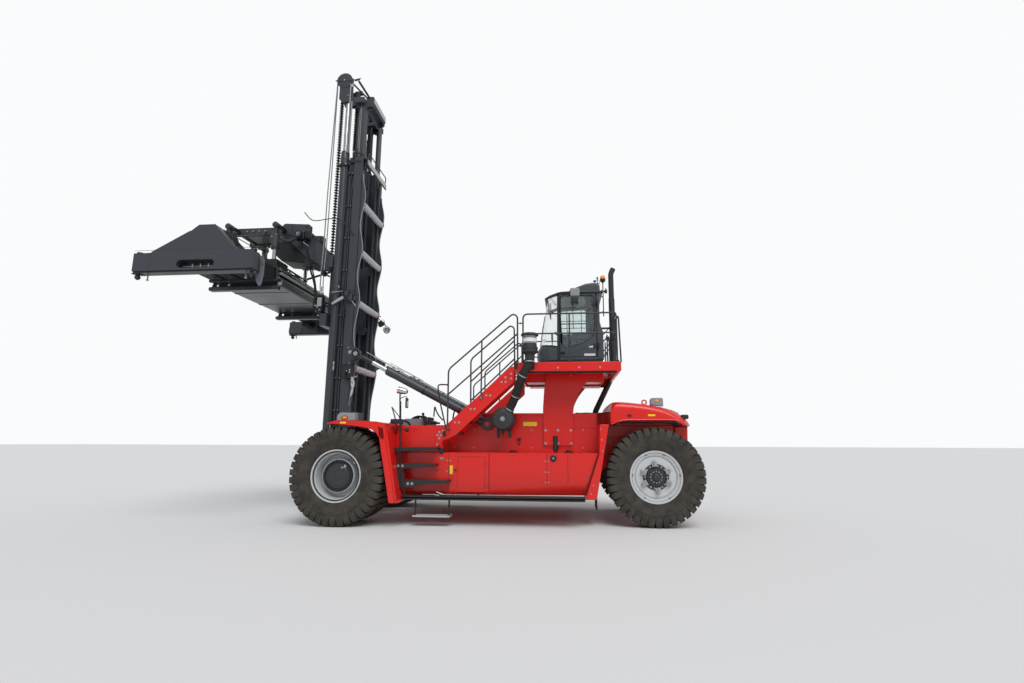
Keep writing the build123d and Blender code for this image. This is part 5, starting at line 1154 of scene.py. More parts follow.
cleaner_axis = (-3.58, 1.69, 0)
pre_base = coat(turned([(3.08, pole), (3.08, 0.09), (3.2, 0.1), (3.22, 0.15), (3.235, 0.165), (3.26, 0.165),
                        (3.268, 0.15), (3.29, 0.15), (3.3, 0.158), (3.33, 0.158), (3.34, 0.14),
                        (3.4, 0.135), (3.4, pole)], cleaner_axis, 56, axis=(0, 0, 1)), drum_paint)
clear_bowl, bowl_shader = new_material(
    "clear_polycarbonate", "#DDE4E6", 0.08, Transmission_Weight=0.75, IOR=1.58)
bowl_place = add_node(clear_bowl.node_tree, "ShaderNodeTexCoord")
bowl_dust = add_node(clear_bowl.node_tree, "ShaderNodeTexNoise", {"Scale": 20.0},
                     Vector=bowl_place.outputs["Object"])
bowl_haze = add_node(clear_bowl.node_tree, "ShaderNodeMapRange", {"To Min": 0.04, "To Max": 0.3},
                     Value=bowl_dust.outputs["Fac"])
clear_bowl.node_tree.links.new(bowl_haze.outputs["Result"], bowl_shader.inputs["Roughness"])
bowl = coat(turned([(3.4, 0.128), (3.4, 0.134), (3.57, 0.134), (3.57, 0.128)], cleaner_axis, 56,
                   axis=(0, 0, 1)), clear_bowl)
bowl_band = coat(turned([(3.43, 0.135), (3.43, 0.137), (3.5, 0.137), (3.5, 0.135)], cleaner_axis, 56,
                        axis=(0, 0, 1)), white_paint)
pre_cap = coat(turned(
    [(3.55, pole), (3.55, 0.145), (3.557, 0.166), (3.572, 0.172), (3.592, 0.168), (3.606, 0.14),
     (3.616, 0.08), (3.618, pole)], cleaner_axis, 56, axis=(0, 0, 1)), drum_paint)
vanes = coat(repeat(block(-0.002, 0.002, 0.05, 0.125, 3.41, 3.56, 0),
                    [Matrix.Translation(cleaner_axis) @ Matrix.Rotation(i * math.tau / 12, 4, "Z")
                     for i in range(12)]), black_paint)
clamp_arm = coat(gather(block(-3.625, -3.535, 1.5, 1.7, 3.03, 3.07, 0.005),
                        bent_tube([(-3.6, 1.5, 2.95), (-3.6, 1.56, 2.95), (-3.6, 1.62, 3.04)], 0.012,
                                  0.03)), black_paint)
air_intake = gather(drum, drum_centre, drum_ring, outlet, drain, legs, elbow, *rubber_cuffs, pre_base, bowl,
                    bowl_band, pre_cap, vanes, clamp_arm)
fit(air_intake, "air_cleaner_and_intake", "chassis", smooth=35)
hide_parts("air_cleaner")

# Exhaust: steel tube painted heat-proof black, up behind the cab and clamped to it twice. Its open tip
# leans back, and a perforated guard keeps hands off the tube beside the walkway.
heatproof_black = enamel("heatproof_black_paint", "#25272A", "#5A4A3E", 0.58)
stack_run = coat(bent_tube([(-4.93, -0.64, 2.12), (-4.93, -0.64, 2.22), (-5.38, -0.64, 3.12),
                            (-5.38, -0.64, 5.52), (-5.44, -0.64, 5.64)], 0.063, 0.16, 24, ends=False),
                 heatproof_black)
guard, guard_shader = new_material("perforated_guard_steel", "#2C2F32", 0.5, Metallic=0.3)
guard_tree = guard.node_tree
guard_place = add_node(guard_tree, "ShaderNodeTexCoord")
guard_holes = add_node(guard_tree, "ShaderNodeTexVoronoi", {"Scale": 55.0, "Randomness": 0.0},
                       Vector=guard_place.outputs["Object"])
guard_edge = add_node(guard_tree, "ShaderNodeMapRange", {"From Min": 0.25, "From Max": 0.32},
                      Value=guard_holes.outputs["Distance"])
guard_mix = add_node(guard_tree, "ShaderNodeMix", {"data_type": "RGBA"}, Factor=guard_edge.outputs["Result"])
guard_mix.inputs["A"].default_value = linear("#08090A")
guard_mix.inputs["B"].default_value = linear("#383B3E")
guard_tree.links.new(guard_mix.outputs["Result"], guard_shader.inputs["Base Color"])
stack_axis = (-5.38, -0.64, 0)
heat_guard = coat(turned([(3.3, 0.07), (3.3, 0.0705), (4.9, 0.0705), (4.9, 0.07)], stack_axis, 40,
                         axis=(0, 0, 1)), guard)
stack_clamps = coat(gather(
    *[gather(turned([(z - 0.03, 0.07), (z - 0.03, 0.077), (z + 0.03, 0.077), (z + 0.03, 0.07)], stack_axis,
                    32, axis=(0, 0, 1)), block(-5.32, -5.06, -0.665, -0.615, z - 0.02, z + 0.02, 0.004))
      for z in (3.33, 4.18)], turned([(3.1, 0.069), (3.1, 0.08), (3.16, 0.08), (3.16, 0.069)], stack_axis,
                                     32, axis=(0, 0, 1))), heatproof_black)
fit(gather(stack_run, heat_guard, stack_clamps), "exhaust_stack", "chassis", smooth=40)
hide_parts("exhaust")

# Cab: a pressed and welded shell in anthracite enamel on rubber mounts, with openings for a
# wrap-round windscreen, a light in its sloping roof, a barred window on the right and one behind.


def wrapped_sheet(name, rows, thickness):
    """A sheet that wraps round the cab's nose; a row gives its middle, its two heights and its front x."""
    steps = 24
    verts, faces = [], []
    for z_front, z_side, x_front in rows:
        for i in range(steps + 1):
            a = math.pi * (i / steps - 0.5)
            x = -4.12 + (x_front + 4.12) * math.cos(a) ** 0.42
            y = 0.672 * math.copysign(abs(math.sin(a)) ** 0.62, a)
            share = (x_front - x) / (x_front + 4.12)
            verts.append((x, y, z_front + (z_side - z_front) * share))
    for r in range(len(rows) - 1):
        for i in range(steps):
            first = r * (steps + 1) + i
            faces.append((first, first + 1, first + steps + 2, first + steps + 1))
    sheet_mesh = bpy.data.meshes.new(name)
    sheet_mesh.from_pydata(verts, [], faces)
    sheet = bpy.data.objects.new(name, sheet_mesh)
    bpy.context.scene.collection.objects.link(sheet)
    alone(sheet)
    apply_modifier(sheet, "SUBSURF", levels=1, render_levels=1)
    apply_modifier(sheet, "SOLIDIFY", thickness=thickness, offset=0)
    return sheet


def cut_window(panel, outline, low, high, direction="y"):
    """Cut an outline through a panel."""
    cutter = plate(outline, low, high, across=direction, bevel=0)
    apply_modifier(panel, "BOOLEAN", object=cutter, operation="DIFFERENCE", solver="EXACT")
    bpy.data.objects.remove(cutter)
    return panel


cab_paint = enamel("anthracite_enamel", "#434A52", "#66655F", 0.3)
nose = coat(wrapped_sheet("nose_panel", [(3.235, 3.235, -3.7), (3.27, 3.27, -3.66), (3.4, 3.4, -3.645),
                                         (3.53, 3.5, -3.69), (3.55, 3.515, -3.73)], 0.02), cab_paint)
screen_rubber = coat(wrapped_sheet(
    "screen_rubber", [(3.542, 3.505, -3.722), (3.575, 3.54, -3.73)], 0.024), hose_rubber)
a_pillar = coat(plate([(-4.15, 3.235), (-4.15, 4.675), (-4.106, 4.65), (-4.092, 3.235)], 0.61, 0.688,
                      bevel=0.012, segments=3), black_paint)
c_pillar = coat(plate([(-4.936, 3.235), (-4.936, 4.69), (-5.0, 4.69), (-5.002, 4.05), (-5.03, 3.92),
                       (-5.068, 3.82), (-5.072, 3.235)], 0.61, 0.68, bevel=0.016, segments=3), cab_paint)
sill = coat(block(-4.94, -4.1, 0.6, 0.68, 3.235, 3.286, 0.006), cab_paint)
base_strip = coat(plate([(-3.74, 3.2), (-3.8, 3.1), (-5.03, 3.1), (-5.04, 3.236), (-3.72, 3.236)], 0.56,
                        0.668, bevel=0.01), black_paint)
mounts = coat(gather(
    *[turned([(3.078, pole), (3.078, 0.07), (3.09, 0.07), (3.1, 0.045), (3.13, 0.045), (3.13, pole)],
             (x, 0.54, 0), 24, axis=(0, 0, 1)) for x in (-3.95, -4.9)]), hose_rubber)
pillar_seal = coat(gather(block(-4.16, -4.154, 0.66, 0.684, 3.29, 4.66, 0),
                          block(-4.934, -4.928, 0.66, 0.684, 3.29, 4.69, 0)), hose_rubber)
right_wall = plate([(-5.072, 3.235), (-5.068, 3.82), (-5.03, 3.92), (-5.002, 4.05), (-5.0, 4.69),
                    (-4.12, 4.67), (-4.12, 3.235)], -0.68, -0.62, bevel=0)
cut_window(right_wall, [(-4.76, 4.08), (-4.76, 4.6), (-4.73, 4.63), (-4.21, 4.61), (-4.18, 4.58),
                        (-4.18, 4.08), (-4.21, 4.05), (-4.73, 4.05)], -0.8, -0.5)
round_edges(right_wall, 0.01)
coat(right_wall, cab_paint)
guard_rods = coat(gather(
    *[bar((-4.765, -0.672, z), (-4.175, -0.672, z), 0.009, 8) for z in (4.2, 4.37)],
    *[bar((x, -0.672, 4.05), (x, -0.672, 4.62), 0.009, 8) for x in (-4.32, -4.66)]), black_paint)
rear_wall = plate([
    (-0.67, 3.235), (0.67, 3.235), (0.67, 4.69), (-0.67, 4.69)], -4.998, -4.95, across="x", bevel=0)
cut_window(rear_wall, [(-0.55, 3.74), (-0.55, 4.44), (-0.5, 4.49), (0.5, 4.49), (0.55, 4.44), (0.55, 3.74),
                       (0.5, 3.69), (-0.5, 3.69)], -5.2, -4.9, "x")
round_edges(rear_wall, 0.008)
coat(rear_wall, cab_paint)
rear_skin = coat(plate([(-4.99, 3.24), (-4.99, 4.05), (-5.03, 3.92), (-5.064, 3.82), (-5.068, 3.24)], -0.66,
                       0.66, bevel=0.012, segments=3), cab_paint)
rear_vents = coat(gather(*[block(-5.074, -5.06, -0.42, 0.12, 3.34 + 0.03 * i, 3.352 + 0.03 * i, 0.003, 1)
                           for i in range(8)]), black_paint)
floor_pan = coat(block(-5.0, -3.82, -0.62, 0.62, 3.23, 3.285, 0.006), black_paint)
roof_tray = coat(plate([(-3.838, 4.556), (-3.86, 4.585), (-3.95, 4.642), (-4.13, 4.702), (-4.2, 4.714),
                        (-5.06, 4.72), (-5.074, 4.7), (-5.07, 4.655), (-4.9, 4.67), (-4.16, 4.664),
                        (-3.95, 4.598), (-3.85, 4.54)], -0.7, 0.7, bevel=0.01, segments=3), cab_paint)
cut_window(roof_tray, [(-3.905, -0.6), (-3.905, 0.6), (-4.12, 0.6), (-4.12, -0.6)], 4.4, 4.8, "z")
visor_ribs = coat(gather(*[bar((-3.848, y, 4.578), (-3.9, y, 4.614), 0.006, 8)
                           for y in [-0.66 + 0.11 * i for i in range(13)]]), cab_paint)
roof_hump = plate([(-4.26, 4.71), (-4.45, 4.815), (-4.712, 4.915), (-4.88, 4.938), (-5.0, 4.915),
                   (-5.026, 4.86), (-5.03, 4.71)], -0.6, 0.6, bevel=0)
round_edges(roof_hump, 0.035, 5)
coat(roof_hump, cab_paint)
roof_seam = coat(plate([(-4.93, 4.72), (-4.93, 4.936), (-4.936, 4.935), (-4.936, 4.72)], -0.602, 0.602,
                       bevel=0), black_paint)
roof_bars = coat(gather(*[bar((-4.33, y, 4.765), (-4.7, y, 4.93), 0.01, 8)
                          for y in (-0.3, -0.15, 0.0, 0.15, 0.3)]), black_paint)
gutter = coat(both_sides(bent_tube([(-3.85, 0.7, 4.552), (-4.14, 0.703, 4.69), (-4.3, 0.703, 4.7),
                                    (-5.08, 0.703, 4.697)], 0.022, 0.1, 12)), black_paint)
hinge_parts = coat(gather(*[gather(block(-4.968, -4.942, 0.675, 0.715, z - 0.04, z, 0.004),
                                   bar((-4.955, 0.706, z - 0.04), (-4.955, 0.706, z + 0.11), 0.011, 14))
                            for z in (3.48, 4.4)]), black_paint)
beacon_pole = coat(gather(bar((-5.1, 0.5, 4.2), (-5.1, 0.5, 4.98), 0.011, 12),
                          bar((-5.06, 0.5, 4.3), (-5.1, 0.5, 4.3), 0.012, 10),
                          bar((-5.06, 0.5, 4.64), (-5.1, 0.5, 4.64), 0.012, 10),
                          turned([(4.96, pole), (4.96, 0.03), (4.99, 0.058), (5.03, 0.062), (5.04, 0.058),
                                  (5.04, pole)], (-5.1, 0.5, 0), 28, axis=(0, 0, 1))), black_paint)
beacon = coat(turned([(5.04, 0.056), (5.075, 0.055), (5.1, 0.047), (5.115, 0.028), (5.12, pole),
                      (5.04, pole)], (-5.1, 0.5, 0), 28, axis=(0, 0, 1)), amber_plastic)
aerials = coat(gather(bar((-4.99, 0.42, 4.92), (-4.99, 0.42, 5.1), 0.008, 8),
                      bar((-4.99, 0.42, 4.93), (-4.99, 0.42, 4.97), 0.03, 14, 0.004),
                      bar((-4.99, 0.42, 5.06), (-4.99, 0.42, 5.11), 0.018, 12, 0.003),
                      bar((-4.93, 0.46, 4.93), (-4.93, 0.46, 5.02), 0.008, 8),
                      block(-4.965, -4.9, 0.43, 0.49, 4.99, 5.02, 0.005),
                      bar((-4.93, 0.46, 4.93), (-4.93, 0.46, 4.96), 0.026, 14, 0.003),
                      bent_tube([(-4.99, 0.42, 5.05), (-5.03, 0.42, 5.03), (-5.04, 0.42, 4.93)], 0.005,
                                0.03)), black_paint)
lamp_arm = coat(gather(bent_tube([(-5.05, 0.6, 4.76), (-5.12, 0.6, 4.72), (-5.15, 0.6, 4.74),
                                  (-5.155, 0.6, 4.8)], 0.012, 0.03),
                       block(-5.18, -5.12, 0.56, 0.64, 4.69, 4.76, 0.01)), black_paint)
wiper = coat(gather(bent_tube([(-3.715, 0.0, 3.56), (-3.72, 0.08, 3.64), (-3.785, 0.3, 4.05)], 0.008, 0.03),
                    bent_tube([(-3.747, 0.22, 3.8), (-3.825, 0.36, 4.25)], 0.007),
                    bar((-3.7, 0, 3.54), (-3.735, 0, 3.57), 0.02, 14)), black_paint)
cab_body = gather(nose, screen_rubber, both_sides(gather(a_pillar, c_pillar)), sill,
                  both_sides(gather(base_strip, mounts)), pillar_seal, right_wall, guard_rods, rear_wall,
                  rear_skin, rear_vents, floor_pan, roof_tray, visor_ribs, roof_hump, roof_seam, roof_bars,
                  gutter, hinge_parts, beacon_pole, beacon, aerials, lamp_arm, wiper)
fit(cab_body, "cab_body", "chassis", smooth=35)
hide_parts("cab_shell")

# Cab glass: laminated, clear in front and behind, tinted green-grey in the door and the roof. The
# windscreen is one pane bent round the nose.
tinted_glass, glass_shader = new_material("tinted_laminated_glass", "#DCEAEA", 0.03,
                                          Transmission_Weight=0.95, IOR=1.45)
glass_place = add_node(tinted_glass.node_tree, "ShaderNodeTexCoord")
glass_film = add_node(tinted_glass.node_tree, "ShaderNodeTexNoise", {"Scale": 5.0, "Detail": 5.0},
                      Vector=glass_place.outputs["Object"])
glass_haze = add_node(tinted_glass.node_tree, "ShaderNodeMapRange",
                      {"From Min": 0.4, "To Min": 0.02, "To Max": 0.12}, Value=glass_film.outputs["Fac"])
tinted_glass.node_tree.links.new(glass_haze.outputs["Result"], glass_shader.inputs["Roughness"])
clear_glass, clear_shader = new_material(
    "clear_laminated_glass", "#FAFCFC", 0.02, Transmission_Weight=0.98, IOR=1.45)
clear_place = add_node(clear_glass.node_tree, "ShaderNodeTexCoord")
clear_film = add_node(clear_glass.node_tree, "ShaderNodeTexNoise", {"Scale": 4.0, "Detail": 4.0},
                      Vector=clear_place.outputs["Object"])
clear_haze = add_node(clear_glass.node_tree, "ShaderNodeMapRange",
                      {"From Min": 0.45, "To Min": 0.0, "To Max": 0.06}, Value=clear_film.outputs["Fac"])
clear_glass.node_tree.links.new(clear_haze.outputs["Result"], clear_shader.inputs["Roughness"])
windscreen = coat(wrapped_sheet("windscreen",
                                [(3.555, 3.52, -3.735), (3.8, 3.78, -3.76), (4.05, 4.05, -3.795),
                                 (4.3, 4.36, -3.835), (4.53, 4.655, -3.873)], 0.007), clear_glass)
right_pane = plate([(-4.77, 4.04), (-4.77, 4.64), (-4.17, 4.62), (-4.17, 4.04)], -0.656, -0.649, bevel=0)
rear_pane = plate([
    (-0.56, 3.68), (-0.56, 4.5), (0.56, 4.5), (0.56, 3.68)], -4.98, -4.973, across="x", bevel=0)
roof_pane = plate([(-4.33, 4.772), (-4.7, 4.925), (-4.703, 4.918), (-4.333, 4.765)], -0.36, 0.36, bevel=0)
front_pane = plate([(-3.9, 4.607), (-4.125, 4.69), (-4.125, 4.684), (-3.9, 4.601)], -0.605, 0.605, bevel=0)
panes = gather(windscreen, coat(gather(right_pane, rear_pane, front_pane), clear_glass),
               coat(roof_pane, tinted_glass))
fit(panes, "cab_panes", "chassis", smooth=45)
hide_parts("cab_glass")

# Cab door: pressed steel with one large pane and a curved sill, hung at the rear on two hinges; its
# mirror is carried on the frame of the door. The two plates low on it are blank.
door_leaf = plate([(-4.156, 3.296), (-4.156, 4.648), (-4.2, 4.66), (-4.924, 4.684), (-4.924, 3.296)], 0.636,
                  0.682, bevel=0)
pane_outline = [(-4.174, 3.62), (-4.174, 4.6), (-4.2, 4.625), (-4.85, 4.63), (-4.89, 4.58), (-4.9, 4.0),
                (-4.893, 3.84), (-4.86, 3.75), (-4.8, 3.685), (-4.66, 3.6), (-4.45, 3.53), (-4.32, 3.5),
                (-4.22, 3.53)]
cut_window(door_leaf, pane_outline, 0.5, 0.8)
round_edges(door_leaf, 0.01, 3)
coat(door_leaf, cab_paint)
pane_seal = coat(bent_tube(
    [(x, 0.676, z) for x, z in pane_outline + pane_outline[:1]], 0.008, 0.02, 8), hose_rubber)
crease = coat(bent_tube([(-4.92, 0.682, 3.56), (-4.7, 0.682, 3.5), (-4.45, 0.682, 3.4),
                         (-4.36, 0.682, 3.3)], 0.006, 0.1, 8), cab_paint)
handle = coat(gather(block(-4.26, -4.17, 0.68, 0.692, 3.36, 3.42, 0.004),
                     bent_tube([(-4.25, 0.685, 3.39), (-4.25, 0.72, 3.39), (-4.18, 0.72, 3.39),
                                (-4.18, 0.685, 3.39)], 0.008, 0.015)), black_paint)
plates = coat(gather(block(-4.9, -4.76, 0.681, 0.685, 3.492, 3.53, 0.001),
                     block(-4.89, -4.66, 0.681, 0.685, 3.315, 3.365, 0.001)), white_paint)
grab_bar = coat(gather(bent_tube([(-4.18, 0.62, 4.02), (-4.86, 0.62, 4.02)], 0.013, sides=12),
                       bent_tube([(-4.44, 0.7, 3.9), (-4.44, 0.72, 4.42), (-4.44, 0.74, 4.5)], 0.008,
                                 0.04)), black_paint)
mirror_shell = gather(coat(block(-4.58, -4.385, 0.74, 0.815, 4.585, 4.765, 0.024, 4), light_grey),
                      coat(gather(block(-4.565, -4.4, 0.745, 0.812, 4.43, 4.578, 0.022, 4),
                                  bent_tube([(-4.45, 0.68, 4.56), (-4.45, 0.72, 4.6), (-4.45, 0.76, 4.62)],
                                            0.014, 0.03)), black_paint))
mirror_glass, mirror_shader = new_material("silvered_mirror_glass", "#D8DCDF", 0.03, Metallic=1.0)
mirror_place = add_node(mirror_glass.node_tree, "ShaderNodeTexCoord")
mirror_dust = add_node(mirror_glass.node_tree, "ShaderNodeTexNoise", {"Scale": 30.0},
                       Vector=mirror_place.outputs["Object"])
mirror_haze = add_node(mirror_glass.node_tree, "ShaderNodeMapRange",
                       {"From Min": 0.5, "To Min": 0.02, "To Max": 0.2}, Value=mirror_dust.outputs["Fac"])
mirror_glass.node_tree.links.new(mirror_haze.outputs["Result"], mirror_shader.inputs["Roughness"])
mirror_faces = coat(gather(block(-4.583, -4.577, 0.755, 0.802, 4.61, 4.74, 0.001),
                           block(-4.568, -4.562, 0.76, 0.8, 4.45, 4.56, 0.001)), mirror_glass)
hinge_leaves = coat(gather(*[gather(block(-4.935, -4.85, 0.68, 0.694, z + 0.01, z + 0.1, 0.003),
                                    bar((-4.955, 0.706, z + 0.006), (-4.955, 0.706, z + 0.104), 0.024, 20,
                                        0.003)) for z in (3.48, 4.4)]), black_paint)
door_piece = gather(
    door_leaf, pane_seal, crease, handle, plates, grab_bar, mirror_shell, mirror_faces, hinge_leaves)
fit(door_piece, "cab_door_and_mirror", "driver_door", smooth=35)
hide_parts("cab_door")
door_pane = coat(plate([(-4.165, 3.54), (-4.165, 4.635), (-4.898, 4.64), (-4.908, 4.0), (-4.902, 3.8),
                        (-4.81, 3.67), (-4.67, 3.585), (-4.45, 3.515), (-4.32, 3.49)], 0.652, 0.659,
                       bevel=0), tinted_glass)
fit(door_pane, "cab_door_pane", "driver_door")
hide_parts("door_glass")

# Driver's place: an air-sprung seat in woven cloth with armrests, a steering wheel on its column,
# a lever console, a screen, and the aluminium case of a rolled-up blind at the far window.
woven_cloth, cloth_shader = new_material("woven_seat_cloth", "#2B2E33", 0.9)
cloth_tree = woven_cloth.node_tree
cloth_place = add_node(cloth_tree, "ShaderNodeTexCoord")
# The weave's real threads are 1 mm apart; they are drawn 6 mm apart so that they show.
cloth_weave = add_node(cloth_tree, "ShaderNodeTexWave", {"Scale": 26.0, "Distortion": 1.5},
                       Vector=cloth_place.outputs["Object"])
cloth_mix = add_node(cloth_tree, "ShaderNodeMix", {"data_type": "RGBA"}, Factor=cloth_weave.outputs["Fac"])
cloth_mix.inputs["A"].default_value = linear("#24272B")
cloth_mix.inputs["B"].default_value = linear("#3B3F45")
cloth_tree.links.new(cloth_mix.outputs["Result"], cloth_shader.inputs["Base Color"])
cloth_bump = add_node(cloth_tree, "ShaderNodeBump", {"Strength": 0.3, "Distance": 0.002},
                      Height=cloth_weave.outputs["Fac"])
cloth_tree.links.new(cloth_bump.outputs["Normal"], cloth_shader.inputs["Normal"])


def cushion(x1, x2, y1, y2, z1, z2, lean):
    """A crowned pad whose sides pull in between its corners, leaned about its lower edge."""
    pad = block(x1, x2, y1, y2, z1, z2, 0)
    alone(pad)
    bpy.ops.object.mode_set(mode="EDIT")
    bpy.ops.mesh.select_all(action="SELECT")
    bpy.ops.mesh.subdivide(number_cuts=2)
    bpy.ops.object.mode_set(mode="OBJECT")
    middle = Vector(((x1 + x2) / 2, (y1 + y2) / 2, (z1 + z2) / 2))
    for vertex in pad.data.vertices:
        offset = vertex.co - middle
        inside = 1 - max(abs(offset.y) / (y2 - y1), 0.2)
        vertex.co.z += 0.05 * inside * (1 if offset.z > 0 else -0.2)
        vertex.co.x -= lean * (vertex.co.z - z1)
    apply_modifier(pad, "SUBSURF", levels=2, render_levels=2)
    return coat(pad, woven_cloth)


seat_pads = gather(cushion(-4.8, -4.36, -0.25, 0.25, 3.55, 3.67, 0.05),
                   cushion(-4.87, -4.74, -0.24, 0.24, 3.68, 4.16, 0.22),
                   cushion(-4.95, -4.86, -0.13, 0.13, 4.17, 4.3, 0.22))
fit(seat_pads, "seat_pads", "chassis", smooth=60)
arm_rests = [gather(block(-4.78, -4.42, y - 0.03, y + 0.03, 3.83, 3.87, 0.014, 3),
                    block(-4.84, -4.78, y - 0.02, y + 0.02, 3.6, 3.86, 0.008)) for y in (-0.29, 0.29)]
seat_base = gather(block(-4.78, -4.42, -0.2, 0.2, 3.28, 3.34, 0.01),
                   block(-4.76, -4.44, -0.16, 0.16, 3.34, 3.48, 0.03, 3),
                   block(-4.8, -4.4, -0.22, 0.22, 3.48, 3.56, 0.015, 3), *arm_rests)
console = gather(block(-4.62, -4.3, -0.48, -0.33, 3.29, 3.78, 0.02, 3),
                 bar((-4.42, -0.4, 3.78), (-4.4, -0.4, 3.9), 0.012, 10),
                 bar((-4.4, -0.4, 3.88), (-4.395, -0.4, 3.96), 0.026, 14, 0.008))
column = gather(bar((-4.05, 0, 3.29), (-4.16, 0, 3.84), 0.035, 16),
                block(-4.02, -3.96, -0.3, 0.3, 3.29, 3.48, 0.02, 3))
wheel_tilt = Matrix.Translation((-4.18, 0, 3.87)) @ Matrix.Rotation(math.radians(-28), 4, "Y")
wheel_rim = turned([(0.0, 0.175), (0.012, 0.182), (0.024, 0.175), (0.012, 0.165)], (0, 0, 0), 40,
                   axis=(0, 0, 1))
spokes = gather(wheel_rim, *[bar((0, 0, 0.0), (0.172 * math.cos(a), 0.172 * math.sin(a), 0.012), 0.012, 8)
                             for a in (0.5, 2.6, 4.7)], bar((0, 0, -0.02), (0, 0, 0.02), 0.045, 20, 0.005))
spokes.data.transform(wheel_tilt)
monitor = gather(block(-3.97, -3.94, 0.28, 0.5, 4.2, 4.36, 0.008),
                 bar((-3.96, 0.39, 4.36), (-3.96, 0.39, 4.55), 0.01, 8),
                 block(-3.99, -3.95, -0.5, -0.26, 3.85, 4.02, 0.008),
                 bar((-3.97, -0.38, 3.5), (-3.97, -0.38, 3.86), 0.012, 8))
dash = plate([(-3.78, 3.285), (-3.78, 3.5), (-3.86, 3.52), (-3.94, 3.4), (-3.94, 3.285)], -0.56, 0.56,
             bevel=0.012, segments=3)
pedals = gather(*[block(-3.99, -3.96, y, y + 0.08, 3.33, 3.46, 0.008) for y in (-0.2, -0.06, 0.14)])
moulded_plastic = enamel("moulded_black_plastic", "#1E2022", "#3A3833", 0.6)
interior = coat(gather(seat_base, console, column, spokes, monitor, dash, pedals), moulded_plastic)
slat_enamel, slat_shader = new_material("coated_aluminium_slats", "#D9DCDC", 0.5)
slat_place = add_node(slat_enamel.node_tree, "ShaderNodeTexCoord")
slat_ribs = add_node(slat_enamel.node_tree, "ShaderNodeTexWave", {"Scale": 12.0, "bands_direction": "Z"},
                     Vector=slat_place.outputs["Object"])
slat_bump = add_node(slat_enamel.node_tree, "ShaderNodeBump", {"Strength": 0.3, "Distance": 0.003},
                     Height=slat_ribs.outputs["Fac"])
slat_enamel.node_tree.links.new(slat_bump.outputs["Normal"], slat_shader.inputs["Normal"])
blind_box = coat(block(-4.8, -4.16, -0.612, -0.585, 4.63, 4.655, 0.006), slat_enamel)
cab_inside = gather(interior, blind_box)
fit(cab_inside, "cab_interior", "chassis", smooth=40)
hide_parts("driver_seat")

# Mast, outer stage: two channels welded from thick plate that open inwards, tied by round tubes behind,
# with wavy plates that are widest at each tube. A folded roof plate closes the head.
brass, brass_shader = new_material("tarnished_brass", "#9A8044", 0.35, Metallic=0.8)
brass_place = add_node(brass.node_tree, "ShaderNodeTexCoord")
tarnish = add_node(brass.node_tree, "ShaderNodeTexNoise", {"Scale": 60.0},
                   Vector=brass_place.outputs["Object"])
tarnish_share = add_node(brass.node_tree, "ShaderNodeMapRange", {"To Min": 0.22, "To Max": 0.6},
                         Value=tarnish.outputs["Fac"])
brass.node_tree.links.new(tarnish_share.outputs["Result"], brass_shader.inputs["Roughness"])
# Pale grey enamel: a painted sky reflection on the dark grey cross tubes, and a painted highlight on the tops
# and front edges of the roof plate and top beam.
sky_sheen_grey = enamel("sky_sheen_grey_enamel", "#C3C8CC", "#8F8C85", 0.28)
tube_heights = (3.12, 4.6, 5.8, 6.96)
wave_knots = ((0.4, 2.3), (0.3, 3.24), (0.385, 3.9), (0.3, 4.66), (0.385, 5.24), (0.3, 5.86), (0.385, 6.47),
              (0.3, 7.15), (0.385, 7.7))
wave = []
for (x1, z1), (x2, z2) in zip(wave_knots, wave_knots[1:]):
    for i in range(8):
        wave.append((x1 + (x2 - x1) * (1 - math.cos(math.pi * i / 8)) / 2, z1 + (z2 - z1) * i / 8))
wave.append((0.385, 7.7))
web = coat(block(0.4, 0.612, 0.615, 0.66, 0.54, 8.15, 0.005), grey_paint)
rear_flange = coat(block(0.4, 0.445, 0.5, 0.618, 0.54, 8.15, 0.006), grey_paint)
front_flange = coat(block(0.7, 0.745, 0.5, 0.628, 0.54, 8.15, 0.006), grey_paint)
# Black strips on the web's front edge and in the gap before the lift cylinder are painted shade.
shade_strips = coat(gather(block(0.6, 0.72, 0.615, 0.627, 0.54, 8.15, 0),
                     block(0.735, 0.83, 0.588, 0.61, 0.56, 7.88, 0)), black_paint)
wave_plate = coat(plate(wave + [(0.42, 7.7), (0.42, 2.3)], 0.632, 0.66, bevel=0.003), grey_paint)
# A light grey strip along each wavy plate's edge is a painted highlight where the edge catches the light.
wave_edge_highlight = coat(plate([(x - 0.004, z) for x, z in wave] + [(x + 0.006, z) for x, z in reversed(wave)],
                       0.63, 0.663, bevel=0.002, segments=1), light_grey)
weld_ring = turned([(0.0, 0.075), (0.0, 0.088), (-0.006, 0.086), (-0.014, 0.075)], (0.372, 0.632, 0), 32)
tube_welds = coat(repeat(weld_ring, [(0, 0, z) for z in tube_heights]), grey_paint)
foot = coat(block(0.745, 0.925, 0.56, 0.68, 0.53, 0.56), grey_paint)
pin_boss = coat(turned([(0.0, 0.077), (0.0, 0.156), (0.008, 0.15), (0.066, 0.15), (0.072, 0.142),
                        (0.072, 0.077)], (0.52, 0.66, 0.7), 48), grey_paint)
anchor = coat(gather(block(0.7, 0.745, 0.4, 0.5, 7.9, 8.36, 0.005),
                     block(0.71, 0.755, 0.41, 0.49, 8.3, 8.37, 0.006)), grey_paint)
anchor_pins = coat(gather(bar((0.73, 0.45, 8.34), (0.73, 0.45, 8.44), 0.019, 14, 0.003),
                          bar((0.73, 0.45, 8.37), (0.73, 0.45, 8.4), 0.027, 6, 0.002),
                          bar((0.73, 0.415, 8.43), (0.73, 0.485, 8.43), 0.013, 12, 0.002)), zinc_steel)
slide_pads = coat(gather(block(0.444, 0.4535, 0.51, 0.59, 7.9, 8.15, 0.001),
                         block(0.6915, 0.702, 0.51, 0.59, 7.9, 8.15, 0.001)), yellow_plastic)
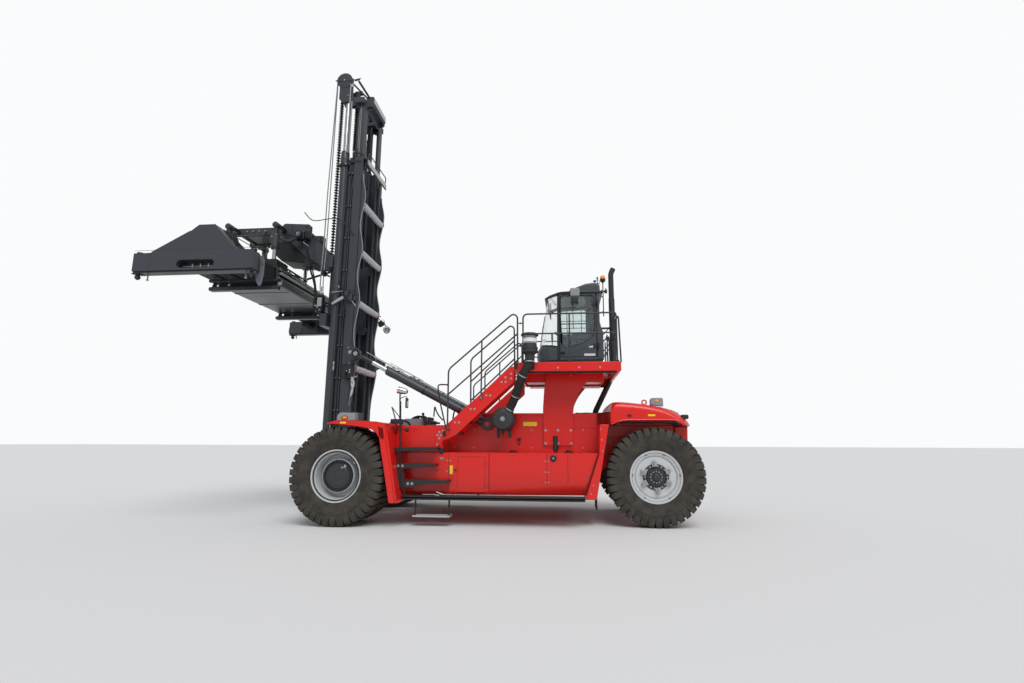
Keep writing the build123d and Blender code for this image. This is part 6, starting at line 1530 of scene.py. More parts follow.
eye_plate = coat(plate([(0.45, 3.15), (0.5, 3.3), (0.515, 3.4), (0.5, 3.52), (0.45, 3.65), (0.3, 3.56),
                        (0.2, 3.5), (0.172, 3.44), (0.172, 3.36), (0.2, 3.3), (0.3, 3.24)], 0.66, 0.7,
                       bevel=0.005), grey_paint)
eye_plate_out = coat(plate([(0.42, 3.24), (0.47, 3.4), (0.42, 3.55), (0.24, 3.5), (0.18, 3.4), (0.24, 3.3)],
                           0.7, 0.745, bevel=0.008), grey_paint)
eye_pin = coat(gather(bar((0.24, 0.74, 3.4), (0.24, 0.858, 3.4), 0.05, 32, 0.004),
                      block(0.2, 0.28, 0.856, 0.868, 3.385, 3.415, 0.003)), zinc_steel)
eye_bolts = gather(bolts([(0.405, 0.745, 3.452)], (0, 1, 0), 0.032, 0.018),
                   bolts([(0.43, 0.7, 3.22), (0.47, 0.7, 3.56)], (0, 1, 0), 0.012, 0.01))
clamp_heights = (7.72, 6.9, 6.12, 5.35, 4.3, 3.62, 2.9, 2.2, 1.5)
pipes = coat(gather(bent_tube([(0.7, 0.65, 1.0), (0.7, 0.65, 4.36), (0.69, 0.65, 4.46), (0.69, 0.65, 7.6),
                               (0.64, 0.655, 7.78)], 0.013, 0.05),
                    bent_tube([(0.65, 0.645, 0.9), (0.65, 0.645, 7.3), (0.62, 0.65, 7.44)], 0.016, 0.05),
                    hose([(0.765, 0.7, 1.9), (0.77, 0.715, 2.6), (0.775, 0.715, 3.0), (0.772, 0.715, 3.1)],
                         0.014), bar((0.772, 0.715, 3.1), (0.765, 0.715, 5.0), 0.012, 10),
                    bar((0.765, 0.715, 5.0), (0.762, 0.712, 7.9), 0.009, 10)), grey_paint)
pipe_clamps = coat(gather(*[block(0.622, 0.735, 0.627, 0.674, z - 0.014, z + 0.014, 0.004)
                            for z in clamp_heights]), black_paint)
clamp_bolts = bolts([(x, 0.674, z) for z in clamp_heights for x in (0.635, 0.722)], (0, 1, 0), 0.008, 0.008)
pipe_joints = coat(gather(*[bar((0.772, 0.715, z), (0.772, 0.715, z + h), 0.021, 6, 0.003)
                            for z, h in ((3.06, 0.1), (3.18, 0.07), (4.92, 0.06))]), zinc_steel)
valve_box = coat(gather(block(0.44, 0.6, 0.66, 0.74, 4.63, 4.78, 0.008),
                        block(0.52, 0.6, 0.66, 0.79, 4.72, 4.83, 0.01),
                        block(0.36, 0.42, 0.66, 0.72, 4.62, 4.72, 0.006),
                        bar((0.5, 0.7, 4.6), (0.5, 0.7, 4.66), 0.03, 14, 0.004),
                        bar((0.56, 0.75, 4.68), (0.56, 0.75, 4.74), 0.024, 14, 0.004)), grey_paint)
box_stay = coat(gather(bar((0.37, 0.67, 4.5), (0.47, 0.7, 4.64), 0.012, 10),
                       bar((0.68, 0.67, 4.86), (0.9, 0.79, 4.8), 0.01, 10)), zinc_steel)
sensor_wing = coat(plate([(0.62, 4.66), (0.87, 4.52), (0.9, 4.56), (0.76, 4.66), (0.64, 4.72)], 0.76, 0.772,
                         bevel=0.003), bright_alloy)
box_hoses = coat(gather(
    hose([(0.4, 0.7, 4.7), (0.36, 0.74, 4.82), (0.46, 0.77, 4.86), (0.54, 0.76, 4.83)], 0.01),
    hose([(0.56, 0.77, 4.68), (0.58, 0.78, 4.5), (0.62, 0.7, 4.3), (0.64, 0.67, 4.0)], 0.01),
    hose([(0.62, 0.68, 4.8), (0.7, 0.74, 4.92), (0.76, 0.75, 4.98), (0.766, 0.72, 5.1)], 0.01)), hose_rubber)
drum_disc = coat(turned([(0.0, pole), (0.0, 0.162), (0.006, 0.17), (0.034, 0.17), (0.04, 0.163),
                         (0.04, 0.142), (0.03, 0.136), (0.03, 0.06), (0.05, 0.054), (0.05, pole)],
                        (0.467, 0.662, 3.043), 64), black_paint)
drum_parts = coat(gather(block(0.395, 0.45, 0.694, 0.712, 3.0, 3.085, 0.004),
                         bar((0.467, 0.71, 3.043), (0.467, 0.73, 3.043), 0.016, 12, 0.003)), bright_alloy)
drum_hose = coat(gather(hose([(0.47, 0.72, 3.04), (0.49, 0.74, 3.0), (0.49, 0.74, 2.92), (0.44, 0.72, 2.84),
                              (0.39, 0.7, 2.8)], 0.014),
                        hose([(0.3, 0.7, 2.5), (0.31, 0.7, 2.4), (0.27, 0.7, 2.3), (0.3, 0.7, 2.15),
                              (0.33, 0.69, 1.95)], 0.012),
                        hose([(0.33, 0.69, 2.5), (0.3, 0.7, 2.42), (0.34, 0.7, 2.3), (0.31, 0.7, 2.2),
                              (0.36, 0.69, 1.95)], 0.009)), hose_rubber)
foil = coat(gather(hose([(0.23, 0.7, 2.93), (0.29, 0.71, 2.9), (0.35, 0.71, 2.89), (0.36, 0.71, 2.82)],
                        0.014), hose([(0.35, 0.7, 2.9), (0.31, 0.72, 2.84), (0.28, 0.72, 2.74),
                                      (0.33, 0.71, 2.62), (0.34, 0.7, 2.52)], 0.026),
                   hose([(0.31, 0.7, 2.86), (0.36, 0.715, 2.78), (0.31, 0.72, 2.68), (0.3, 0.71, 2.58),
                         (0.35, 0.7, 2.48)], 0.02)), bright_alloy)
channel = gather(web, rear_flange, front_flange, shade_strips, wave_plate, wave_edge_highlight, tube_welds, foot, pin_boss,
                 anchor, anchor_pins, slide_pads, eye_plate, eye_plate_out, eye_pin, eye_bolts, pipes,
                 pipe_clamps, clamp_bolts)
near_fittings = gather(pipe_joints, valve_box, box_stay, sensor_wing, box_hoses, drum_disc, drum_parts,
                       drum_hose, foil)
# The cross tubes are the mast's dark grey; their pale paint is a painted sky reflection.
cross_tubes = coat(gather(
    *[bar((0.372, -0.64, z), (0.372, 0.64, z), 0.075, 40) for z in tube_heights]), sky_sheen_grey)
roof_plate = coat(plate([(0.3, 7.93), (0.29, 7.95), (0.29, 8.09), (0.325, 8.13), (0.4, 8.13), (0.4, 8.09),
                         (0.33, 8.09), (0.312, 8.07), (0.312, 7.93)], -0.66, 0.66, bevel=0.004), grey_paint)
# Thin pale strips on the roof plate's top and front edge, and the pale gussets, are painted highlights.
roof_top = coat(gather(block(0.328, 0.398, -0.62, 0.62, 8.128, 8.134, 0.001, 1),
                       block(0.284, 0.291, -0.62, 0.62, 7.96, 8.08, 0.001, 1)), sky_sheen_grey)
roof_gussets = coat(gather(*[plate([(0.3, 8.12), (0.39, 8.12), (0.39, 8.21)], y, y + 0.012, bevel=0.002)
                             for y in (0.46, 0.34, -0.46)]), sky_sheen_grey)
roof_rails = coat(gather(
    bent_tube([(0.3, 0.62, 8.1), (0.29, 0.62, 8.24), (0.29, -0.6, 8.24), (0.3, -0.6, 8.1)], 0.013, 0.04),
    bent_tube([(0.64, 0.64, 8.12), (0.64, 0.67, 8.27), (0.4, 0.66, 8.2), (0.38, 0.64, 8.1)], 0.016, 0.03),
    block(0.44, 0.745, 0.632, 0.668, 8.0, 8.06, 0.005)), black_paint)
end_plate = coat(block(0.4, 0.745, -0.66, 0.66, 0.47, 0.54, 0.008), grey_paint)
feeler_wire = coat(bent_tube(
    [(0.512, 0.665, 6.198), (0.53, 0.7, 6.2), (0.696, 0.78, 6.438), (0.895, 0.8, 6.566),
     (1.471, 0.8, 6.496), (1.672, 0.8, 6.727)], 0.011, 0.12), black_paint)
lamp_clear, lamp_clear_shader = new_material("clear_lamp_polycarbonate", "#DDE6E8", 0.06,
                                             Transmission_Weight=0.85, IOR=1.58)
lens_place = add_node(lamp_clear.node_tree, "ShaderNodeTexCoord")
lens_ribs = add_node(lamp_clear.node_tree, "ShaderNodeTexWave", {"Scale": 40.0},
                     Vector=lens_place.outputs["Object"])
lens_bump = add_node(lamp_clear.node_tree, "ShaderNodeBump", {"Strength": 0.3, "Distance": 0.001},
                     Height=lens_ribs.outputs["Fac"])
lamp_clear.node_tree.links.new(lens_bump.outputs["Normal"], lamp_clear_shader.inputs["Normal"])


def work_lamp(place, facing, size=0.075):
    """A work lamp: a finned housing, a bright reflector bowl and a clear front, on a U bracket."""
    bowl = coat(turned([(0.0, pole), (0.0, size * 0.5), (size * 0.5, size * 0.9), (size, size),
                        (size * 1.15, size), (size * 1.15, size * 0.92), (size * 0.6, size * 0.8),
                        (size * 0.1, pole)], (0, 0, 0), 28), black_paint)
    mirror = coat(turned([(size * 0.2, pole), (size * 0.62, size * 0.78), (size * 1.1, size * 0.9),
                          (size * 1.1, size * 0.88), (size * 0.64, size * 0.74), (size * 0.24, pole)],
                         (0, 0, 0), 28), bright_alloy)
    front = coat(turned([(size * 1.1, pole), (size * 1.1, size * 0.93), (size * 1.2, size * 0.9),
                         (size * 1.26, pole)], (0, 0, 0), 28), lamp_clear)
    fins = coat(gather(
        *[block(-size * 0.6, size * 0.6, -size * 0.12, size * 0.3, z * size - 0.004, z * size + 0.004,
                0.001, 1) for z in (-0.45, -0.15, 0.15, 0.45)]), black_paint)
    bracket = coat(bent_tube([(size * 1.05, size * 0.5, 0), (size * 1.1, size * 0.3, size * 0.6),
                              (0, size * 0.1, size * 1.35), (-size * 1.1, size * 0.3, size * 0.6),
                              (-size * 1.05, size * 0.5, 0)], 0.007, size * 0.5), black_paint)
    lamp = gather(bowl, mirror, front, fins, bracket)
    turned_to = Vector((0, 1, 0)).rotation_difference(Vector(facing).normalized()).to_matrix().to_4x4()
    lamp.data.transform(Matrix.Translation(place) @ turned_to)
    return lamp


mast_lamps = gather(work_lamp((0.32, -0.8, 4.47), (-0.2, -0.5, -0.5), 0.085),
                    work_lamp((0.16, -0.84, 4.27), (-0.4, 0.9, -0.3), 0.08))
lamp_stay = coat(gather(bent_tube([(0.4, -0.655, 4.56), (0.34, -0.7, 4.62), (0.31, -0.79, 4.6)], 0.012,
                                  0.03), bent_tube([(0.34, -0.7, 4.56), (0.26, -0.76, 4.44),
                                                    (0.17, -0.83, 4.38)], 0.01, 0.03),
                        hose([(0.3, -0.8, 4.5), (0.24, -0.82, 4.56), (0.2, -0.8, 4.42), (0.16, -0.8, 4.34)],
                             0.006)), black_paint)
outer_stage = gather(both_sides(channel), near_fittings, cross_tubes, roof_plate, roof_top, roof_gussets,
                     roof_rails, end_plate, feeler_wire, mast_lamps, lamp_stay)
fit(outer_stage, "outer_mast_stage", "outer_mast")
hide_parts("mast_outer")

# Lift cylinders: long honed tubes that stand in front of the channels, with a screwed gland at the top
# and a clamp that holds each to its channel. The rods are hard chromed and ground.
barrel = coat(turned([(0.0, pole), (0.0, 0.098), (1.0, 0.098), (1.004, 0.1), (1.03, 0.1), (1.034, 0.098),
                      (7.5, 0.098), (7.52, 0.104), (7.58, 0.104), (7.6, 0.098), (7.72, 0.096),
                      (7.74, 0.088), (7.74, 0.066), (1.04, 0.066), (1.0, pole)], (0.865, 0.62, 0.56), 48,
                     axis=(0, 0, 1)), grey_paint)
barrel_clamp = coat(gather(block(0.745, 0.8, 0.56, 0.68, 7.88, 8.0, 0.006),
                           block(0.762, 0.968, 0.715, 0.738, 7.9, 7.97, 0.006),
                           block(0.958, 0.985, 0.54, 0.735, 7.9, 7.97, 0.006),
                           block(0.745, 0.78, 0.6, 0.735, 7.9, 7.97, 0.005)), black_paint)
clamp_nuts = bolts([(0.79, 0.738, 7.935), (0.94, 0.738, 7.935)], (0, 1, 0), 0.016, 0.02)
port = coat(gather(bar((0.865, 0.715, 0.8), (0.865, 0.76, 0.8), 0.026, 14, 0.003),
                   bent_tube([(0.865, 0.75, 0.8), (0.865, 0.77, 0.86), (0.79, 0.77, 1.1), (0.77, 0.72, 1.5),
                              (0.767, 0.7, 1.92)], 0.014, 0.06)), zinc_steel)
barrels = both_sides(gather(barrel, barrel_clamp, clamp_nuts, port))
fit(barrels, "lift_cylinder_barrels", "outer_mast", smooth=34)
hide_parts("lift_cylinders")
rod_bar = coat(bar((0.865, 0.62, 3.2), (0.865, 0.62, 9.56), 0.062, 48, 0.004), chrome)
ground_rods = both_sides(rod_bar)
fit(ground_rods, "chromed_lift_rods", "inner_mast", smooth=34)
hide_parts("lift_rods")

# Mast, inner stage: a narrower pair of channels that slides in the outer one, pushed up by the rods.
# Its head carries the chain sheaves inside and the hose sheaves outside.
inner_web = coat(plate([(0.455, 1.99), (0.455, 9.7), (0.69, 9.7), (0.69, 9.52), (0.585, 9.46),
                        (0.585, 8.36), (0.69, 8.28), (0.69, 1.99)], 0.56, 0.605, bevel=0.005), grey_paint)
inner_flanges = coat(gather(block(0.455, 0.5, 0.4, 0.565, 1.99, 9.7, 0.006),
                            block(0.645, 0.69, 0.4, 0.565, 1.99, 8.34, 0.006),
                            block(0.645, 0.69, 0.4, 0.49, 8.3, 9.7, 0.006)), grey_paint)
# Light grey lines along the web's outer face are painted highlights.
highlight_lines = coat(gather(block(0.535, 0.55, 0.604, 0.6065, 2.3, 9.5, 0, 1),
                     block(0.572, 0.584, 0.604, 0.606, 8.4, 9.44, 0, 1)), light_grey)
low_pad = coat(block(0.515, 0.63, 0.604, 0.613, 1.99, 2.24, 0.002), yellow_plastic)
head_block = coat(
    gather(plate([(0.455, 9.56), (0.455, 9.7), (0.96, 9.7), (0.99, 9.68), (0.96, 9.58), (0.9, 9.56)], 0.56,
                 0.7, bevel=0.008), block(0.8, 1.0, 0.5, 0.54, 9.56, 9.86, 0.008),
           block(0.86, 0.98, 0.56, 0.64, 9.7, 9.9, 0.01), block(0.8, 1.0, 0.36, 0.39, 9.62, 9.86, 0.008),
           block(0.5, 0.86, 0.36, 0.385, 9.62, 9.7, 0.005),
           block(0.5, 0.68, 0.385, 0.56, 9.62, 9.68, 0.006)), grey_paint)
chain_wheel = coat(turned(
    [(-0.045, 0.045), (-0.045, 0.18), (-0.034, 0.18), (-0.032, 0.168), (0.032, 0.168), (0.034, 0.18),
     (0.045, 0.18), (0.045, 0.045)], (0.92, 0.45, 9.79), 48), cast_iron)
wheel_shaft = coat(gather(bar((0.92, 0.38, 9.79), (0.92, 0.64, 9.79), 0.045, 24, 0.004),
                          bar((0.96, 0.645, 10.15), (0.96, 0.735, 10.15), 0.03, 20, 0.004)), zinc_steel)
hose_wheel = coat(turned([(-0.025, pole), (-0.025, 0.14), (-0.021, 0.15), (-0.025, 0.16), (-0.025, 0.19),
                          (-0.02, 0.195), (-0.017, 0.195), (-0.015, 0.166), (0.015, 0.166), (0.017, 0.195),
                          (0.024, 0.195), (0.03, 0.186), (0.034, 0.1), (0.035, pole)], (0.96, 0.7, 10.15),
                         64), grey_paint)
side_plate = coat(plate([(0.83, 9.56), (0.95, 9.56), (1.0, 9.6), (1.04, 9.68), (1.035, 10.1), (1.0, 10.16),
                         (0.92, 10.17), (0.88, 10.12)], 0.64, 0.67, bevel=0.006), grey_paint)
low_plate = coat(plate([(0.72, 9.63), (0.8, 9.575), (0.96, 9.575), (1.08, 9.66), (1.08, 9.98),
                        (0.74, 9.98)], 0.7, 0.718, bevel=0.006), grey_paint)
guard_bar = coat(plate([(0.72, 10.12), (0.72, 10.165), (1.12, 10.165), (1.19, 10.15), (1.19, 10.135),
                        (1.12, 10.12)], 0.728, 0.744, bevel=0.004), grey_paint)
guard_nuts = gather(bolts([(0.96, 0.744, 10.145), (0.8, 0.718, 9.66)], (0, 1, 0), 0.016, 0.012),
                    coat(bar((0.855, 0.718, 9.735), (0.855, 0.732, 9.735), 0.024, 6, 0.003), brass))
head_brace = coat(gather(plate([(0.72, 10.12), (0.6, 10.14), (0.56, 10.2), (0.72, 10.17)], 0.7, 0.716,
                               bevel=0.004), bar((0.62, 0.7, 10.13), (0.44, 0.44, 9.86), 0.026, 14, 0.004),
                         bar((0.78, 0.66, 10.1), (0.5, 0.42, 9.86), 0.02, 12, 0.004),
                         block(0.56, 0.74, 0.5, 0.58, 9.86, 9.94, 0.008),
                         block(0.6, 0.7, 0.56, 0.64, 9.7, 9.88, 0.01)), black_paint)
chain_pitch = 0.07
chain_steel, chain_shader = new_material("greased_chain_steel", "#2B2A28", 0.42, Metallic=0.6)
chain_place = add_node(chain_steel.node_tree, "ShaderNodeTexCoord")
grease = add_node(chain_steel.node_tree, "ShaderNodeTexNoise", {"Scale": 28.0, "Detail": 4.0},
                  Vector=chain_place.outputs["Object"])
grease_film = add_node(chain_steel.node_tree, "ShaderNodeMapRange", {"To Min": 0.25, "To Max": 0.65},
                       Value=grease.outputs["Fac"])
chain_steel.node_tree.links.new(grease_film.outputs["Result"], chain_shader.inputs["Roughness"])


def leaf_links(pitch):
    """Two pitches of leaf chain from the origin upwards: three plates, then two, with their pins."""
    half = [(0.0, -0.016), (0.036, -0.014), (0.041, -0.009), (0.041, 0.009), (0.006, 0.015),
            (0.006, pitch - 0.015), (0.041, pitch - 0.009), (0.041, pitch + 0.009), (0.036, pitch + 0.014),
            (0.0, pitch + 0.016)]
    outline = half + [(-x, z) for x, z in reversed(half[1:-1])]
    wide = [plate(outline, y - 0.0045, y + 0.0045, bevel=0) for y in (-0.0245, 0.0, 0.0245)]
    narrow = [plate([(x * 0.9, z + pitch) for x, z in outline], y - 0.0045, y + 0.0045, bevel=0)
              for y in (-0.012, 0.012)]
    pins = [bar((0, -0.03, z), (0, 0.03, z), 0.0095, 8) for z in (0, pitch)]
    return coat(gather(*wide, *narrow, *pins), chain_steel)


def leaf_chain(x, low, high):
    """A straight leaf chain on both sides of the mast between two heights."""
    count = round((high - low) / chain_pitch / 2)
    pitch = (high - low) / count / 2
    links = leaf_links(pitch)
    return both_sides(repeat(links, [(x, 0.45, low + 2 * pitch * i) for i in range(count)]))


wrap = repeat(leaf_links(0.0597), [Matrix.Translation((0.92, 0.45, 9.79))
                                   @ Matrix.Rotation(-math.pi / 5 * i, 4, "Y")
                                   @ Matrix.Translation((0.19, 0, 0)) for i in range(5)])
inner_channel = gather(inner_web, inner_flanges, highlight_lines, low_pad, head_block, chain_wheel, wheel_shaft,
                       hose_wheel, side_plate, low_plate, guard_bar, guard_nuts, head_brace, wrap)
top_beam = coat(plate([(0.35, 9.66), (0.31, 9.7), (0.31, 9.85), (0.34, 9.88), (0.49, 9.88), (0.51, 9.86),
                       (0.51, 9.66)], -0.43, 0.43, bevel=0.006), grey_paint)
# Thin pale strips on the top beam's top and front edge are painted highlights.
beam_top = coat(gather(block(0.345, 0.488, -0.42, 0.42, 9.879, 9.884, 0.001, 1),
                       block(0.305, 0.311, -0.42, 0.42, 9.71, 9.842, 0.001, 1)), sky_sheen_grey)
beam_lips = coat(both_sides(gather(block(0.33, 0.5, 0.4, 0.428, 9.6, 9.68, 0.005),
                                   plate([(0.34, 9.56), (0.45, 9.53), (0.45, 9.7), (0.34, 9.7)], 0.37, 0.39,
                                         bevel=0.004))), grey_paint)
ties = coat(gather(block(0.455, 0.5, -0.41, 0.41, 1.99, 2.19, 0.006),
                   block(0.455, 0.5, -0.41, 0.41, 9.5, 9.7, 0.006)), grey_paint)
inner_stage = gather(both_sides(inner_channel), top_beam, beam_top, beam_lips, ties)
fit(inner_stage, "inner_mast_stage", "inner_mast")
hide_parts("mast_inner")

# Lift chains: leaf chains of stamped and oiled plates on hardened pins, from the outer mast over the
# head sheaves to the carriage, with twin hoses running over the hose sheaves beside them.
front_chains = leaf_chain(1.11, 5.75, 9.79)
fit(front_chains, "front_leaf_chains", None)
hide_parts("lift_chains_front")
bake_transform(front_chains)
rear_chains = leaf_chain(0.73, 8.45, 9.79)
fit(rear_chains, "rear_leaf_chains", None)
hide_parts("lift_chains_rear")
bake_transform(rear_chains)
sleeve_grey, sleeve_shader = new_material("braided_hose_sleeve", "#8E9193", 0.55, Metallic=0.3)
sleeve_place = add_node(sleeve_grey.node_tree, "ShaderNodeTexCoord")
braid = add_node(sleeve_grey.node_tree, "ShaderNodeTexWave",
                 {"Scale": 90.0, "bands_direction": "Z", "Distortion": 1.5},
                 Vector=sleeve_place.outputs["Object"])
braid_bump = add_node(sleeve_grey.node_tree, "ShaderNodeBump", {"Strength": 0.5, "Distance": 0.001},
                      Height=braid.outputs["Fac"])
sleeve_grey.node_tree.links.new(braid_bump.outputs["Normal"], sleeve_shader.inputs["Normal"])
for place, (y1, y2) in (("left", (0.69, 0.71)), ("right", (-0.69, -0.71))):
    arch = [(0.96 + 0.18 * math.cos(a), 10.15 + 0.18 * math.sin(a))
            for a in [math.pi * i / 8 for i in range(9)]]
    over = coat(gather(*[hose([(x, y, z) for x, z in arch], 0.0105) for y in (y1, y2)]), sleeve_grey)
    fit(over, f"sheave_hoses_{place}", "inner_mast", smooth=60)
    ahead_run = [(1.14, 10.15 - 4.4 * i / 30) for i in range(31)] + [(1.15, 5.6), (1.156, 5.3), (1.156, 4.95)]
    front = coat(gather(
        *[bent_tube([(x + spread * min(1, (10.15 - z) / 3), y, z) for x, z in ahead_run], 0.013, 0.02, 8)
          for spread, y in ((0.0, y1), (0.055, y2))]), sleeve_grey)
    fit(front, f"front_mast_hoses_{place}", None, smooth=60)
    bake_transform(front)
    behind_run = [(0.78, 10.15 - 1.8 * i / 14) for i in range(15)] + [(0.775, 8.24)]
    rear = coat(gather(*[bent_tube([(x + shift, y, z) for x, z in behind_run], 0.019, 0.02, 8)
                         for shift, y in ((-0.022, y1), (0.022, y2))]), light_grey)
    fit(rear, f"rear_mast_hoses_{place}", None, smooth=60)
    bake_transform(rear)

# Tilt cylinders: a thick tube pinned to the frame, a chromed rod pinned behind the mast, and thin
# hydraulic pipes that run along the top of the tube.
tilt_start = Vector((-2.64, 0.8, 1.9))
tilt_way = Vector((0.88693, 0, 0.4619))
tilt_up = Vector((-0.4619, 0, 0.88693))


def on_tilt(along, raised=0.0, aside=0.0):
    """A place by the tilt cylinder, from its base pin."""
    return tilt_start + tilt_way * along + tilt_up * raised + Vector((0, aside, 0))


tilt_tube = coat(turned([(0.1, pole), (0.1, 0.086), (0.13, 0.09), (2.28, 0.09), (2.3, 0.095), (2.42, 0.095),
                         (2.44, 0.09), (2.45, 0.084), (2.45, 0.054), (0.72, 0.054), (0.7, pole)],
                        tilt_start, 48, axis=tilt_way), grey_paint)
tilt_eye = coat(turned([(-0.055, 0.054), (-0.055, 0.124), (-0.049, 0.13), (0.049, 0.13), (0.055, 0.124),
                        (0.055, 0.054)], tilt_start, 44), grey_paint)
tube_bands = coat(gather(*[turned([(a, 0.09), (a, 0.097), (a + 0.03, 0.097), (a + 0.03, 0.09)], tilt_start,
                                  40, axis=tilt_way) for a in (0.62, 1.5)]), black_paint)
tilt_pipes = coat(bent_tube([on_tilt(0.3, 0.085), on_tilt(0.34, 0.108), on_tilt(2.2, 0.108),
                             on_tilt(2.26, 0.08)], 0.012, 0.04), grey_paint)
long_pipes = coat(gather(bar(on_tilt(2.1, 0.135, -0.012), on_tilt(3.06, 0.135, -0.012), 0.008, 10),
                         bar(on_tilt(2.2, 0.118, 0.014), on_tilt(2.85, 0.118, 0.014), 0.007, 10),
                         block(-0.62, -0.58, 0.76, 0.84, 2.9, 3.11, 0.003)), zinc_steel)
collar_port = coat(gather(bar(on_tilt(2.36, 0.09), on_tilt(2.36, 0.125), 0.022, 6, 0.003),
                          bar(on_tilt(0.24, 0.085), on_tilt(0.24, 0.12), 0.024, 6, 0.003)), zinc_steel)
tilt_set = both_sides(gather(tilt_tube, tilt_eye, tube_bands, tilt_pipes, long_pipes, collar_port))
fit(tilt_set, "tilt_cylinder_tubes", "tilt_cylinder_barrels", smooth=34)
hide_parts("tilt_barrels")
tilt_rod = coat(bar(on_tilt(1.3), on_tilt(2.82), 0.05, 40, 0.003), chrome)
rod_end = coat(gather(bar(on_tilt(2.81), on_tilt(3.09), 0.05, 40),
                      turned([(-0.045, 0.064), (-0.045, 0.094), (-0.04, 0.1), (0.04, 0.1), (0.045, 0.094),
                              (0.045, 0.064)], (0.24, 0.8, 3.4), 44)), black_paint)
tilt_rod_set = both_sides(gather(tilt_rod, rod_end))
fit(tilt_rod_set, "tilt_cylinder_rod_pair", "tilt_cylinder_rods", smooth=34)
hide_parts("tilt_rods")

# Carriage: two thick side plates on rollers that run inside the inner channels, tied by two box beams.
# Its two arms are welded boxes that reach forward over the spreader and carry the hanging bars.
# A near-black enamel that paints the shade under the sleeve onto the telescopic beams and the bumper bar
# webs.
shade_black = enamel("shade_black_enamel", "#141618", "#302E2A", 0.85)
slate_paint = enamel("slate_enamel", "#383D44", "#66655F", 0.34)
side_plates = plate([(0.52, 4.05), (0.52, 5.75), (0.66, 5.75), (0.7, 5.7), (0.98, 5.7), (1.02, 5.75),
                     (1.15, 5.75), (1.15, 4.05), (1.0, 4.05), (0.96, 4.12), (0.72, 4.12), (0.68, 4.05)],
                    0.335, 0.375, bevel=0)
for z in (4.6, 5.1):
    cut_window(side_plates, [(0.85 + 0.12 * math.cos(a), z + 0.12 * math.sin(a))
                             for a in [i * math.tau / 24 for i in range(24)]], 0.3, 0.4)
round_edges(side_plates, 0.005)
coat(side_plates, slate_paint)
roller = turned([(0.375, pole), (0.375, 0.05), (0.39, 0.05), (0.4, 0.066), (0.406, 0.072), (0.524, 0.072),
                 (0.53, 0.066), (0.535, 0.03), (0.545, 0.028), (0.545, pole)], (0.5725, 0, 0), 32)
rollers = coat(repeat(roller, [(0, 0, 4.18), (0, 0, 5.6)]), cast_iron)
arm = plate([(1.15, 5.45), (1.15, 5.87), (1.7, 6.32), (1.7, 6.5), (2.36, 6.5), (2.42, 6.53), (3.64, 6.53),
             (3.64, 6.39), (2.42, 6.39), (2.36, 6.3), (1.76, 5.8), (1.35, 5.56)], 0.325, 0.405, bevel=0.006)
coat(arm, black_paint)
cheek_outline = [(1.15, 5.45), (1.15, 5.87), (1.7, 6.32), (1.7, 6.55), (1.712, 6.585), (1.75, 6.6),
                 (2.33, 6.64), (2.385, 6.6), (2.4, 6.54), (3.64, 6.54), (3.64, 6.38), (2.4, 6.38),
                 (1.76, 5.8), (1.35, 5.56)]
arm_cheek = plate(cheek_outline, 0.405, 0.42, bevel=0)
cut_window(arm_cheek, [(1.785 + 0.035 * math.cos(a), 6.53 + 0.035 * math.sin(a))
                       for a in [i * math.tau / 16 for i in range(16)]], 0.39, 0.43)
round_edges(arm_cheek, 0.003)
inner_cheek = plate(cheek_outline, 0.31, 0.325, bevel=0)
cut_window(inner_cheek, [(1.785 + 0.035 * math.cos(a), 6.53 + 0.035 * math.sin(a))
                         for a in [i * math.tau / 16 for i in range(16)]], 0.3, 0.33)
round_edges(inner_cheek, 0.003)
arm_skins = coat(gather(arm_cheek, inner_cheek, block(2.14, 2.16, 0.42, 0.436, 6.15, 6.62, 0.003),
                        block(1.56, 1.575, 0.42, 0.432, 5.68, 6.2, 0.003),
                        block(2.42, 3.64, 0.305, 0.425, 6.535, 6.548, 0.002),
                        block(3.6, 3.65, 0.3, 0.43, 6.36, 6.56, 0.006)), slate_paint)
level_places = (2.345, 3.5)
hang_lugs = coat(gather(*[block(x - 0.06, x + 0.06, 0.42, 0.66, 6.4, 6.5, 0.012) for x in level_places],
                        *[turned([(0.43, 0.05), (0.43, 0.07), (0.45, 0.074), (0.47, 0.07), (0.47, 0.05)],
                                 (x, 0, 6.45), 32) for x in level_places]), black_paint)
hang_ends = coat(gather(*[gather(turned([(0.832, pole), (0.832, 0.05), (0.84, 0.058), (0.846, 0.05),
                                         (0.846, pole)], (x, 0, 6.45), 24),
                                 bar((x, 0.846, 6.45), (x, 0.856, 6.45), 0.018, 6, 0.002))
                          for x in level_places]), slate_paint)
manifold = coat(gather(block(1.15, 1.27, 0.5, 0.7, 4.36, 4.62, 0.01),
                       block(1.15, 1.21, 0.42, 0.74, 4.2, 4.4, 0.01),
                       block(1.15, 1.3, 0.56, 0.66, 4.64, 4.78, 0.01)), black_paint)
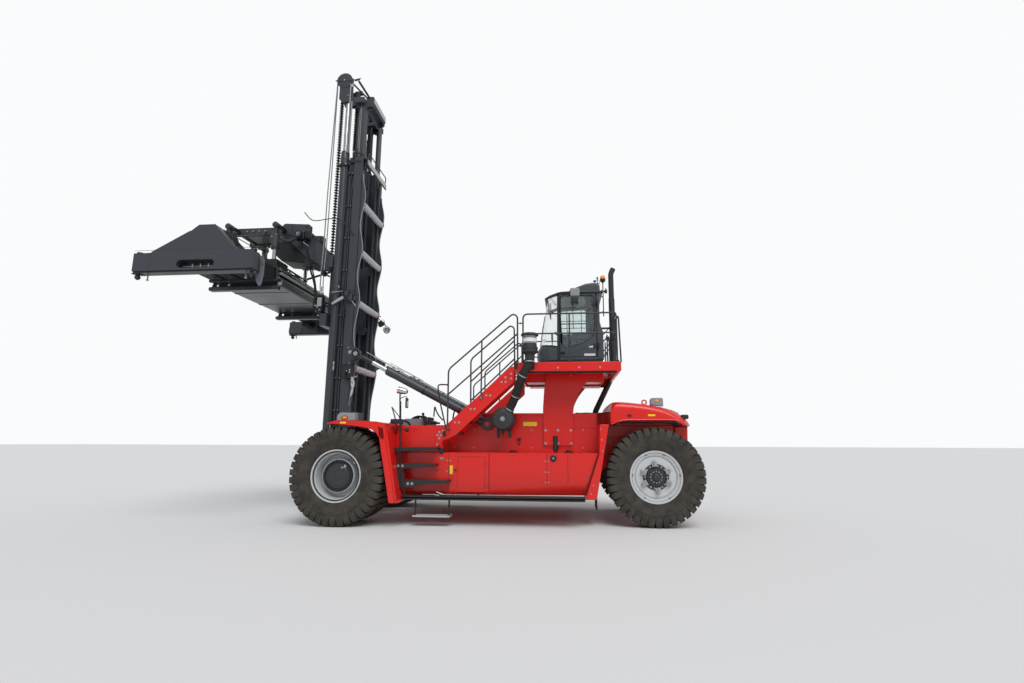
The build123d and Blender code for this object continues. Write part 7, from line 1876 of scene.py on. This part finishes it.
fittings = coat(gather(*[bar((x, y, z), (x, y + 0.05, z), 0.018, 6, 0.002)
                         for x, y, z in ((1.18, 0.7, 4.42), (1.23, 0.7, 4.48), (1.19, 0.7, 4.56),
                                         (1.18, 0.74, 4.28), (1.22, 0.66, 4.7))],
                       *[bar((x, 0.62, z), (x, 0.62, z + 0.07), 0.02, 10, 0.003)
                         for x, z in ((1.18, 4.78), (1.24, 4.78), (1.2, 4.9))],
                       *[bar((1.27, y, z), (1.33, y, z), 0.017, 6, 0.002)
                         for y, z in ((0.55, 4.42), (0.62, 4.42), (0.66, 4.54))],
                       bar((1.155, 0.7, 4.86), (1.155, 0.7, 4.97), 0.022, 10, 0.003),
                       bar((1.2, 0.7, 4.8), (1.2, 0.7, 4.96), 0.022, 10, 0.003),
                       bar((1.155, 0.7, 4.8), (1.155, 0.7, 4.86), 0.014, 8),
                       block(1.14, 1.24, 0.73, 0.745, 4.5, 4.7, 0.004)), bright_alloy)
carriage_hoses = coat(gather(
    hose([(1.7, 0.65, 6.0), (1.64, 0.63, 5.85), (1.58, 0.61, 5.6), (1.52, 0.6, 5.38), (1.42, 0.6, 5.12),
          (1.38, 0.6, 4.95), (1.36, 0.6, 4.7), (1.33, 0.6, 4.5)], 0.024),
    hose([(1.66, 0.62, 6.0), (1.6, 0.59, 5.8), (1.55, 0.57, 5.6), (1.46, 0.56, 5.3), (1.38, 0.56, 5.0),
          (1.33, 0.57, 4.6)], 0.016),
    hose([(1.155, 0.68, 4.82), (1.16, 0.6, 4.7), (1.25, 0.56, 4.66), (1.34, 0.6, 4.6), (1.33, 0.66, 4.5)],
         0.013), hose([(1.2, 0.7, 4.8), (1.28, 0.74, 4.72), (1.36, 0.7, 4.62), (1.35, 0.62, 4.4),
                       (1.24, 0.6, 4.3)], 0.013),
    hose([(1.18, 0.75, 4.3), (1.26, 0.78, 4.2), (1.36, 0.7, 4.25), (1.33, 0.6, 4.42)], 0.012)), hose_rubber)
clamp_bar = coat(gather(bar((1.15, 0.4, 5.4), (1.7, 0.4, 5.24), 0.024, 12, 0.004),
                        block(1.12, 1.18, 0.62, 0.78, 5.22, 5.34, 0.01),
                        bar((1.16, 0.4, 5.3), (1.15, 0.66, 5.28), 0.02, 10),
                        block(1.5, 1.56, 0.55, 0.67, 5.44, 5.5, 0.008)), black_paint)
big_pipe = coat(bent_tube([(2.28, 0.62, 6.16), (2.14, 0.64, 6.1), (2.0, 0.66, 6.1), (1.86, 0.68, 6.2),
                           (1.8, 0.7, 6.26)], 0.042, 0.12, 12), slate_paint)
pipe_mouth = (1.82, 0.7, 6.24)
pipe_end = coat(turned([(0.0, 0.05), (0.0, 0.085), (0.05, 0.09), (0.06, 0.085), (0.06, 0.05)], pipe_mouth,
                       32), black_paint)
pipe_lens = coat(turned([(0.02, pole), (0.02, 0.05), (0.055, 0.048), (0.062, 0.03), (0.064, pole)],
                        pipe_mouth, 32), lamp_clear)
lens_mirror = coat(turned(
    [(0.012, pole), (0.012, 0.05), (0.03, 0.05), (0.02, pole)], pipe_mouth, 32), silver_paint)
under_lamp = coat(gather(block(1.7, 1.94, 0.5, 0.7, 6.14, 6.32, 0.02),
                         block(1.66, 1.7, 0.44, 0.66, 6.18, 6.36, 0.01),
                         bar((1.72, 0.42, 6.2), (1.72, 0.6, 6.2), 0.03, 14)), black_paint)
bright_stay = coat(bar((1.815, 0.5, 6.13), (1.67, 0.36, 6.02), 0.018, 12, 0.003), chrome)
lug_hoses = coat(gather(hose(
    [(2.44, 0.76, 6.2), (2.52, 0.8, 6.32), (2.62, 0.8, 6.2), (2.6, 0.78, 5.98), (2.44, 0.77, 5.94)], 0.007),
    hose([(2.44, 0.72, 5.96), (2.6, 0.66, 5.9), (2.9, 0.56, 5.95), (3.3, 0.5, 6.2), (3.6, 0.44, 6.36)],
         0.011), hose([(2.42, 0.7, 6.0), (2.6, 0.6, 6.1), (2.75, 0.5, 6.3), (2.8, 0.43, 6.42)], 0.011),
    hose([(1.95, 0.66, 6.2), (2.1, 0.6, 6.28), (2.2, 0.5, 6.3), (2.3, 0.42, 6.4)], 0.016)), hose_rubber)
small_fits = coat(gather(*[bar((x, 0.43, 6.46), (x, 0.46, 6.46), 0.016, 6, 0.002)
                           for x in (2.8, 2.95, 3.1, 3.25)],
                         bar((2.42, 0.76, 6.2), (2.45, 0.76, 6.2), 0.013, 6, 0.002),
                         bar((2.42, 0.76, 5.94), (2.45, 0.76, 5.94), 0.013, 6, 0.002)), bright_alloy)
chain_hooks = coat(gather(block(1.07, 1.15, 0.405, 0.495, 5.52, 5.7, 0.01),
                          bar((1.11, 0.45, 5.66), (1.11, 0.45, 5.76), 0.019, 12, 0.003)), zinc_steel)
arm_side = gather(side_plates, rollers, arm, arm_skins, hang_lugs, hang_ends, chain_hooks)
near_side = gather(manifold, fittings, carriage_hoses, clamp_bar, big_pipe, pipe_end, pipe_lens,
                   lens_mirror, under_lamp, bright_stay, lug_hoses, small_fits)
cross_beams = coat(gather(block(1.0, 1.15, -0.76, 0.76, 4.05, 4.33, 0.01),
                          block(1.0, 1.14, -0.62, 0.62, 5.45, 5.75, 0.01),
                          block(1.0, 1.04, -0.33, 0.33, 4.33, 5.45, 0.006)), slate_paint)
hang_bars = coat(gather(
    *[bar((x, -0.84, 6.45), (x, 0.84, 6.45), 0.05, 32, 0.004) for x in level_places]), slate_paint)
belly = coat(plate([(1.2, 5.6), (1.6, 5.66), (2.1, 5.72), (2.42, 5.75), (2.66, 5.97), (2.4, 6.36),
                    (1.76, 6.3), (1.2, 5.85)], -0.3, 0.3, bevel=0.02), black_paint)
belly_tank = coat(bar((1.75, -0.3, 5.76), (1.75, 0.306, 5.76), 0.1, 40, 0.012), slate_paint)
tie_plate = coat(gather(block(2.46, 3.4, -0.33, 0.33, 6.42, 6.5, 0.008),
                        block(1.74, 2.2, -0.33, 0.33, 6.36, 6.46, 0.008)), black_paint)
top_hoses = coat(gather(*[hose([(1.2, y, 5.8), (1.45, y, 6.06), (1.8, y * 0.9, 6.48), (2.4, y * 0.8, 6.56),
                                (3.0, y, 6.53), (3.45, y * 1.2, 6.53)], 0.017)
                          for y in (-0.22, -0.1, 0.1, 0.24)]), hose_rubber)
carriage_piece = gather(both_sides(arm_side), near_side, cross_beams, hang_bars, belly, belly_tank,
                        tie_plate, top_hoses)
fit(carriage_piece, "carriage_and_arms", "lift_carriage")
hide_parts("carriage")

# Levelling cylinders: four short tubes hang from the bars by forged eyes, with chromed rods under dust
# covers. They hold the saddle level over a container that stands askew.
level_tube = turned([(5.87, 0.05), (5.87, 0.078), (5.885, 0.085), (5.93, 0.085), (5.935, 0.08), (6.2, 0.08),
                     (6.205, 0.085), (6.23, 0.08), (6.23, pole), (6.21, pole), (6.21, 0.05)], (0, 0.75, 0),
                    36, axis=(0, 0, 1))
level_lug = gather(plate([(-0.046, 6.225), (0.046, 6.225), (0.046, 6.38), (-0.046, 6.38)], 0.69, 0.81,
                         bevel=0.006), turned([(0.67, 0.052), (0.67, 0.068), (0.675, 0.072), (0.825, 0.072),
                                               (0.83, 0.068), (0.83, 0.052)], (0, 0, 6.45), 36))
level_set = coat(repeat(gather(level_tube, level_lug), [(x, 0, 0) for x in level_places]), slate_paint)
level_band = coat(repeat(
    turned([(5.872, 0.05), (5.872, 0.086), (5.925, 0.0865), (5.925, 0.05)], (0, 0.75, 0), 36,
           axis=(0, 0, 1)), [(x, 0, 0) for x in level_places]), black_paint)
level_ports = coat(gather(*[bar((x + 0.08, 0.76, z), (x + 0.1, 0.76, z), 0.015, 10, 0.002)
                            for x in level_places for z in (5.95, 6.17)]), zinc_steel)
level_piece = both_sides(gather(level_set, level_band, level_ports))
fit(level_piece, "levelling_cylinder_tubes", "lift_carriage", smooth=34)
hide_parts("levelling_barrels")
for side, sign in (("left", 1), ("right", -1)):
    parts = []
    for x in level_places:
        parts.append(coat(bar((x, sign * 0.75, 5.58), (x, sign * 0.75, 6.07), 0.045, 36, 0.003), chrome))
        parts.append(coat(turned([(5.37, pole), (5.37, 0.045), (5.5, 0.045), (5.59, 0.046), (5.59, 0.04),
                                  (5.59, pole)], (x, sign * 0.75, 0), 32, axis=(0, 0, 1)), slate_paint))
        parts.append(coat(turned([(-0.05, 0.042), (-0.05, 0.07), (-0.045, 0.075), (0.045, 0.075),
                                  (0.05, 0.07), (0.05, 0.042)], (x, sign * 0.75, 5.3251), 36,
                                 axis=(1, 0, 0)), slate_paint))
    rods_piece = gather(*parts)
    fit(rods_piece, f"levelling_cylinder_rods_{side}", f"levelling_rod_pair_{side}", smooth=34)
    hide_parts(f"levelling_rods_{side}")

# Saddle: a ribbed plate frame that hangs on the levelling rods, with the side-shift valves, a low
# rail on posts and the hoses on its top.
saddle_plate = coat(gather(
    block(2.18, 3.67, -0.62, 0.62, 5.24, 5.262, 0.004), block(2.18, 2.21, -0.62, 0.62, 5.24, 5.4, 0.005),
    block(3.64, 3.67, -0.62, 0.62, 5.24, 5.4, 0.005),
    *[block(2.18, 3.67, y - 0.012, y + 0.012, 5.24, 5.4, 0.004) for y in (-0.608, -0.2, 0.2, 0.608)],
    *[block(x - 0.012, x + 0.012, -0.62, 0.62, 5.25, 5.39, 0.003) for x in (2.6, 2.95, 3.3)]), slate_paint)
ears = coat(gather(*[plate([(sign * 0.6, 5.24), (sign * 0.82, 5.24), (sign * 0.82, 5.36),
                            (sign * 0.78, 5.41), (sign * 0.7, 5.41), (sign * 0.6, 5.38)],
                           x + e * 0.075 - 0.015, x + e * 0.075 + 0.015, across="x", bevel=0.006)
                     for sign in (1, -1) for x in level_places for e in (-1, 1)]), slate_paint)
ear_pins = coat(gather(*[gather(bar((x - 0.1, s * 0.75, 5.32), (x + 0.1, s * 0.75, 5.32), 0.035, 24, 0.003),
                                bar((x - 0.106, s * 0.75, 5.32), (x - 0.1, s * 0.75, 5.32), 0.05, 6,
                                    0.002)) for s in (1, -1) for x in level_places]), zinc_steel)
saddle_valves = coat(gather(
    block(2.7, 2.95, -0.16, 0.16, 5.262, 5.44, 0.01), block(3.02, 3.2, 0.22, 0.5, 5.262, 5.42, 0.01),
    *[bar((2.75 + 0.07 * i, 0.0, 5.44), (2.75 + 0.07 * i, 0.0, 5.5), 0.024, 12, 0.003) for i in range(3)],
    *[bar((3.6, y, 5.32), (3.67, y, 5.32), 0.05, 20, 0.006) for y in (-0.4, 0.4)]), black_paint)
rail_posts = coat(gather(*[block(2.2, 2.214, y - 0.008, y + 0.008, 5.4, 5.5, 0.002, 1)
                           for y in (-0.55, -0.3, -0.05, 0.2, 0.45)]), silver_paint)
saddle_rail = coat(gather(block(2.19, 2.23, -0.6, 0.6, 5.5, 5.53, 0.005),
                          block(2.19, 2.2, -0.58, 0.58, 5.4, 5.46, 0.002)), black_paint)
saddle_hoses = coat(gather(
    *[hose([(2.26 + 0.03 * i, 0.56 - 0.04 * i, 5.42), (2.3 + 0.02 * i, 0.2, 5.46),
            (2.3 + 0.04 * i, -0.2, 5.42 + 0.01 * i), (2.3, -0.56, 5.43)], 0.014) for i in range(4)],
    *[hose([(2.75 + 0.1 * i, 0.14, 5.4), (2.78 + 0.1 * i, 0.34, 5.5), (2.6 + 0.1 * i, 0.52, 5.44),
            (2.5, 0.58, 5.4)], 0.012) for i in range(3)]), hose_rubber)
saddle_piece = gather(saddle_plate, ears, ear_pins, saddle_valves, rail_posts, saddle_rail, saddle_hoses)
fit(saddle_piece, "saddle_frame", "saddle")
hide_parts("spreader_saddle")

# Spreader frame: a wide sleeve welded from plate, open at both ends for the four telescopic beams, with
# two bumper bars below and the cylinders and cable track that drive the beams along its back.
sleeve = gather(block(1.83, 3.35, -1.45, 1.45, 4.905, 4.93, 0.003),
                block(1.83, 3.35, -1.45, 1.45, 5.196, 5.221, 0.003),
                block(1.83, 1.855, -1.45, 1.45, 4.91, 5.216, 0.003),
                block(3.325, 3.35, -1.45, 1.45, 4.91, 5.216, 0.003))
coat(sleeve, slate_paint)
sleeve_rings = coat(gather(*[gather(block(1.822, 3.358, y - 0.03, y + 0.03, 4.897, 4.905, 0.002),
                                    block(1.818, 1.83, y - 0.03, y + 0.03, 4.9, 5.222, 0.002),
                                    block(3.35, 3.362, y - 0.03, y + 0.03, 4.9, 5.222, 0.002))
                             for y in (-1.415, -0.5, 0.5, 1.415)]), slate_paint)
sleeve_x = 2.59
rails = coat(gather(*[block(sleeve_x + x - 0.06, sleeve_x + x + 0.06, -1.45, 1.45, 5.221, 5.2395, 0.002)
                      for x in (-0.36, 0.36)]), black_paint)


def bumper_bar(y):
    """A round-ended bar under the sleeve on small punched brackets."""
    rail_bar = plate([(1.805, 4.75), (1.812, 4.725), (1.835, 4.712), (3.345, 4.712), (3.368, 4.725),
                      (3.375, 4.75), (3.375, 4.775), (3.36, 4.8), (1.82, 4.8), (1.805, 4.775)], y - 0.06,
                     y + 0.06, bevel=0.01, segments=3)
    coat(rail_bar, slate_paint)
    # The bracket web is painted near-black as painted shade under the sleeve.
    web = plate([(1.84, 4.79), (3.34, 4.79), (3.3, 4.91), (1.84, 4.91)], y - 0.012, y + 0.012, bevel=0)
    for x in (2.95, 3.2):
        cut_window(web, [(x + 0.035 * math.cos(a), 4.85 + 0.03 * math.sin(a))
                         for a in [i * math.tau / 14 for i in range(14)]], y - 0.1, y + 0.1)
    return gather(rail_bar, coat(web, shade_black))


bumper_bars = gather(bumper_bar(1.36), bumper_bar(-1.36))
beam_cylinder = coat(gather(turned([(-1.4, pole), (-1.4, 0.055), (-1.385, 0.064), (1.33, 0.064),
                                    (1.34, 0.07), (1.4, 0.07), (1.41, 0.064), (1.41, pole)],
                                   (1.765, 0, 4.83), 36),
                            *[block(1.74, 1.85, y - 0.02, y + 0.02, 4.8, 4.93, 0.006)
                              for y in (-1.2, -0.4, 0.4, 1.2)]), slate_paint)
cylinder_cap = coat(gather(turned([(1.41, pole), (1.41, 0.045), (1.43, 0.04), (1.435, pole)],
                                  (1.765, 0, 4.83), 24),
                           bar((1.79, 1.3, 4.89), (1.79, 1.3, 4.93), 0.016, 6, 0.002)), bright_alloy)
track_link = gather(block(1.77, 1.826, -0.018, 0.018, 5.04, 5.1, 0.004, 1),
                    block(1.764, 1.77, -0.02, 0.008, 5.036, 5.104, 0.002, 1))
cable_track = coat(repeat(track_link, [(0, 1.36 - 0.042 * i, 0) for i in range(66)]), light_grey)
track_tray = coat(gather(block(1.76, 1.83, -1.43, 1.43, 5.02, 5.036, 0.003),
                         block(1.8, 1.83, -1.43, 1.43, 5.11, 5.2, 0.003)), black_paint)
long_tubes = coat(
    gather(*[bar((x, -1.42, z), (x, 1.42, z), 0.012, 8)
             for x, z in ((1.81, 4.96), (1.81, 4.99), (1.79, 5.15), (1.79, 5.18))]), zinc_steel)
sleeve_hoses = coat(gather(hose([(1.8, 1.2, 5.1), (1.76, 0.9, 5.2), (1.8, 0.5, 5.24), (1.95, 0.2, 5.25)],
                                0.014), hose([(1.78, -0.1, 5.1), (1.74, -0.4, 5.0), (1.76, -0.7, 4.94),
                                              (1.78, -1.1, 4.95)], 0.014),
                           hose([(3.36, 1.2, 5.0), (3.4, 0.8, 5.1), (3.4, 0.3, 5.05), (3.38, -0.4, 5.0),
                                 (3.36, -1.1, 5.1)], 0.016)), hose_rubber)
sleeve_mouth = coat(gather(*[gather(block(1.86, 3.32, y - 0.004, y + 0.004, 5.186, 5.195, 0),
                                    block(2.575, 2.605, y - 0.05, y + 0.05, 4.93, 5.196, 0.003))
                             for y in (-1.4, 1.4)]), black_paint)
sleeve_box = coat(gather(block(1.88, 2.13, 0.97, 1.42, 5.221, 5.4, 0.014, 3),
                         block(1.86, 2.15, 0.95, 1.43, 5.221, 5.235, 0.003),
                         *[bar((1.88, y, z), (1.84, y, z), 0.024, 12, 0.004)
                           for y in (1.03, 1.14, 1.25, 1.36) for z in (5.27, 5.34)]), black_paint)
box_runs = coat(gather(
    *[hose([(1.84, y, 5.3), (1.79, y - 0.02, 5.24), (1.78, y - 0.06, 5.12), (1.8, y - 0.3, 5.06)], 0.011)
      for y in (1.03, 1.14, 1.25, 1.36)]), hose_rubber)
spreader_piece = gather(sleeve_box, box_runs, sleeve, sleeve_rings, rails, bumper_bars, beam_cylinder,
                        cylinder_cap, cable_track, track_tray, long_tubes, sleeve_hoses, sleeve_mouth)
fit(spreader_piece, "spreader_sleeve", "spreader_body")
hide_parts("spreader_frame")

# Telescopic ends: two box beams that slide out of the sleeve, a gabled end beam with a hand slot,
# twistlocks at its corners, and a hinged guide leaf with its latch.


def span(sign, near, far):
    """Two distances from the middle as low and high y, on the left or on the right."""
    return sorted((sign * near, sign * far))


# The twistlocks stand this far before and behind the sleeve's middle, and this far out.
lock_reach = 1.1295
lock_aside = 2.9265
leaf_enamel = enamel("worn_grey_enamel", "#626870", "#8A8578", 0.4)
gable_outline = [(1.4, 4.64), (1.4, 4.97), (1.42, 5.0), (1.76, 5.025), (2.22, 5.52), (2.53, 5.52),
                 (2.56, 5.5), (2.69, 5.4), (3.44, 4.995), (3.76, 4.985), (3.78, 4.965), (3.78, 4.64)]
for side, sign in (("left", 1), ("right", -1)):
    gable = plate(gable_outline, *span(sign, 2.8, 3.02), bevel=0)
    slot = [(2.53 + 0.295 + 0.075 * math.sin(a), 4.76 + 0.075 * math.cos(a))
            for a in [i * math.pi / 10 for i in range(11)]]
    slot += [(2.53 - 0.295 - 0.075 * math.sin(a), 4.76 - 0.075 * math.cos(a))
             for a in [i * math.pi / 10 for i in range(11)]]
    cut_window(gable, slot, *span(sign, 2.7, 3.1))
    round_edges(gable, 0.006)
    coat(gable, slate_paint)
    out = sign * 3.02
    edge = [coat(bar((a[0], out, a[1]), (b[0], out, b[1]), 0.006, 8), slate_paint)
            for a, b in (((2.22, 5.52), (1.78, 5.045)), ((2.69, 5.4), (3.42, 5.005)))]
    seams = coat(gather(block(1.42, 3.76, out - 0.003, out + 0.003, 5.036, 5.042, 0.001, 1),
                        block(1.735, 1.742, out - 0.003, out + 0.003, 4.66, 5.02, 0.001, 1),
                        block(3.43, 3.437, out - 0.003, out + 0.003, 4.66, 4.98, 0.001, 1)), slate_paint)
    corners = coat(gather(*[block(x - 0.17, x + 0.17, min(out - sign * 0.005, out + sign * 0.006),
                                  max(out - sign * 0.005, out + sign * 0.006), 4.645, 4.99, 0.006)
                            for x in (1.575, 3.605)],
                          *[block(x - 0.2, x + 0.2, *span(sign, 2.78, 2.8), 4.64, 4.8, 0.005)
                            for x in (1.6, 3.58)]), slate_paint)
    lower_lip = coat(block(1.41, 3.77, *span(sign, 2.805, 3.0), 4.61, 4.64, 0.008), black_paint)
    beams = []
    for x in ((-0.555, 0.185) if side == "left" else (-0.185, 0.555)):
        beam_x = sleeve_x + x
        # The beams are painted near-black as painted shade under the sleeve.
        beams.append(coat(block(beam_x - 0.15, beam_x + 0.15, *span(sign, -2.65, 2.8), 4.93, 5.19, 0.008),
                          shade_black))
        collar = block(beam_x - 0.17, beam_x + 0.17, *span(sign, 2.77, 2.8), 4.86, 5.22, 0.006)
        beam_foot = block(beam_x - 0.1, beam_x + 0.1, *span(sign, 2.5, 2.8), 4.8, 4.93, 0.01)
        beams.append(coat(gather(collar, beam_foot), shade_black))
    slot_parts = coat(gather(*[bar((2.34 + 0.16 * i, sign * 2.9, 4.72), (2.34 + 0.16 * i, sign * 2.9, 4.79),
                                   0.016, 8, 0.003) for i in range(3)],
                             bar((2.2, sign * 2.9, 4.745), (2.86, sign * 2.9, 4.745), 0.01, 8)), zinc_steel)
    # A black block closes the hand slot's inner end as painted shade in the slot.
    slot_back = coat(block(2.15, 2.91, *span(sign, 2.8, 2.86), 4.67, 4.85, 0), black_paint)
    lock_x = [sleeve_x + s * lock_reach for s in (-1, 1)]
    lock_y = sign * lock_aside
    locks = coat(repeat(gather(turned([(0.0, pole), (0.0, 0.02), (0.03, 0.05), (0.06, 0.05), (0.07, 0.038),
                                       (0.14, 0.038), (0.14, pole)], (0, 0, 4.5), 4, axis=(0, 0, 1)),
                               bar((0, 0, 4.56), (0, 0, 4.64), 0.038, 20)),
                        [(x, lock_y, 0) for x in lock_x]), cast_iron)
    lock_plate = coat(gather(*[gather(block(x - 0.08, x + 0.08, *span(sign, 2.84, 3.0), 4.598, 4.612, 0.003),
                                      bar((x, lock_y, 5.0), (x, lock_y, 5.03), 0.06, 20, 0.006))
                               for x in lock_x]), black_paint)
    sensor_x = (sleeve_x - 0.98, sleeve_x + 0.98)
    sensors = coat(gather(*[bar((x, sign * 2.86, 4.52), (x, sign * 2.86, 4.62), 0.014, 10, 0.003)
                            for x in sensor_x],
                          *[bar((x, sign * 2.86, 4.5), (x, sign * 2.86, 4.52), 0.024, 10, 0.003)
                            for x in sensor_x]), zinc_steel)
    near_y, far_y = span(sign, 2.75, 2.775)
    leaf = plate([(1.41, 4.92), (1.35, 4.94), (1.325, 4.84), (1.325, 4.6), (1.345, 4.44), (1.37, 4.38),
                  (1.41, 4.38), (1.46, 4.46), (1.49, 4.6), (1.47, 4.76)], near_y, far_y, bevel=0.006)
    leaf_rib = plate([(1.37, 4.95), (1.385, 4.95), (1.4, 4.5), (1.385, 4.46)], min(near_y, far_y) - 0.01,
                     max(near_y, far_y) + 0.01, bevel=0.003)
    leaves = coat(gather(leaf, leaf_rib, bar((1.4, sign * 2.72, 4.93), (1.4, sign * 2.81, 4.93), 0.024, 16,
                                             0.003)), leaf_enamel)
    latch = coat(gather(bar((1.36, sign * 2.78, 4.99), (1.41, sign * 2.79, 4.86), 0.012, 10, 0.002),
                        bar((1.36, sign * 2.76, 4.8), (1.36, sign * 2.79, 4.8), 0.02, 6, 0.002)), brass)
    leaf_parts = gather(leaves, latch)
    slope_hoses = coat(gather(*[hose([(2.5 - 0.03 * i, sign * (2.86 - 0.03 * i), 5.44),
                                      (2.3, sign * (2.8 - 0.03 * i), 5.56 - 0.01 * i),
                                      (2.05 - 0.03 * i, sign * (2.74 - 0.02 * i), 5.38),
                                      (1.95, sign * 2.7, 5.2 - 0.02 * i),
                                      (1.9 + 0.05 * i, sign * 2.6, 5.21)], 0.02) for i in range(4)],
                              bar((2.24, sign * 2.74, 5.5), (1.86, sign * 2.74, 5.1), 0.034, 20, 0.006),
                              bar((2.16, sign * 2.66, 5.46), (1.84, sign * 2.66, 5.14), 0.028, 20, 0.006),
                              hose([(3.0, sign * 2.75, 5.2), (3.2, sign * 2.7, 5.26),
                                    (3.1, sign * 2.5, 5.24), (2.9, sign * 2.3, 5.21)], 0.014)), hose_rubber)
    slope_box = coat(gather(block(2.2, 2.48, *span(sign, 2.62, 2.8), 5.2, 5.44, 0.012),
                            block(1.98, 2.14, *span(sign, 2.64, 2.8), 5.2, 5.34, 0.01),
                            *[bar((x, sign * 2.8, z), (x, sign * 2.68, z), 0.05, 16, 0.006)
                              for x, z in ((2.12, 5.36), (2.02, 5.24), (1.9, 5.13))]), black_paint)
    slope_fittings = coat(gather(
        *[bar((x, sign * 2.78, z), (x, sign * 2.83, z), 0.018, 6, 0.002)
          for x, z in ((2.3, 5.49), (2.16, 5.44), (1.99, 5.26), (1.94, 5.2))]), brass)
    end_piece = gather(gable, *edge, seams, corners, lower_lip, *beams, slot_parts, slot_back, locks,
                       lock_plate, sensors, leaf_parts, slope_hoses, slope_box, slope_fittings)
    fit(end_piece, f"telescopic_end_{side}", f"spreader_{side}_end")
    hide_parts(f"spreader_end_{side}")

# Mirror and grab tubes beside the walkway: a tube post with a mirror and a lamp on it, bent grab
# tubes at the step, and the hose loops below the tilt cylinder. The engine block is cast iron.
post = bent_tube([(-1.126, 1.74, 1.1), (-1.071, 1.75, 2.363), (-1.068, 1.75, 2.5)], 0.014, 0.06, 12)
post_box = block(-1.15, -0.912, 1.72, 1.79, 1.867, 1.961, 0.01)
post_foot = gather(block(-1.16, -1.09, 1.44, 1.77, 1.1, 1.13, 0.006),
                   block(-1.16, -1.09, 1.42, 1.445, 1.05, 1.2, 0.006))
mirror_arm = gather(bent_tube([(-1.07, 1.75, 2.35), (-1.16, 1.75, 2.39), (-1.21, 1.75, 2.385),
                               (-1.21, 1.75, 2.34)], 0.008, 0.02, 10),
                    bar((-1.118, 1.75, 1.77), (-1.215, 1.75, 1.757), 0.008, 10))
post_mirror = block(-1.225, -1.195, 1.69, 1.81, 2.17, 2.36, 0.012, 3)
black_lamp = bar((-1.262, 1.75, 1.757), (-1.205, 1.75, 1.757), 0.04, 28, 0.008)
post_cord = hose([(-1.1, 1.765, 2.3), (-1.115, 1.77, 2.0), (-1.11, 1.768, 1.7), (-1.135, 1.765, 1.4),
                  (-1.13, 1.76, 1.14)], 0.006)
front_tube = bent_tube([(-0.868, 1.6, 2.204), (-0.93, 1.6, 2.03), (-0.99, 1.6, 1.82), (-0.985, 1.6, 1.71),
                        (-0.907, 1.6, 1.657)], 0.012, 0.05, 12)
front_strut = gather(bent_tube([(-0.885, 1.6, 2.18), (-1.03, 1.6, 2.01), (-1.05, 1.6, 1.86)], 0.009, 0.03,
                               10), bar((-0.99, 1.46, 1.8), (-0.99, 1.61, 1.8), 0.012, 12),
                     bar((-1.05, 1.46, 1.87), (-1.05, 1.61, 1.87), 0.01, 12))
post_parts = coat(gather(front_tube, front_strut, post, post_box, post_foot, mirror_arm, post_mirror,
                         black_lamp, post_cord), black_paint)
lamp_shell = coat(turned([(-0.13, pole), (-0.13, 0.03), (-0.09, 0.056), (-0.02, 0.066), (0.05, 0.066),
                          (0.055, 0.07), (0.066, 0.07), (0.066, 0.062), (0.05, 0.06), (0.05, pole)],
                         (-1.09, 1.75, 2.507), 40, axis=(1, 0, 0.2)), chrome)
lamp_front = coat(turned([(0.05, pole), (0.05, 0.06), (0.062, 0.058), (0.07, 0.03), (0.071, pole)],
                         (-1.09, 1.75, 2.507), 40, axis=(1, 0, 0.2)), lamp_clear)
silvering = coat(block(-1.229, -1.224, 1.7, 1.8, 2.185, 2.345, 0.001), mirror_glass)
grab_tube = coat(gather(bent_tube([(-1.936, 1.6, 2.633), (-1.773, 1.6, 2.634), (-1.785, 1.6, 2.524),
                                   (-1.835, 1.6, 2.256), (-1.959, 1.6, 1.778), (-2.001, 1.6, 1.762)], 0.014,
                                  0.05, 12), bar((-1.94, 1.5, 2.633), (-1.936, 1.605, 2.633), 0.014, 12),
                        bar((-2.0, 1.48, 1.762), (-2.0, 1.605, 1.762), 0.014, 12)), black_paint)
frame_loops = coat(gather(hose([(-2.05, 0.84, 2.12), (-2.02, 0.88, 1.98), (-2.08, 0.9, 1.84),
                                (-2.16, 0.88, 1.9), (-2.2, 0.84, 2.04)], 0.02),
                          hose([(-1.96, 0.84, 2.18), (-1.92, 0.88, 2.0), (-1.98, 0.92, 1.8),
                                (-2.1, 0.92, 1.76), (-2.2, 0.84, 1.86)], 0.016)), hose_rubber)
walkway_fittings = gather(post_parts, lamp_shell, lamp_front, silvering, grab_tube, frame_loops)
fit(walkway_fittings, "walkway_mirror_and_tubes", "chassis", smooth=50)
engine = nodes["engine"]
engine.data.materials.clear()
engine.data.materials.append(cast_iron)
